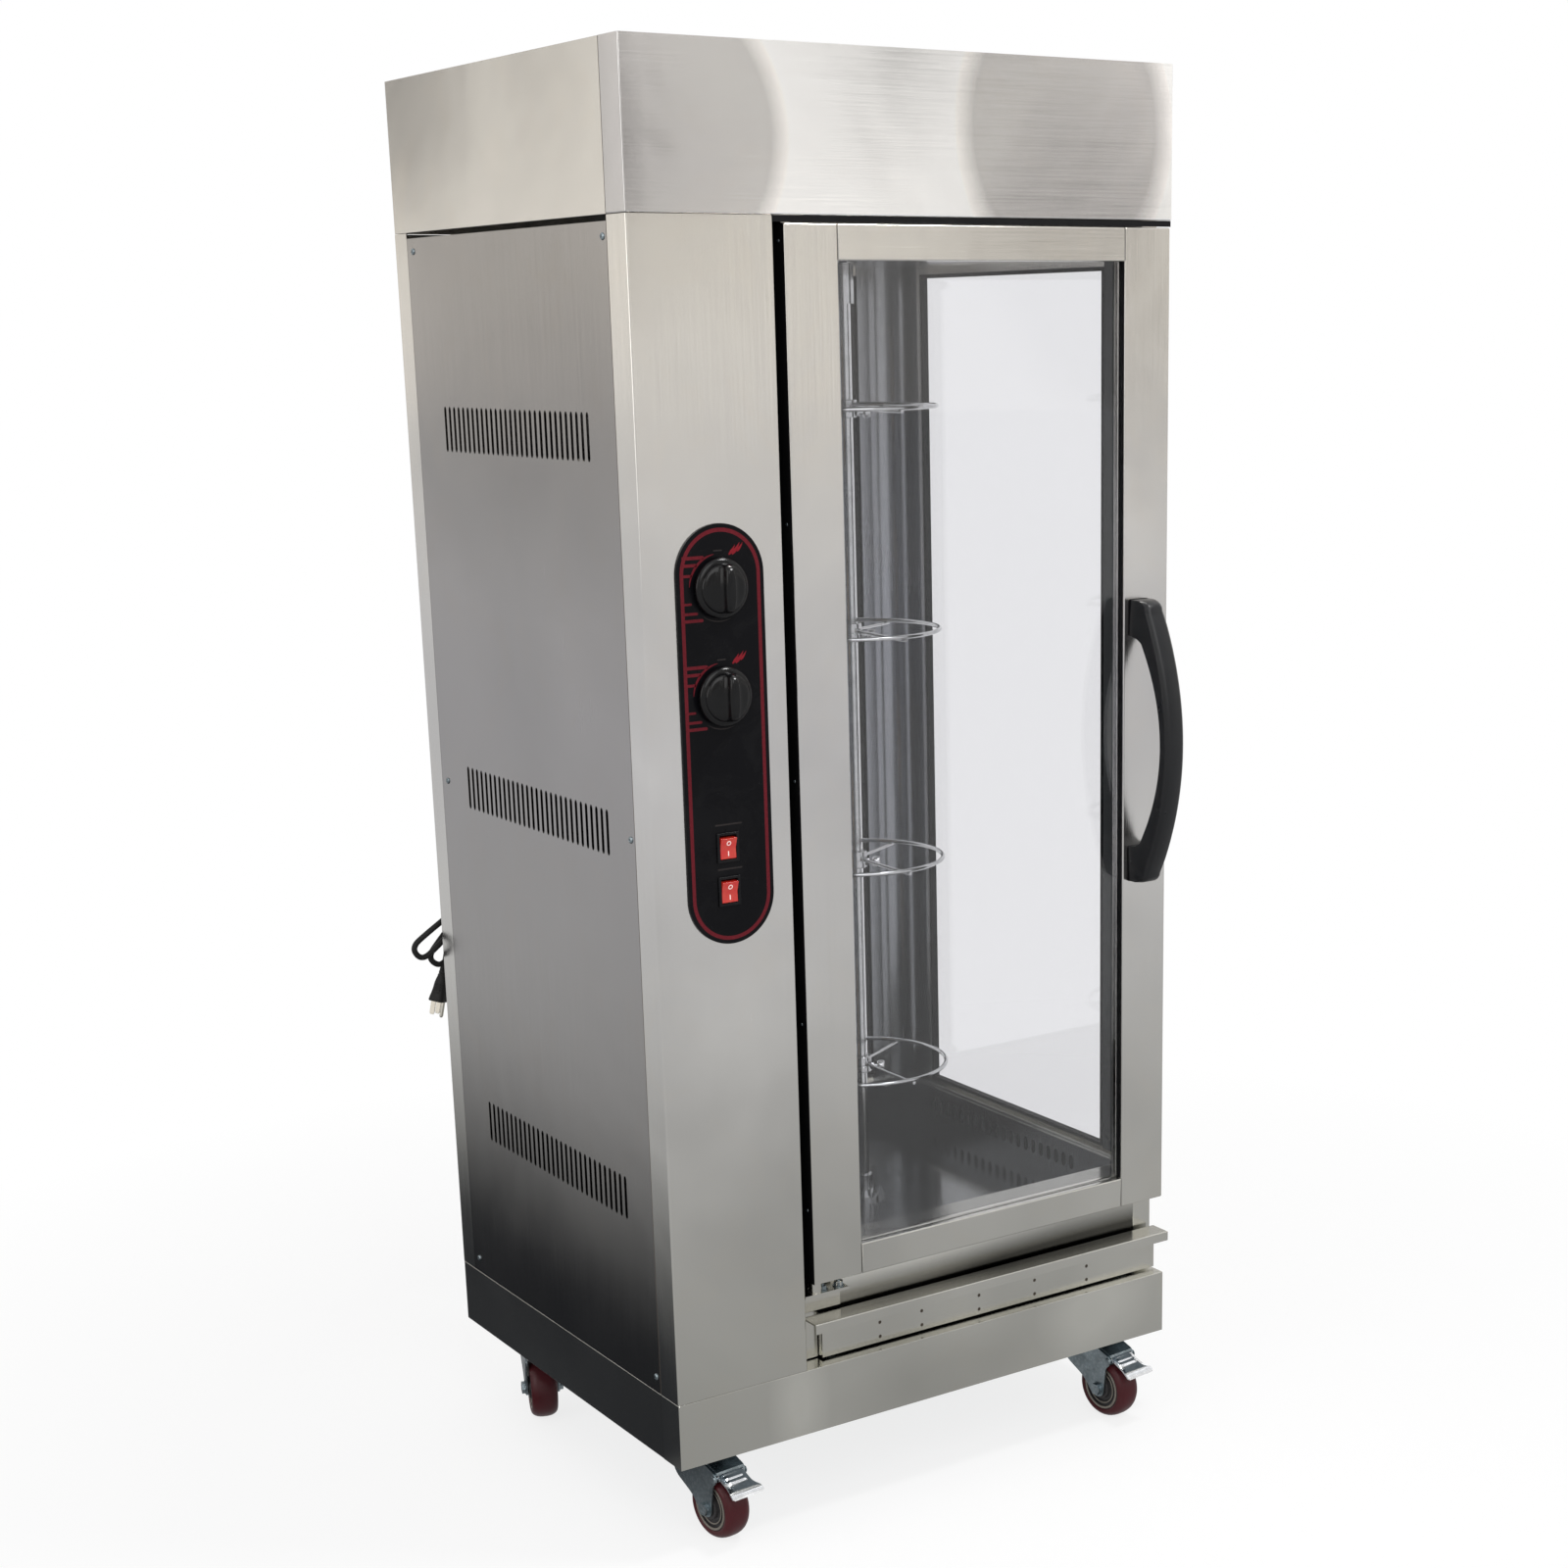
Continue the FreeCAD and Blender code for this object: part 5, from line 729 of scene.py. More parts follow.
class ROTISSERIE_OT_stage(RotisserieOperator, bpy.types.Operator):
    """Camera, floor, world and lamps."""

    bl_idname = "rotisserie.stage"
    bl_label = "Stage"

    def execute(self, context):
        settings = context.scene.rotisserie_stage
        self.camera(context)
        self.floor(settings)
        self.world(context, settings)
        for name, at, towards, size, power in (
                ("KeyLamp", (-0.9, -3.4, 3.1), (0.1, 0.0, 0.9), 2.6, settings.key_power),
                ("FillLamp", (-3.6, -0.4, 2.0), (0.0, 0.0, 0.8), 2.2, settings.fill_power),
                ("GlintLamp", (0.49, -0.77, 2.24), (-0.25, -0.27, 1.04), 0.34,
                 settings.glint_power)):
            self.lamp(name, Vector(at), Vector(towards), size, power)
        context.scene.view_settings.view_transform = "Standard"
        return {"FINISHED"}

    def camera(self, context):
        """Camera at the photograph's viewpoint."""
        eye = Vector((-1.503, -2.4639, 1.2852))
        yaw, pitch, roll = -0.6037, -0.2635, -0.0143
        forward = Vector((-math.sin(yaw) * math.cos(pitch), math.cos(yaw) * math.cos(pitch),
                          math.sin(pitch)))
        level = Vector((math.cos(yaw), math.sin(yaw), 0))
        upward = level.cross(forward)
        right = level * math.cos(roll) + upward * math.sin(roll)
        up = upward * math.cos(roll) - level * math.sin(roll)
        lens = bpy.data.cameras.new("Camera")
        lens.lens = 57.92
        lens.sensor_width = 36.0
        lens.shift_x = -0.1048
        lens.shift_y = 0.1443
        lens.clip_start = 0.05
        lens.clip_end = 60.0
        camera = added("Camera", lens)
        turn = Matrix((right, up, -forward)).transposed().to_4x4()
        camera.matrix_world = Matrix.Translation(eye) @ turn
        context.scene.camera = camera

    def floor(self, settings):
        """Pale floor that keeps the soft shadow of the casters."""
        bm = bmesh.new()
        turned(bm, [(0.0, 0.0), (1.5, 0.0), (5.0, 0.0), (40.0, 0.0)], 48)
        mesh = bpy.data.meshes.new("Floor")
        bm.to_mesh(mesh)
        bm.free()
        if mesh.polygons[0].normal.z < 0:
            mesh.flip_normals()
        mesh.materials.append(self.floor_finish(settings))
        added("Floor", mesh)

    def floor_finish(self, settings):
        """Shaded ground near the cabinet, white away from it, darker where metal mirrors it."""
        recipe = material_recipe("StudioFloor")
        colour = tuple(settings.floor_colour)
        grain = recipe.noise(recipe.place, 9.0, 3, 0.5)
        ground = recipe.step("ShaderNodeBsdfDiffuse", {
            "Color": recipe.mixed(recipe.graded(grain, 0.3, 0.7), colour, toned(colour, 0.985))})
        bright = recipe.step("ShaderNodeEmission", {"Color": (1, 1, 1), "Strength": 1.0})
        distance = recipe.length(recipe.place)
        clearing = recipe.graded(distance, 0.75, 1.6, settings.floor_white, 1.0)
        x, y = recipe.axis("X"), recipe.axis("Y")
        left = recipe.graded(x, -1.05, -0.62)
        behind = recipe.graded(y, -0.3, 0.0)
        beside = recipe.graded(x, -0.36, -0.3, 1.0, 0.0)
        dark = recipe.maths("MULTIPLY", recipe.maths("MULTIPLY", left, behind), beside)
        light = recipe.graded(distance, 0.3, 2.6, 0.44, 0.7)
        mirror = recipe.step("ShaderNodeEmission", {
            "Color": recipe.mixed(dark, light, (0.035, 0.037, 0.042)), "Strength": 1.0})
        path = recipe.step("ShaderNodeLightPath").outputs
        seen = recipe.maths("MAXIMUM", path["Is Camera Ray"], path["Is Transmission Ray"])
        glossy = recipe.maths("SUBTRACT", path["Is Glossy Ray"], path["Is Transmission Ray"])
        pale = recipe.blend(recipe.maths("MULTIPLY", seen, clearing), ground.outputs[0],
                            bright.outputs[0])
        above = recipe.blend(glossy, pale, mirror.outputs[0])
        below = recipe.step("ShaderNodeNewGeometry").outputs["Backfacing"]
        clear = recipe.step("ShaderNodeBsdfTransparent").outputs[0]
        return recipe.finish(recipe.blend(below, above, clear))

    def world(self, context, settings):
        """White to the eye and through glass; a soft hall of greys to polished metal."""
        recipe = Recipe(bpy.data.worlds.new("Studio"), "Generated")
        rising = recipe.graded(recipe.axis("Z"), -1.0, 1.0)
        ramp = recipe.step("ShaderNodeValToRGB", {"Fac": rising})
        stops = ramp.color_ramp.elements
        stops[0].color = (0.5, 0.5, 0.5, 1)
        stops[1].color = (1.0, 1.0, 1.0, 1)
        stops.new(0.5).color = (0.8, 0.775, 0.74, 1)
        patches = recipe.noise(recipe.stretched((1, 1, 1), settings.hall_shift),
                               settings.hall_scale, 0.0, 0.5)
        level = recipe.step("ShaderNodeMapRange", {
            "Value": patches, "From Min": 0.42, "From Max": 0.58, "To Min": 0.5, "To Max": 1.5,
        }, interpolation_type="SMOOTHSTEP").outputs["Result"]
        hall = recipe.scaled(ramp.outputs["Color"], level)
        white, soft, mirrored_hall = (
            recipe.step("ShaderNodeBackground", {"Color": colour, "Strength": strength}).outputs[0]
            for colour, strength in (((1, 1, 1), 1.0), ((1, 1, 1), settings.world_strength),
                                     (hall, 1.0)))
        path = recipe.step("ShaderNodeLightPath").outputs
        seen = recipe.maths("MAXIMUM", path["Is Camera Ray"], path["Is Transmission Ray"])
        lit = recipe.blend(path["Is Glossy Ray"], soft, mirrored_hall)
        context.scene.world = recipe.finish(recipe.blend(seen, lit, white))

    def lamp(self, name, at, towards, size, power):
        """Square lamp at one point that looks towards another."""
        data = bpy.data.lights.new(name, "AREA")
        data.shape = "SQUARE"
        data.size = size
        data.energy = power
        turn = (towards - at).to_track_quat("-Z", "Y").to_matrix().to_4x4()
        added(name, data).matrix_world = Matrix.Translation(at) @ turn


# Route of the lead: the same points as the CAD tube follows

WAIST = (72.0, 528.0)
HEADING = 215.0
LAYERS = (31.0, 39.0, 47.0)
WAIST_HALF = 5.0
LOBE_HALF = 11.0
LOBE_BEND = 2.4 * LOBE_HALF
BACK = 546.0
GLAND = (108.0, 700.0)


def hank_point(along, across, layer, heading=HEADING):
    """Point of the hank; along runs from the waist to the lower left."""
    turn = math.radians(heading)
    x = WAIST[0] + along * math.cos(turn) - across * math.sin(turn)
    z = WAIST[1] + along * math.sin(turn) + across * math.cos(turn)
    return spot(x, BACK + LAYERS[layer], z)


def hank_way(heading):
    angle = math.radians(heading)
    return Vector((math.cos(angle), 0, math.sin(angle)))


def lobe(length, layer, heading, right):
    """Control points round one end of the hank."""
    side = -1 if right else 1
    shoulder = length - LOBE_BEND
    start = [(-45, -WAIST_HALF - 1)] if right else []
    along = start + [
        (side * shoulder, side * LOBE_HALF), (side * length, side * LOBE_HALF),
        (side * length, -side * LOBE_HALF), (side * shoulder, -side * LOBE_HALF)]
    return [hank_point(a, b, layer, heading) for a, b in along]


def cord_route():
    """Control points of the whole lead, from the gland to the plug."""
    gland = spot(GLAND[0], BACK + 17, GLAND[1])
    way = hank_way(HEADING)
    first = hank_point(0, WAIST_HALF, 0)
    last = hank_point(0, WAIST_HALF, 2)
    waist_run, lead_in, tail = (way * reach * MM for reach in (14, 43, 30))
    hank_start = first - waist_run
    hank_end = last + waist_run
    points = [gland + Vector(step) * MM for step in (
        (0, 0, 0), (0, 21, 0), (0, 36, -15), (2, 29, -55), (5, 14, -102))]
    points += [hank_start - lead_in, hank_start, first]
    points += lobe(114, 0, HEADING, False)
    points += [hank_point(0, -WAIST_HALF, 0)]
    points += lobe(215, 1, HEADING, True)
    points += [hank_point(0, WAIST_HALF, 1)]
    points += lobe(106, 1, HEADING + 15, False)
    points += [hank_point(0, -WAIST_HALF, 1)]
    points += lobe(206, 2, HEADING, True)
    points += [last, hank_end]
    turn = hank_end + tail
    points += [turn, turn + Vector((-11.5, 0, -28.5)) * MM, turn + Vector((-19, 0, -60.5)) * MM]
    return points


class ROTISSERIE_OT_cord(RotisserieOperator, bpy.types.Operator):
    """Mains lead in its loose hank, with gland, tie and plug."""

    bl_idname = "rotisserie.cord"
    bl_label = "Mains lead"

    def execute(self, context):
        settings = context.scene.rotisserie_cord
        radius = settings.diameter / 2
        rubber = moulded("LeadRubber", tuple(settings.rubber_colour), rough=0.46, grain=0.12,
                         shine=0.15, grain_size=1400.0)
        points = cord_route()
        curve = bpy.data.curves.new("mains_lead", "CURVE")
        curve.dimensions = "3D"
        spline = curve.splines.new("NURBS")
        spline.points.add(len(points) - 1)
        for target, point in zip(spline.points, points):
            target.co = (*point, 1.0)
        spline.order_u = 3
        spline.use_endpoint_u = True
        spline.resolution_u = 14
        centre = added("centre_line", curve.copy())
        line = bpy.data.meshes.new_from_object(
            centre.evaluated_get(context.evaluated_depsgraph_get()))
        route = [vertex.co.copy() for vertex in line.vertices]
        bpy.data.objects.remove(centre)
        curve.bevel_depth = radius
        curve.bevel_resolution = 5
        curve.use_fill_caps = True
        curve.materials.append(rubber)
        lead = added("mains_lead", curve)
        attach(lead, "cabinet")
        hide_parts("power_cord", "cord_hank")
        self.gland(route)
        tie = self.tie(radius)
        plug = self.plug(points[-1], (points[-1] - points[-2]).normalized(), rubber)
        return {"FINISHED"}

    def gland(self, route):
        """Screwed gland with a tapered, grooved bend relief round the lead."""
        black = moulded("GlandPlastic", (0.025, 0.025, 0.027), rough=0.42, grain=0.1)
        bm = bmesh.new()
        place = facing((0, 1, 0), spot(GLAND[0], BACK, GLAND[1]))
        prism(bm, circle(11.4, 6), 0.2, 6, place)
        turned(bm, [(0, 6), (10.2, 6), (10.5, 7), (10.5, 11.5), (9.6, 13.5), (8.2, 15.5),
                    (7.2, 17), (0, 17)], 28, place)
        ribs = 14
        for i in range(ribs):
            block(bm, (9.9, -0.6, 6.8), (11.1, 0.6, 12.2), place @ turn_about("Z", 360 * i / ribs))
        finished("gland_nuts", bm, "cabinet", black, 0.0003,
                 replaced=("cord_gland",))
        relief, pitch, thick, taper, notch = 0.034, 0.0028, 0.0066, 0.0024, 0.00045
        travelled = 0.0
        rings = []
        for before, here in zip(route, route[1:]):
            step = (here - before).length
            travelled += step
            if travelled > relief:
                break
            share = travelled / relief
            groove = notch if int(travelled / pitch) % 2 and share > 0.25 else 0.0
            rings.append((here, (here - before).normalized(), thick - taper * share - groove))
        sections = []
        for here, way, radius in [(route[0], rings[0][1], thick)] + rings:
            turn = way.to_track_quat("Z", "X").to_matrix()
            sections.append([here + turn @ Vector((x, y, 0)) for x, y in circle(radius, 20)])
        bm = bmesh.new()
        skin(bm, sections)
        finished("bend_relief", bm, "cabinet", black, angle=60)

    def tie(self, radius):
        """Wire tie wound round the waist of the hank and twisted on its near side."""
        coat = moulded("TieCoat", (0.05, 0.05, 0.052), rough=0.38, grain=0.08)
        along = hank_way(HEADING)
        across = Vector((-along.z, 0, along.x))
        outwards = Vector((0, 1, 0))
        centre = hank_point(0, 0, 1)
        half_across = WAIST_HALF * MM + radius + 0.0012
        half_deep = (LAYERS[2] - LAYERS[0]) / 2 * MM + radius + 0.0009
        pitch, thick, end_thick = 0.0026, 0.0009, 0.0008
        outline = rounded_outline(2 * half_across, 2 * half_deep, radius, 6)
        loop = []
        for turn in range(2):
            for i, (u, v) in enumerate(outline):
                shift = (turn + i / len(outline) - 1) * pitch
                loop.append(centre + across * u + outwards * v + along * shift)
        bm = bmesh.new()
        wire(bm, loop, thick, 8)
        twist = []
        for i in range(25):
            angle = i * 0.8
            twist.append(loop[-1] + across * (0.0004 * i) - outwards * (0.00012 * i)
                         + (along * math.cos(angle) + outwards * math.sin(angle)) * thick)
        wire(bm, twist, end_thick, 7)
        return finished("lead_tie", bm, "cabinet", coat, angle=60)

    def plug(self, end, way, rubber):
        """Moulded plug with a grooved boot, finger grips, two blades and an earth pin."""
        down = Vector((0, 0, -1)).rotation_difference(way).to_matrix().to_4x4()
        place = scaled(Matrix.Translation(end) @ down @ turn_about("Z", 35))
        bm = bmesh.new()
        turned(bm, [(0, 0.5), (4.3, 0), (4.6, -2), (5, -2.4), (5, -4), (4.7, -4.4), (5.5, -6.4),
                    (5.5, -8), (5.1, -8.4), (6.2, -10.6), (6.6, -14.5), (0, -14.5)], 24, place)
        sections = []
        for height, wide, deep, corner in (
                (-13.0, 12.6, 12.6, 5.6), (-16.0, 14.6, 14.2, 5.8), (-21.0, 17.0, 15.6, 5.8),
                (-27.0, 18.2, 16.4, 5.6), (-33.0, 20.4, 17.6, 5.2), (-38.0, 22.8, 19.2, 5.0),
                (-41.6, 24.0, 20.0, 5.0), (-43.0, 23.2, 19.2, 4.6)):
            sections.append([place @ Vector((x, y, height))
                             for x, y in rounded_outline(wide, deep, corner, 5)])
        skin(bm, sections)
        for height in (-22.5, -26.0, -29.5, -33.0):
            reach = 8.4 + (-height - 22) * 0.08
            block(bm, (-reach - 1.3, -4.2, height), (-reach, 4.2, height + 1.5), place)
            block(bm, (reach, -4.2, height), (reach + 1.3, 4.2, height + 1.5), place)
        body = finished("plug_body", bm, "cabinet", rubber, bevel=0.0003, angle=40,
                        replaced=("power_plug",))
        nickel = bright_chrome("PlugNickel", (0.72, 0.69, 0.62))
        bm = bmesh.new()
        for x in (-6.35, 6.35):
            block(bm, (x - 0.75, 0.5, -58.6), (x + 0.75, 6.8, -42), place)
            block(bm, (x - 0.55, 1.3, -59.9), (x + 0.55, 6.0, -58.6), place)
        earth = place @ Matrix.Translation((0, -6, 0))
        turned(bm, [(0, -62.5), (1, -62.4), (1.9, -61.6), (2.4, -60.2), (2.4, -42), (0, -42)], 20,
               earth)
        pins = finished("plug_pins", bm, "cabinet", nickel, bevel=0.0002, angle=40)
        return body, pins


# Soft pools of light and shade on the steel: centre, reach, softness and factor


HOOD_POOLS = (
    ((20, 20, 1362), (158, 90, 150), 0.07, 0.59),
    ((522, 0, 1380), (132, 60, 150), 0.1, 0.57),
    ((-20, 110, 1350), (34, 150, 130), 0.6, 0.7),
)
SIDE_POOLS = (
    ((0, 250, 1110), (60, 330, 150), 0.5, 0.8),
)
SILL_POOLS = (
    ((600, 20, 120), (450, 60, 34), 0.4, 0.12),
    ((330, 20, 172), (150, 60, 24), 0.5, 1.4),
    ((400, 46, 206), (420, 24, 8), 0.3, 0.5),
)
PLINTH_POOLS = (
    ((150, 0, 40), (26, 60, 60), 0.6, 1.22),
    ((560, 0, 52), (60, 60, 44), 0.5, 1.2),
    ((360, 0, 20), (120, 60, 34), 0.5, 0.9),
)


class Finishes:
    """Materials that several groups share, made once."""

    made = {}

    @classmethod
    def get(cls, name):
        if name not in cls.made:
            cls.made[name] = cls.build(name)
        return cls.made[name]

    @staticmethod
    def build(name):
        steel = bpy.context.scene.rotisserie_steel
        outer, inner, brush = tuple(steel.colour), tuple(steel.inner_colour), steel.brush
        if name.startswith("steel_"):
            return brushed_steel("BrushedSteel" + name[-1], name[-1], outer, brush)
        if name.startswith("chamber_"):
            return brushed_steel("ChamberSteel" + name[-1], name[-1], inner, brush * 0.4,
                                 rough=0.2, cloud=0.1, wave=0.02)
        if name == "hood":
            # Painted light: the hood takes a lighter, bluer copy of the steel colour and painted pools
            # of light and shade.
            bright = tuple(c * gain for c, gain in zip(outer, (1.54, 1.56, 1.68)))
            return brushed_steel("HoodSteel", "X", bright, brush, rough=0.15, cloud=0.06,
                                 pools=HOOD_POOLS)
        if name == "side":
            # Painted shade: the left side panel takes a darker copy of the steel colour.
            return brushed_steel("SideSteel", "Z", (0.352, 0.342, 0.335), brush, cloud=0.1,
                                 pools=SIDE_POOLS)
        if name == "sill":
            return brushed_steel("SillSteel", "X", outer, brush, cloud=0.1, pools=SILL_POOLS)
        if name == "plinth":
            return brushed_steel("PlinthSteel", "X", outer, brush, cloud=0.1, pools=PLINTH_POOLS)
        if name == "floor_pan":
            return brushed_steel("FloorPan", "Y", toned(inner, 0.6), brush * 0.2, rough=0.13,
                                 cloud=0.05, wave=0.01)
        if name == "shade":
            return moulded("FrameShade", (0.018, 0.022, 0.024), rough=0.3, grain=0.04)
        if name == "zinc":
            plating = tuple(bpy.context.scene.rotisserie_casters.plating_colour)
            return zinc_plate("ZincPlate", plating)
        if name == "plated":
            return bright_chrome("PedalPlating", (0.78, 0.8, 0.83))
        if name == "chrome":
            return bright_chrome("BrightChrome", (0.5, 0.505, 0.51))
        if name == "brass":
            return metal_cast("TurnedBrass", colour_of("brass"), rough=0.3, metallic=1.0,
                              grain=0.08)
        if name == "seal":
            return moulded("DoorSeal", (0.005, 0.005, 0.0055), rough=0.5, grain=0.1, shine=0.1)
        raise ValueError(f"no finish {name}")


class ROTISSERIE_OT_cabinet(RotisserieOperator, bpy.types.Operator):
    """Hood, column, plinth, walls and the dark strips of painted shade in their gaps."""

    bl_idname = "rotisserie.cabinet"
    bl_label = "Cabinet"

    def execute(self, context):
        fold = context.scene.rotisserie_steel.fold_radius
        softened("hood_front", "cabinet", Finishes.get("hood"), fold)
        for node, along in (("hood_back", "X"), ("plinth_back", "X"), ("control_column", "Z"),
                            ("front_frame", "Z")):
            softened(node, "cabinet", Finishes.get("steel_" + along), fold)
        softened("plinth_front", "cabinet", Finishes.get("plinth"), fold)
        softened("sill_plate", "cabinet", Finishes.get("sill"), fold)
        paint(Finishes.get("side"), "side_panel")
        paint(Finishes.get("steel_Z"), "rear_panel", "right_wall")
        paint(Finishes.get("steel_X"), "hood_top")
        paint(Finishes.get("chamber_Z"), "partition_wall", "rear_corner_liner")
        paint(Finishes.get("chamber_X"), "chamber_ceiling")
        paint(Finishes.get("floor_pan"), "chamber_floor")
        paint(Finishes.get("zinc"), "base_frame")
        self.shades()
        return {"FINISHED"}

    def shades(self):
        """Dark strips of painted shade: the gap beside the door, the slots of the floor tray, the
        right post.
        """
        seal = Finishes.get("seal")
        # Painted shade: black sheets in the gap beside the door, behind the slots of the floor tray
        # and under the hood.
        blocks("gap_liner", (
            ((161.55, 2.2, 160.5), (161.85, 24.9, 1286)),
            ((161.85, 24.5, 160.5), (191.0, 24.9, 1286)),
            ((649.2, 150, 158), (649.6, 476, 192)),
            ((162.0, 1.2, 1283.5), (665.0, 1.6, 1289.7))), "cabinet", seal)
        seams = [((x, 38.7, low), (x + 0.2, 39.6, high)) for x in (-0.06, 665.86)
                 for low, high in ((75.6, 1289.6), (1291, 1449.6))]
        stain = metal_cast("SeamStain", (0.1, 0.08, 0.065), rough=0.5, metallic=0.5, grain=0.1)
        blocks("seam_lines", seams, "cabinet", stain)
        # Painted shade: dark sheets on the right post and on the wall strip beside the side pane.
        blocks("post_cover", (
            ((638.6, 25.6, 203.3), (638.95, 61.2, 1254.6)),
            ((649.5, 61.3, 210.0), (649.9, 99.8, 1254.6))), "cabinet",
            Finishes.get("shade"))
        # Painted shade: black strips on the left edge of the door and on the inner side of its right
        # stile.
        blocks("door_edge_strip", (
            ((173.7, 1.2, 172.6), (173.97, 21, 1282.2)),
            ((601.1, 2.2, 207.3), (601.47, 8.2, 1247.2))), "door", seal)
        blocks("drawer_return", (((191.6, 18.45, 78.0), (192.8, 24.6, 127.5)),), "drawer",
               Finishes.get("steel_Z"), 0.0003)


class ROTISSERIE_OT_screws(RotisserieOperator, bpy.types.Operator):
    """Screws, bolts and weld spots all over the cabinet."""

    bl_idname = "rotisserie.screws"
    bl_label = "Screws and spots"

    def execute(self, context):
        zinc, seal = Finishes.get("zinc"), Finishes.get("seal")
        pan = small_part("pan_screw", self.pan_screw)
        left, right, front, rear = (-1, 0, 0), (1, 0, 0), (0, -1, 0), (0, 1, 0)
        rows = (93, 682, 1270)
        sunk = 0.1
        places = [(spot(sunk, y, z), left) for y in (48, 498.5) for z in rows]
        places += [(spot(665.8, y, z), right) for y in (75, 498.5) for z in rows]
        set_copies("panel_screw_heads", places, pan, "cabinet", zinc, size=0.9, turn=1.5,
                   seed=3, replaced=("panel_screws",))
        places = [(spot(x, BACK - sunk, z), rear) for x in (14, 216, 652)
                  for z in (98, 400, 700, 1000, 1270)]
        set_copies("rear_screw_heads", places, pan, "cabinet", zinc, size=0.9, turn=1.5,
                   seed=5)
        places = [(spot(174.05, 11, z), left) for z in (1266, 991, 728, 466, 256)]
        set_copies("door_edge_screws", places, pan, "door", zinc, size=0.5, turn=1.5,
                   seed=8)
        places = [(spot(x, 16.6, z), front) for x in (268, 325, 405, 485, 562) for z in (101, 84)]
        scorch = metal_cast("WeldScorch", (0.09, 0.075, 0.06), rough=0.45, metallic=0.7, grain=0.2)
        set_copies("drawer_weld_spots", places, small_part("weld_spot", self.weld_spot), "drawer",
                   scorch, size=0.9)
        places = [(spot(x, BACK - sunk, z), rear) for x in (40, 333, 626) for z in (1310, 1430)]
        set_copies("hood_screw_heads", places, pan, "cabinet", zinc, size=0.9, turn=1.5,
                   seed=9)
        places = [(spot(x, 530.1, z), front) for x, z in ((589, 1234), (243, 1234), (589, 223))]
        set_copies("pane_bolts", places, small_part("cap_bolt", self.cap_bolt), "cabinet",
                   seal, size=0.9, turn=0.6, seed=4)
        return {"FINISHED"}

    def pan_screw(self, bm):
        """Pan head with a cross recess, 8 mm across."""
        place = scaled(HERE)
        arm, half, deep, top = 1.9, 0.42, 0.9, 1.95
        turned(bm, [(0, 0), (4, 0), (4, 0.5), (3.7, 1.2), (2.9, 1.8), (2.2, top)], 20, place)
        cross = [(arm, -half), (arm, half), (half, half), (half, arm), (-half, arm), (-half, half),
                 (-arm, half), (-arm, -half), (-half, -half), (-half, -arm), (half, -arm),
                 (half, -half)]
        rim, floor = ([bm.verts.new(place @ Vector((x * size, y * size, level))) for x, y in cross]
                      for size, level in ((1.0, top), (0.5, top - deep)))
        joined(bm, [rim, floor])
        bm.faces.new(floor)
        edges = [edge for edge in bm.edges if edge.is_boundary]
        bmesh.ops.triangle_fill(bm, edges=edges, use_beauty=True)

    def weld_spot(self, bm):
        """Shallow round mark of a spot weld with a raised rim."""
        turned(bm, [(0, -0.1), (2.4, 0), (2.2, 0.25), (1.7, 0.3), (1.2, 0.16), (0, 0.12)], 18,
               scaled(HERE))

    def cap_bolt(self, bm):
        """Black hexagonal head on a washer."""
        disc(bm, 6, 0, 0.8, 20, scaled(HERE))
        hexagon(bm, 8.5, 0.8, 4.4, scaled(HERE))


class ROTISSERIE_OT_glass(RotisserieOperator, bpy.types.Operator):
    """Panes of the chamber and the door with their seals."""

    bl_idname = "rotisserie.glass"
    bl_label = "Glass"

    def execute(self, context):
        pane = clear_glass("CabinetGlass", (0.892, 0.892, 0.905), 0.008)
        paint(pane, "cabinet_glass", "door_glass")
        paint(Finishes.get("seal"), "door_gasket")
        self.seals()
        self.ledge()
        return {"FINISHED"}

    def seals(self):
        """Black rubber strips along the edges of the side pane and the rear one."""
        wall, low, high = 16.0, 212, 1245
        bm = bmesh.new()
        for place, (near, far), depth in (
                (Matrix.Translation(spot(666 - wall - 0.9, 0, 0)) @ SIDEWAYS, (100, 467), 9.2),
                (Matrix.Translation(spot(0, 546 - wall + 8.2, 0)) @ turn_about("X", 90),
                 (235, 597), 9.1)):
            centre = ((near + far) / 2, (low + high) / 2)
            self.frame(bm, centre, (far - near - 0.2, high - low - 0.2), 4.5, depth, scaled(place))
        finished("pane_seals", bm, "cabinet", Finishes.get("seal"), 0.0006)

    def frame(self, bm, centre, size, wide, deep, place):
        """Rectangular frame strip with a plain mitre at each corner."""
        sections = []
        for inset, level in ((0, 0), (0, deep), (wide, deep), (wide, 0)):
            x, y = size[0] / 2 - inset, size[1] / 2 - inset
            sections.append([place @ Vector((centre[0] + sx * x, centre[1] + sy * y, level))
                             for sx, sy in ((-1, -1), (1, -1), (1, 1), (-1, 1))])
        skin(bm, sections, True)

    def ledge(self):
        """Bright rail along the foot of the side pane and the rear one."""
        blocks("pane_ledge", (
            ((641.5, 64, 203.3), (649.9, 529, 205.0)),
            ((641.5, 64, 205.0), (643.0, 520, 209.5)),
            ((195, 521.5, 203.3), (641.5, 529.9, 205.0))), "cabinet",
            Finishes.get("steel_Y"), 0.0003)


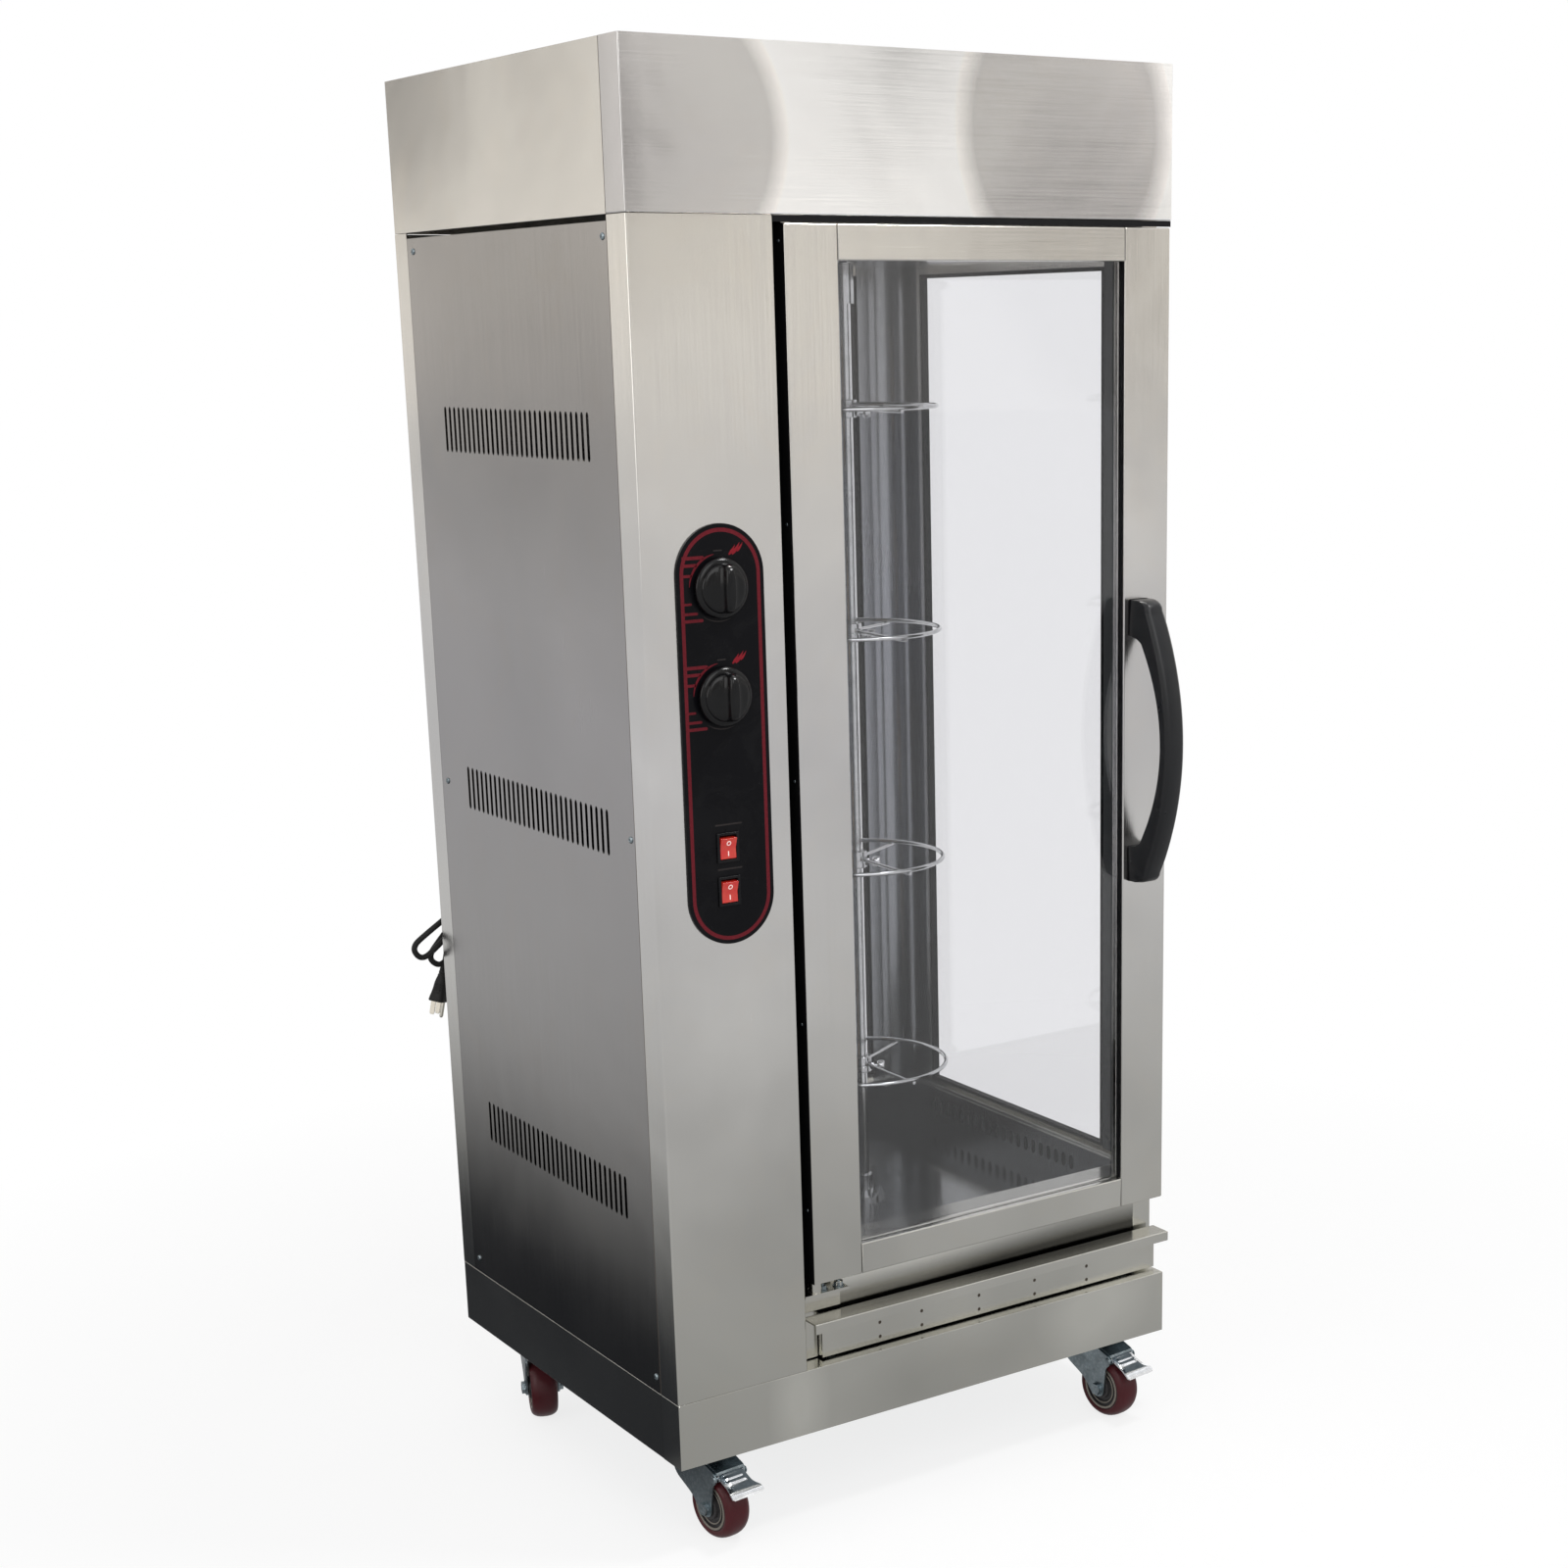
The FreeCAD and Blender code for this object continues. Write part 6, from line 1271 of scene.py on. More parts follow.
class ROTISSERIE_OT_door(RotisserieOperator, bpy.types.Operator):
    """Door frame with its joints, hinges and handle."""

    bl_idname = "rotisserie.door"
    bl_label = "Door"

    def execute(self, context):
        for node, along in (("door_stile_left", "Z"), ("door_stile_right", "Z"),
                            ("door_rail_top", "X"), ("door_rail_bottom", "X")):
            softened(node, "door", Finishes.get("steel_" + along))
        paint(Finishes.get("steel_X"), "hinge_brackets")
        self.handle()
        self.hinges()
        self.corners()
        return {"FINISHED"}

    def handle(self):
        """Bowed handle with a chamfered outer face and a foot at each end."""
        plastic = moulded("HandlePlastic", (0.009, 0.0095, 0.011), rough=0.3, grain=0.2,
                          shine=0.3, grain_size=1500.0)
        middle = spot(622, 0, 726)
        half, reach, shoulder, foot = 160.0, 69.0, 32.0, 40.0
        round_end, end_reach, grip_gap, grip_deep = 12.0, 14.0, 16.0, 14.0
        levels = [159.9, 159.4, 158.0, 155.5, 152.0, 148.0, 143.0, 137.0, 131.0, 125.0, 121.0,
                  119.6, 117.5, 113.0, 107.0]
        levels += [100.0 - 8.0 * i for i in range(25)] + [-z for z in reversed(levels)]
        sections = []
        for z in levels:
            share = abs(z) / (half - round_end)
            if share < 1:
                outer = shoulder + (reach - shoulder) * (1 - share ** 2)
            else:
                drop = (abs(z) - half + round_end) / round_end
                outer = end_reach + (shoulder - end_reach) * math.sqrt(max(0.0, 1 - drop ** 2.2))
            inner = 0.0
            if abs(z) < half - foot:
                gap = 1 - (abs(z) / (half - foot)) ** 2
                corner = min(1.0, (half - foot - abs(z)) / 3.5)
                inner = corner * (grip_gap + (reach - grip_deep - grip_gap) * gap)
            wide = 13.4 - 1.2 * max(0.0, share - 0.9) / 0.18
            face = wide - 4.6
            edge = outer - 5.2
            right = [(face - 0.8, outer), (face + 0.6, outer - 0.7), (wide - 0.5, edge + 1.2),
                     (wide, edge), (wide, inner + 1.0), (wide - 0.8, inner)]
            outline = [(-x, y) for x, y in reversed(right)] + [(0.0, outer)] + right
            sections.append([middle + Vector((x, -y, z)) * MM for x, y in outline])
        bm = bmesh.new()
        skin(bm, sections)
        finished("door_handle_grip", bm, "door", plastic, angle=28,
                 replaced=("door_handle",))
        bm = bmesh.new()
        for sign in (-1, 1):
            place = facing((0, -1, 0), spot(622, -0.1, 726 + sign * (half - foot / 2)))
            block(bm, (-14.2, -20.5, 0), (14.2, 20.5, 0.8), place, corner=3)
        finished("handle_foot_pads", bm, "door", Finishes.get("seal"))

    def hinges(self):
        """Bolt, nut and washer on the hinge leaves."""
        bm = bmesh.new()
        for x in (190.0, 211.5):
            place = facing((0, 0, 1), spot(x, 12, 160.1))
            disc(bm, 6.8, 0, 0.9, 24, place)
            hexagon(bm, 9.8, 0.9, 5.2, place)
            turned(bm, [(0, 5), (2.7, 5), (2.7, 7.5), (0, 7.8)], 16, place)
        finished("hinge_bolts", bm, "cabinet", Finishes.get("zinc"), 0.0002)

    def corners(self):
        """Ground weld lines where the rails meet the stiles."""
        half = 0.22
        lines = [((x - half, -0.04, low), (x + half, 0.3, high)) for x in (236, 601.5)
                 for low, high in ((172.4, 206.6), (1248.0, 1282.2))]
        blocks("frame_joint_lines", lines, "door",
               moulded("JointLine", (0.1, 0.095, 0.09), rough=0.5, grain=0.05))


class ROTISSERIE_OT_drawer(RotisserieOperator, bpy.types.Operator):
    """Drip drawer with its pressed grip."""

    bl_idname = "rotisserie.drawer"
    bl_label = "Drip drawer"

    def execute(self, context):
        softened("drawer_front", "drawer", Finishes.get("steel_X"), fold=1.2, inside=0.5)
        paint(Finishes.get("chamber_Y"), "drip_tray")
        return {"FINISHED"}


class ROTISSERIE_OT_spit(RotisserieOperator, bpy.types.Operator):
    """Spindle with its four wire rings, floor socket, burners and motor."""

    bl_idname = "rotisserie.spit"
    bl_label = "Spindle and burners"

    def execute(self, context):
        paint(Finishes.get("chrome"), "spindle", "floor_socket")
        paint(metal_cast("BurnerSteel", (0.42, 0.4, 0.37), rough=0.42, metallic=0.9, grain=0.2),
              "infrared_burners")
        paint(metal_cast("MotorPaint", colour_of("motor_paint"), rough=0.4, metallic=0.1,
                         grain=0.25), "gear_motor")
        paint(Finishes.get("brass"), "gas_manifold", "valve_stem_upper", "valve_stem_lower")
        for number, level in enumerate(self.LEVELS, 1):
            self.rack_ring(number, level)
        self.socket_bolts()
        self.plaques()
        return {"FINISHED"}

    CENTRE = (418.75, 280.0)
    LEVELS = (1096, 843.5, 573.5, 320)

    def rack_ring(self, number, level):
        """Wire ring with three spokes welded under it and a hub with a thumb screw."""
        middle = spot(*self.CENTRE, level)
        chrome = Finishes.get("chrome")
        ring_radius, ring_wire, spoke_wire = 0.103, 0.0025, 0.0021
        drop = Vector((0, 0, -0.0034))
        spokes = [Vector((math.cos(a), math.sin(a), 0))
                  for a in (math.radians(33 + 120 * n) for n in range(3))]
        bm = bmesh.new()
        wire(bm, [middle + Vector((x, y, 0)) for x, y in circle(ring_radius, 120)], ring_wire, 12,
             closed=True)
        for way in spokes:
            points = [middle + way * r * MM + drop * share for r, share in (
                (11.2, 0.2), (22, 0.4), (50, 0.7), (84, 0.95), (97, 1.0), (106.4, 1.0))]
            wire(bm, points, spoke_wire, 10)
        finished(f"rack_ring_{number}_wire", bm, "spindle", chrome, angle=60,
                 replaced=(f"rack_ring_{number}",))
        bm = bmesh.new()
        turned(bm, [(6.7, -12), (11.2, -12), (12, -11.2), (12, -5.6), (11.4, -5), (11.4, -3.4),
                    (12, -2.8), (12, 7.2), (11.2, 8), (6.7, 8)], 40,
               spot_place(*self.CENTRE, level), closed=True)
        for way in spokes:
            bead = facing(way, middle + way * 0.0112 + Vector((0, 0, -0.0006)))
            turned(bm, [(3.6, 0), (3.6, 0.6), (2.9, 1.9), (0, 2.2)], 14, bead)
        sideways = turn_about("Z", -29) @ Vector((1, 0, 0))
        screw = facing(sideways, middle + Vector((0, 0, -0.006)))
        turned(bm, [(0, 11), (2.6, 11), (2.6, 19), (5.4, 19.4), (5.9, 20.4), (5.9, 26.6),
                    (5.2, 27.6), (0, 27.9)], 24, screw)
        for n in range(12):
            block(bm, (5.6, -0.5, 20.6), (6.3, 0.5, 26.4), screw @ turn_about("Z", 30 * n))
        hexagon(bm, 8.6, 11.6, 14.8, screw)
        finished(f"rack_ring_{number}_hub", bm, "spindle", chrome, 0.0002)

    def socket_bolts(self):
        """Three bolts through the flange of the floor socket."""
        bm = bmesh.new()
        for n in range(3):
            out = turn_about("Z", 40 + 120 * n) @ Vector((18, 0, 0))
            place = spot_place(*self.CENTRE, 152) @ Matrix.Translation(out)
            disc(bm, 5.2, 0, 0.7, 20, place)
            hexagon(bm, 7.8, 0.7, 4.2, place)
        finished("socket_bolts", bm, "cabinet", Finishes.get("chrome"), 0.0002)

    def plaques(self):
        """Perforated ceramic tiles of the four burners behind a wire guard."""
        tiles, guard = bmesh.new(), bmesh.new()
        face, thick, wide, high, joint = 209.6, 2.2, 42.2, 45.7, 0.8
        first_y, first_z = 215.6, -69.4
        uprights, uprights_x, upright_reach, upright_wire = 7, 214.4, 68, 0.0008
        rails_x, rail_wire = 213.2, 0.0011
        for level in reversed(self.LEVELS):
            for row in range(3):
                for column in range(3):
                    y = first_y + (wide + joint) * column
                    z = level + first_z + (high + joint) * row
                    block(tiles, spot(face, y, z), spot(face + thick, y + wide, z + high))
            for n in range(uprights):
                y = 222 + 116.0 * n / (uprights - 1)
                wire(guard, [spot(uprights_x, y, level + rise)
                             for rise in (-upright_reach, upright_reach)], upright_wire, 7)
            for rise in (-60, -20, 20, 60):
                wire(guard, [spot(rails_x, y, level + rise) for y in (213, 347)], rail_wire, 7)
        finished("burner_tiles", tiles, "cabinet", self.ceramic(), 0.0004)
        finished("burner_guards", guard, "cabinet", Finishes.get("chrome"), angle=60)

    def ceramic(self):
        """Pale ceramic with a scorched tint and rows of fine holes, whose dark is painted shade."""
        recipe = material_recipe("BurnerCeramic")
        dots = recipe.step("ShaderNodeTexVoronoi", {
            "Vector": recipe.stretched((0.001, 1, 1)), "Scale": 260.0, "Randomness": 0.0,
        }).outputs["Distance"]
        scorch = recipe.noise(recipe.place, 14.0, 3, 0.5)
        base = recipe.mixed(recipe.graded(scorch, 0.4, 0.7), (0.62, 0.5, 0.38), (0.34, 0.27, 0.21))
        # Painted shade: the holes are painted near black.
        base = recipe.mixed(recipe.graded(dots, 0.24, 0.34, 1.0, 0.0), base, (0.03, 0.022, 0.018))
        hollow = recipe.graded(dots, 0.22, 0.36)
        return recipe.surface(Base_Color=base, Roughness=0.8,
                              Normal=recipe.bumps(hollow, 0.6, 0.001))


class ROTISSERIE_OT_controls(RotisserieOperator, bpy.types.Operator):
    """Control plate with its print, two knobs and two lit switches."""

    bl_idname = "rotisserie.controls"
    bl_label = "Controls"

    def execute(self, context):
        settings = context.scene.rotisserie_controls
        film = moulded("ControlFilm", (0.0035, 0.0035, 0.0045), rough=0.24, grain=0.03, shine=0.09,
                       grain_size=700.0)
        paint(film, "control_plate")
        gloss = moulded("KnobPlastic", (0.0035, 0.0035, 0.004), rough=0.13, grain=0.02, shine=0.26)
        self.print_lines(settings)
        for tag, level in zip(("upper", "lower"), self.KNOB_LEVELS):
            self.knob(tag, level, gloss)
        self.switches(settings)
        return {"FINISHED"}

    PLATE_MIDDLE = (87.0, 784.0)
    PLATE_SIZE = (100.0, 427.0)
    KNOB_ACROSS = 85.0
    KNOB_LEVELS = (934.5, 826.5)
    INK_BACK = -1.9

    def print_lines(self, settings):
        """Border, heat lines, arcs and flame marks as a thin layer of ink."""
        middle = self.KNOB_ACROSS
        inset = settings.border_inset * 1000
        bm = bmesh.new()
        wide, high = (size - 2 * inset for size in self.PLATE_SIZE)
        self.band(bm, *self.PLATE_MIDDLE, wide, high, 4.0)
        start = self.PLATE_MIDDLE[0] - wide / 2 + 3.0
        for level in self.KNOB_LEVELS:
            for rise, reach, line in ((30.6, 25.0, 3.4), (23.4, 16.5, 3.2), (13.2, 10.5, 2.8),
                                      (-14.4, 9.5, 2.4), (-24.0, 16.0, 2.8),
                                      (-31.0, 22.0, 3.2)):
                self.bar(bm, start, start + reach, level + rise, line)
            self.arc(bm, middle, level, 33.4, 98, 176, 2.6)
        ink = printed("RedInk", tuple(settings.line_colour), wear=0.5)
        finished("plate_lines", bm, "cabinet", ink, angle=50)
        bm = bmesh.new()
        for level in self.KNOB_LEVELS:
            self.flame(bm, middle + 21, level + 37.5)
        bright = printed("FlameInk", tuple(settings.mark_colour), wear=0.3)
        finished("plate_flames", bm, "cabinet", bright, angle=50)
        bm = bmesh.new()
        for level in self.KNOB_LEVELS:
            self.arc(bm, middle, level, 33.2, 236, 292, 1.3)
            self.bar(bm, middle - 5, middle + 5, level + 36.5, 1.4)
        for level, half in ((695.5, 15.5), (649.4, 14.5)):
            self.bar(bm, 86 - half, 86 + half, level, 1.7)
        dim = printed("GreyInk", (0.026, 0.022, 0.022), wear=0.4)
        finished("plate_dim_marks", bm, "cabinet", dim, angle=50)

    def band(self, bm, x, z, width, height, wide):
        """Stadium-shaped border line, a ring between two outlines."""
        front, back = -2.1, self.INK_BACK
        outer = rounded_outline(width, height, width / 2 - 0.01, 24)
        inner = rounded_outline(width - 2 * wide, height - 2 * wide, width / 2 - wide - 0.01, 24)
        skin(bm, [[spot(x + u, y, z + v) for u, v in outline] for outline, y in (
            (outer, back), (outer, front), (inner, front), (inner, back))], True)

    def ink(self, bm, outline):
        """A thin solid of ink on the plate; the outline is in x and z."""
        front, back = -2.12, self.INK_BACK
        skin(bm, [[spot(u, y, v) for u, v in outline] for y in (front, back)])

    def bar(self, bm, x0, x1, z, wide):
        """Line of ink with a rounded right end."""
        half = wide / 2
        outline = [(x0, z - half)]
        for i in range(7):
            angle = math.radians(-90 + 30 * i)
            outline.append((x1 - half + half * math.cos(angle), z + half * math.sin(angle)))
        self.ink(bm, outline + [(x0, z + half)])

    def arc(self, bm, x, z, radius, first, last, wide):
        """Arc of ink round a knob, thin at its ends."""
        steps = 24
        outer, inner = [], []
        for i in range(steps + 1):
            angle = math.radians(first + (last - first) * i / steps)
            half = wide / 2 * (0.25 + 0.75 * math.sin(math.pi * i / steps))
            for edge, reach in ((outer, radius + half), (inner, radius - half)):
                edge.append((x + reach * math.cos(angle), z + reach * math.sin(angle)))
        for i in range(steps):
            self.ink(bm, [outer[i], outer[i + 1], inner[i + 1], inner[i]])

    def flame(self, bm, x, z):
        """Leaning flame of three tongues."""
        lean = math.radians(-24)
        for offset, size in ((-5.0, 1.0), (0.0, 1.2), (4.8, 0.9)):
            outline = []
            for u, v in ((0, -5.6), (2.1, -4.4), (2.5, -1.4), (1.7, 1.8), (0.4, 5.6),
                         (-0.9, 2.4), (-2.3, 0.2), (-2.3, -3.6)):
                u, v = u * size + offset, v * size
                outline.append((x + u * math.cos(lean) + v * 0.62,
                                z + v * math.cos(lean) - u * math.sin(lean) * 0.6))
            self.ink(bm, outline)

    def knob(self, tag, level, gloss):
        """Round knob with a skirt and a grip drawn in from both sides."""
        place = facing((0, -1, 0), spot(self.KNOB_ACROSS, -5.6, level))
        steps = 72
        bm = bmesh.new()
        turned(bm, [(0, 0), (29.2, 0), (30, 0.8), (30, 3), (29.4, 4.4), (27.8, 5.6), (26.2, 6.2),
                    (0, 6.2)], steps, place)
        layers = ((5.6, 25.2, 1.0, 0.0), (8.0, 25.0, 0.995, 0.0), (9.4, 24.6, 0.95, 0.05),
                  (10.2, 24.3, 0.84, 0.2), (10.9, 24.2, 0.64, 0.45), (11.9, 24.1, 0.46, 0.7),
                  (13.6, 23.9, 0.35, 0.85), (16.5, 23.6, 0.285, 0.95), (18.6, 23.0, 0.265, 1.0),
                  (20.6, 21.8, 0.262, 1.0), (22.4, 20.0, 0.262, 1.0), (23.4, 18.4, 0.255, 1.0),
                  (23.9, 16.8, 0.24, 1.0), (24.0, 15.4, 0.2, 1.0))
        sections = []
        for height, reach, pinch, square in layers:
            ring = []
            for u, v in circle(1.0, steps):
                wide = math.copysign(abs(u) ** (1 - 0.55 * square), u) * pinch
                ring.append(place @ Vector((wide * reach, v * reach, height)))
            sections.append(ring)
        skin(bm, sections)
        block(bm, (-0.7, 6.3, 23.9), (0.7, 14.7, 24.1), place)
        finished(f"knob_{tag}_grip", bm, "knob_" + tag, gloss, angle=50,
                 replaced=("knob_" + tag,))

    def switches(self, settings):
        """Lit rockers in black bezels, marked with a circle and a bar."""
        housing = moulded("SwitchHousing", (0.005, 0.005, 0.006), rough=0.25, grain=0.05,
                          shine=0.15)
        softened("switch_bodies", "cabinet", housing, fold=0.7, inside=0.3,
                 shortest=5.0)
        lens = lit_lens("SwitchLens", (0.46, 0.01, 0.008), settings.glow)
        pale = printed("SwitchMark", (1.0, 0.78, 0.74), wear=0.1)
        slope = math.degrees(math.atan2(2.0, 11.0))
        for tag, level in (("upper", 671.8), ("lower", 626.2)):
            softened("rocker_" + tag, "rocker_" + tag, lens, fold=0.6, inside=0.3,
                     shortest=5.0)
            pivot = spot_place(84, 2, level) @ turn_about("X", 8)
            circle_mark, bar_mark = (
                pivot @ Matrix.Translation((0, -6.25, half * 5.5)) @ turn_about("X", half * slope)
                @ turn_about("X", 90) for half in (1, -1))
            bm = bmesh.new()
            turned(bm, [(1.7, 0), (1.7, 0.22), (2.6, 0.22), (2.6, 0)], 28, circle_mark, True)
            block(bm, (-0.5, -2.5, 0), (0.5, 2.5, 0.22), bar_mark)
            finished(f"rocker_{tag}_marks", bm, "rocker_" + tag, pale)


class ROTISSERIE_OT_casters(RotisserieOperator, bpy.types.Operator):
    """Casters with their races, forks, wheels and brake pedals."""

    bl_idname = "rotisserie.casters"
    bl_label = "Casters"

    def execute(self, context):
        settings = context.scene.rotisserie_casters
        self.tread = moulded("WheelTread", tuple(settings.tread_colour), rough=0.32, grain=0.06,
                             shine=0.25, grain_size=500.0)
        self.core = moulded("WheelCore", tuple(settings.core_colour), rough=0.36, grain=0.1)
        self.ring = metal_cast("WheelRing", (0.26, 0.235, 0.2), rough=0.4, metallic=0.5, grain=0.1)
        self.mounts()
        for tag, x, y, turn in self.PLACES:
            place = spot_place(x, y, 0) @ turn_about("Z", turn)
            self.wheel(tag, place)
            self.fork(tag, place)
            if tag in self.PEDALS:
                self.pedal(self.PEDALS[tag], place, settings.ribs)
        return {"FINISHED"}

    PLACES = (("fl", 60, 68, 6), ("fr", 606, 68, 6), ("rl", 60, 478, -20), ("rr", 606, 478, -12))
    PEDALS = {"fl": "pedal_left", "fr": "pedal_right"}
    TRAIL = 36.0
    AXLE = -68.0
    PIN = (-54.0, -27.5)

    def mounts(self):
        """Top plates with their bolts, ball races and king pins."""
        bm = bmesh.new()
        for _, x, y, _ in self.PLACES:
            place = spot_place(x, y, 0)
            block(bm, (-45, -32, -3), (45, 32, 0), place, corner=5)
            race = [(25, -2.9), (25, -5.2), (24.2, -6), (22.4, -6.6), (22.4, -7.4), (25, -8.2),
                    (25, -10), (24.2, -10.9), (9, -10.9), (9, -2.9)]
            turned(bm, race, 48, place, closed=True)
            turned(bm, [(0, -22.4), (4, -22.4), (5, -21.6), (5, -11), (0, -11)], 24, place)
            hexagon(bm, 14, -22.2, -18.4, place)
            for sx in (-1, 1):
                for sy in (-1, 1):
                    at = place @ Matrix.Translation((sx * 36, sy * 24, 0))
                    disc(bm, 6.4, -4, -3, 20, at)
                    hexagon(bm, 10, -8.2, -4, at)
        finished("caster_mounts", bm, "cabinet", Finishes.get("zinc"), 0.0004,
                 replaced=("caster_plates",))

    def wheel(self, tag, place):
        """Crowned tread on a stepped core with a bearing in its middle."""
        axis = place @ Matrix.Translation((0, -self.TRAIL, self.AXLE)) @ turn_about("Y", 90)
        body = "wheel_" + tag
        bm = bmesh.new()
        turned(bm, mirrored([(27.4, 14.0), (28.4, 15.2), (30.2, 15.95), (32.4, 15.3), (34.2, 13.8),
                             (35.7, 11.8), (36.9, 9.2), (37.6, 6.2), (37.95, 3.0)]), 72, axis,
               closed=True)
        finished(body + "_tread", bm, body, self.tread, angle=60,
                 replaced=("caster_wheel_" + tag,))
        bm = bmesh.new()
        turned(bm, mirrored([(7.6, 17.2), (12.6, 17.2), (13.6, 16.4), (14.0, 12.6), (17.0, 12.0),
                             (18.6, 13.6), (20.6, 13.6), (21.2, 12.4), (23.4, 12.4), (24.0, 14.2),
                             (27.6, 14.4)]), 60, axis, closed=True)
        finished(body + "_core", bm, body, self.core, angle=25)
        bm = bmesh.new()
        for sign in (-1, 1):
            for inner, outer, rise in ((24.2, 26.9, 15.1), (18.9, 20.3, 14.2), (5.4, 7.5, 17.5)):
                band = [(inner, rise - 1.6), (inner, rise - 0.3), (inner + 0.3, rise),
                        (outer - 0.3, rise), (outer, rise - 0.3), (outer, rise - 1.6)]
                turned(bm, [(r, sign * h) for r, h in band], 60, axis, closed=True)
        finished(body + "_rings", bm, body, self.ring, angle=30)

    def fork(self, tag, place):
        """Pressed fork with its crown, axle bolt and pedal rivets."""
        body, axle = "fork_" + tag, self.AXLE
        side = place @ SIDEWAYS
        bm = bmesh.new()
        outline = rounded_path([
            (26, -12), (-27, -12), (-55, -21.5), (-58, -31), (-50, -38), (-47, axle + 4),
            (-45, axle - 7), (-36, axle - 11), (-26, axle - 8), (-13, axle + 8), (20, -43),
            (27, -24)], 9, 5)
        for low, high in ((18, 20.5), (-20.5, -18)):
            prism(bm, outline, low, high, side)
        block(bm, (-18.1, -27, -18), (18.1, 26, -15.4), place)
        if tag in self.PEDALS:
            front = rounded_path([(-38, -13.5), (-56, -20), (-57, -23.5), (-38, -17.5)], 1)
            prism(bm, front, -18.1, 18.1, side)
        crown = [(8.4, -11.4), (17, -11.4), (21.5, -11.8), (25, -12.9), (27.2, -14.8), (28, -17.4),
                 (28, -18), (8.4, -18)]
        turned(bm, crown, 56, place, closed=True)
        finished(body + "_sheet", bm, body, Finishes.get("zinc"), bevel=0.0006, angle=30,
                 replaced=("caster_fork_" + tag,), segments=3)
        bm = bmesh.new()
        bolt = side @ Matrix.Translation((-self.TRAIL, axle, 0))
        pin = side @ Matrix.Translation((*self.PIN, 0))
        for sign in (-1, 1):
            outwards = Matrix.Scale(sign, 4, (0, 0, 1))
            end = bolt @ outwards
            disc(bm, 8.6, 20.5, 21.3, 28, end)
            hexagon(bm, 13.2, 21.3, 25.2, end)
            turned(bm, [(0, 25), (3.6, 25), (3.6, 25.3), (3.2, 25.5), (0, 25.5)], 20, end)
            if tag in self.PEDALS:
                turned(bm, [(0, 20.4), (4.3, 20.4), (4.1, 21.4), (3.0, 22.3), (0, 22.6)], 22,
                       pin @ outwards)
        disc(bm, 4.9, -20, 20, 24, bolt)
        if tag in self.PEDALS:
            disc(bm, 2.4, -20, 20, 18, pin)
        finished(body + "_bolts", bm, body, Finishes.get("zinc"), bevel=0.0003, angle=30)

    def pedal(self, body, place, ribs):
        """Brake pedal, ribbed at its root and flared to a turned-down lip."""
        path = smooth_path([(0, -38, -21.6), (0, -47, -21.9), (0, -56, -23.0), (0, -66, -27.4),
                            (0, -76, -31.8), (0, -84, -34.2), (0, -88.4, -37.0),
                            (0, -90.4, -40.6)], 9)
        count = len(path) - 1
        rib_start, rib_length, rib_side, rib_height = 0.1, 0.42, 0.78, 0.9
        lip, thick = 0.93, 1.9
        sections = []
        for i, point in enumerate(path):
            share = i / count
            flare = min(1.0, max(0.0, (share - 0.5) / 0.28))
            half = 16.6 + 4.3 * flare * flare * (3 - 2 * flare)
            half -= 2.4 * max(0.0, share - lip) / (1 - lip)
            way = (path[min(i + 1, count)] - path[max(i - 1, 0)]).normalized()
            up = way.cross(Vector((1, 0, 0)))
            ribbed = rib_start < share < rib_start + rib_length
            wave = 0.5 - 0.5 * math.cos(2 * math.pi * ribs * (share - rib_start) / rib_length)
            top, bottom = [], []
            for u in (-1 + 2 * k / 20 for k in range(21)):
                rise = 0.0
                if ribbed and abs(u) < rib_side:
                    rise = rib_height * wave * min(1.0, (rib_side - abs(u)) / 0.12)
                curl = -1.3 * abs(u) ** 8 * (1 - flare)
                centre = point + Vector((u * half, 0, 0))
                top.append(place @ (centre + up * (rise + curl)))
                bottom.append(place @ (centre + up * (curl - thick)))
            sections.append(top + list(reversed(bottom)))
        bm = bmesh.new()
        skin(bm, sections)
        side = place @ SIDEWAYS
        pin = side @ Matrix.Translation((*self.PIN, 0))
        turned(bm, [(2.7, -16.8), (4.4, -16.8), (4.4, 16.8), (2.7, 16.8)], 24, pin, closed=True)
        ear = rounded_path([(-48, -23.4), (-60, -26), (-58.5, -31), (-54, -32), (-49.5, -30)], 2)
        for low, high in ((15.2, 16.9), (-16.9, -15.2)):
            prism(bm, ear, low, high, side)
        finished(body + "_plate", bm, body, Finishes.get("plated"), angle=42,
                 replaced=("brake_" + body,))


class ROTISSERIE_PT_build(bpy.types.Panel):
    """Sidebar panel that lists every step."""

    bl_label = "Rotisserie cabinet"
    bl_space_type = "VIEW_3D"
    bl_region_type = "UI"
    bl_category = "Rotisserie"

    def draw(self, context):
        for step in STEPS:
            self.layout.operator(step.bl_idname)
        for name in SETTINGS:
            group = getattr(context.scene, name)
            for key in group.bl_rna.properties.keys():
                if key not in ("rna_type", "name"):
                    self.layout.prop(group, key)


STEPS = (ROTISSERIE_OT_stage, ROTISSERIE_OT_cord, ROTISSERIE_OT_cabinet, ROTISSERIE_OT_screws,
         ROTISSERIE_OT_glass, ROTISSERIE_OT_door, ROTISSERIE_OT_drawer, ROTISSERIE_OT_spit,
         ROTISSERIE_OT_controls, ROTISSERIE_OT_casters)
SETTINGS = {"rotisserie_stage": StageSettings, "rotisserie_steel": SteelSettings,
            "rotisserie_controls": ControlSettings, "rotisserie_cord": CordSettings,
            "rotisserie_casters": CasterSettings}


def register():
    for name, settings in SETTINGS.items():
        bpy.utils.register_class(settings)
        setattr(bpy.types.Scene, name, PointerProperty(type=settings))
    for step in STEPS:
        bpy.utils.register_class(step)
    bpy.utils.register_class(ROTISSERIE_PT_build)


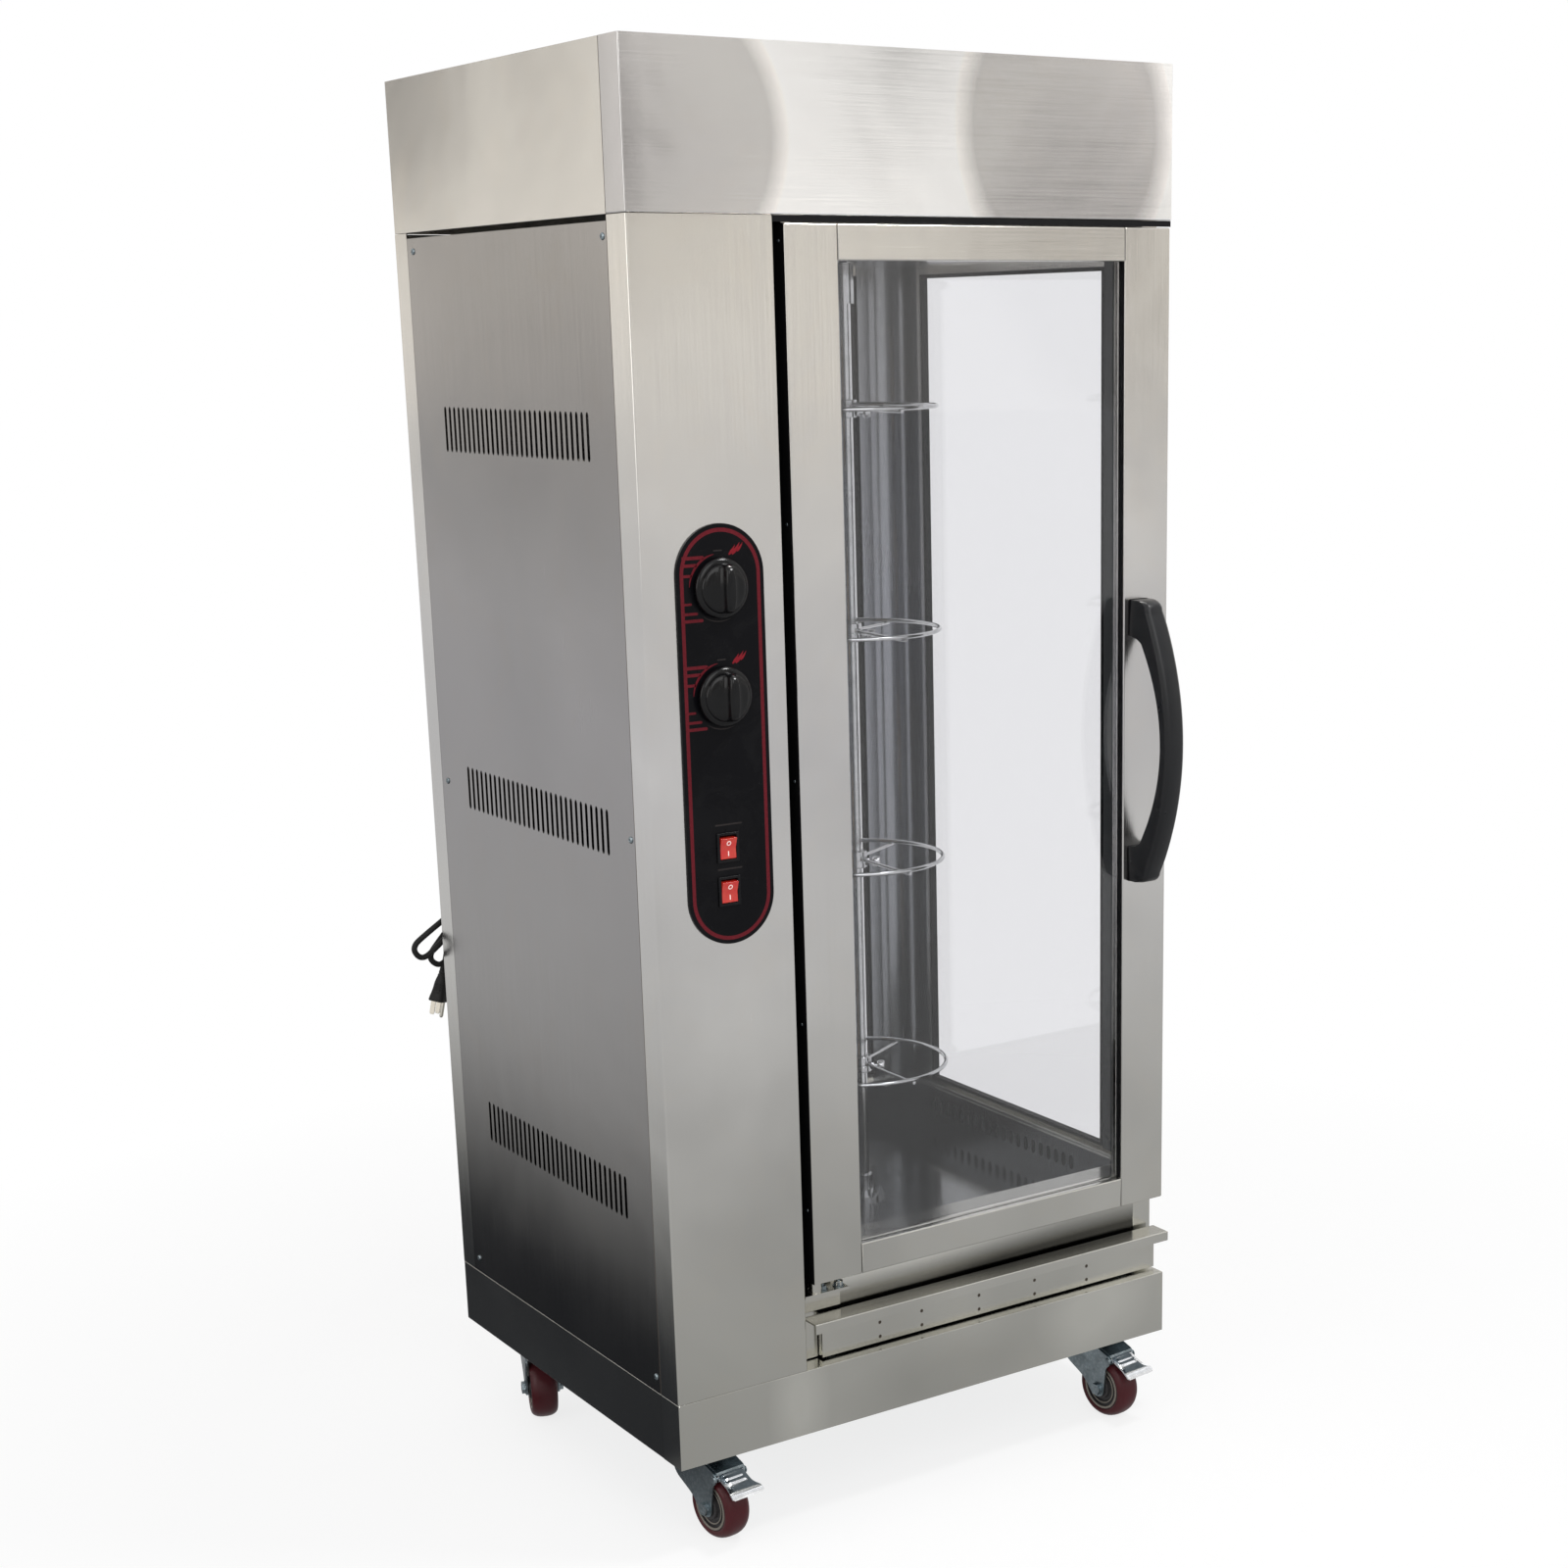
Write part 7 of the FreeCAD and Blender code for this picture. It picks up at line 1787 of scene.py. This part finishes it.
def unregister():
    bpy.utils.unregister_class(ROTISSERIE_PT_build)
    for step in reversed(STEPS):
        bpy.utils.unregister_class(step)
    for name, settings in SETTINGS.items():
        delattr(bpy.types.Scene, name)
        bpy.utils.unregister_class(settings)


def main():
    register()
    for step in STEPS:
        group, name = step.bl_idname.split(".")
        if getattr(getattr(bpy.ops, group), name)() != {"FINISHED"}:
            raise RuntimeError(f"{step.bl_label} did not finish")
    bpy.context.view_layer.update()


if __name__ == "__main__":
    main()
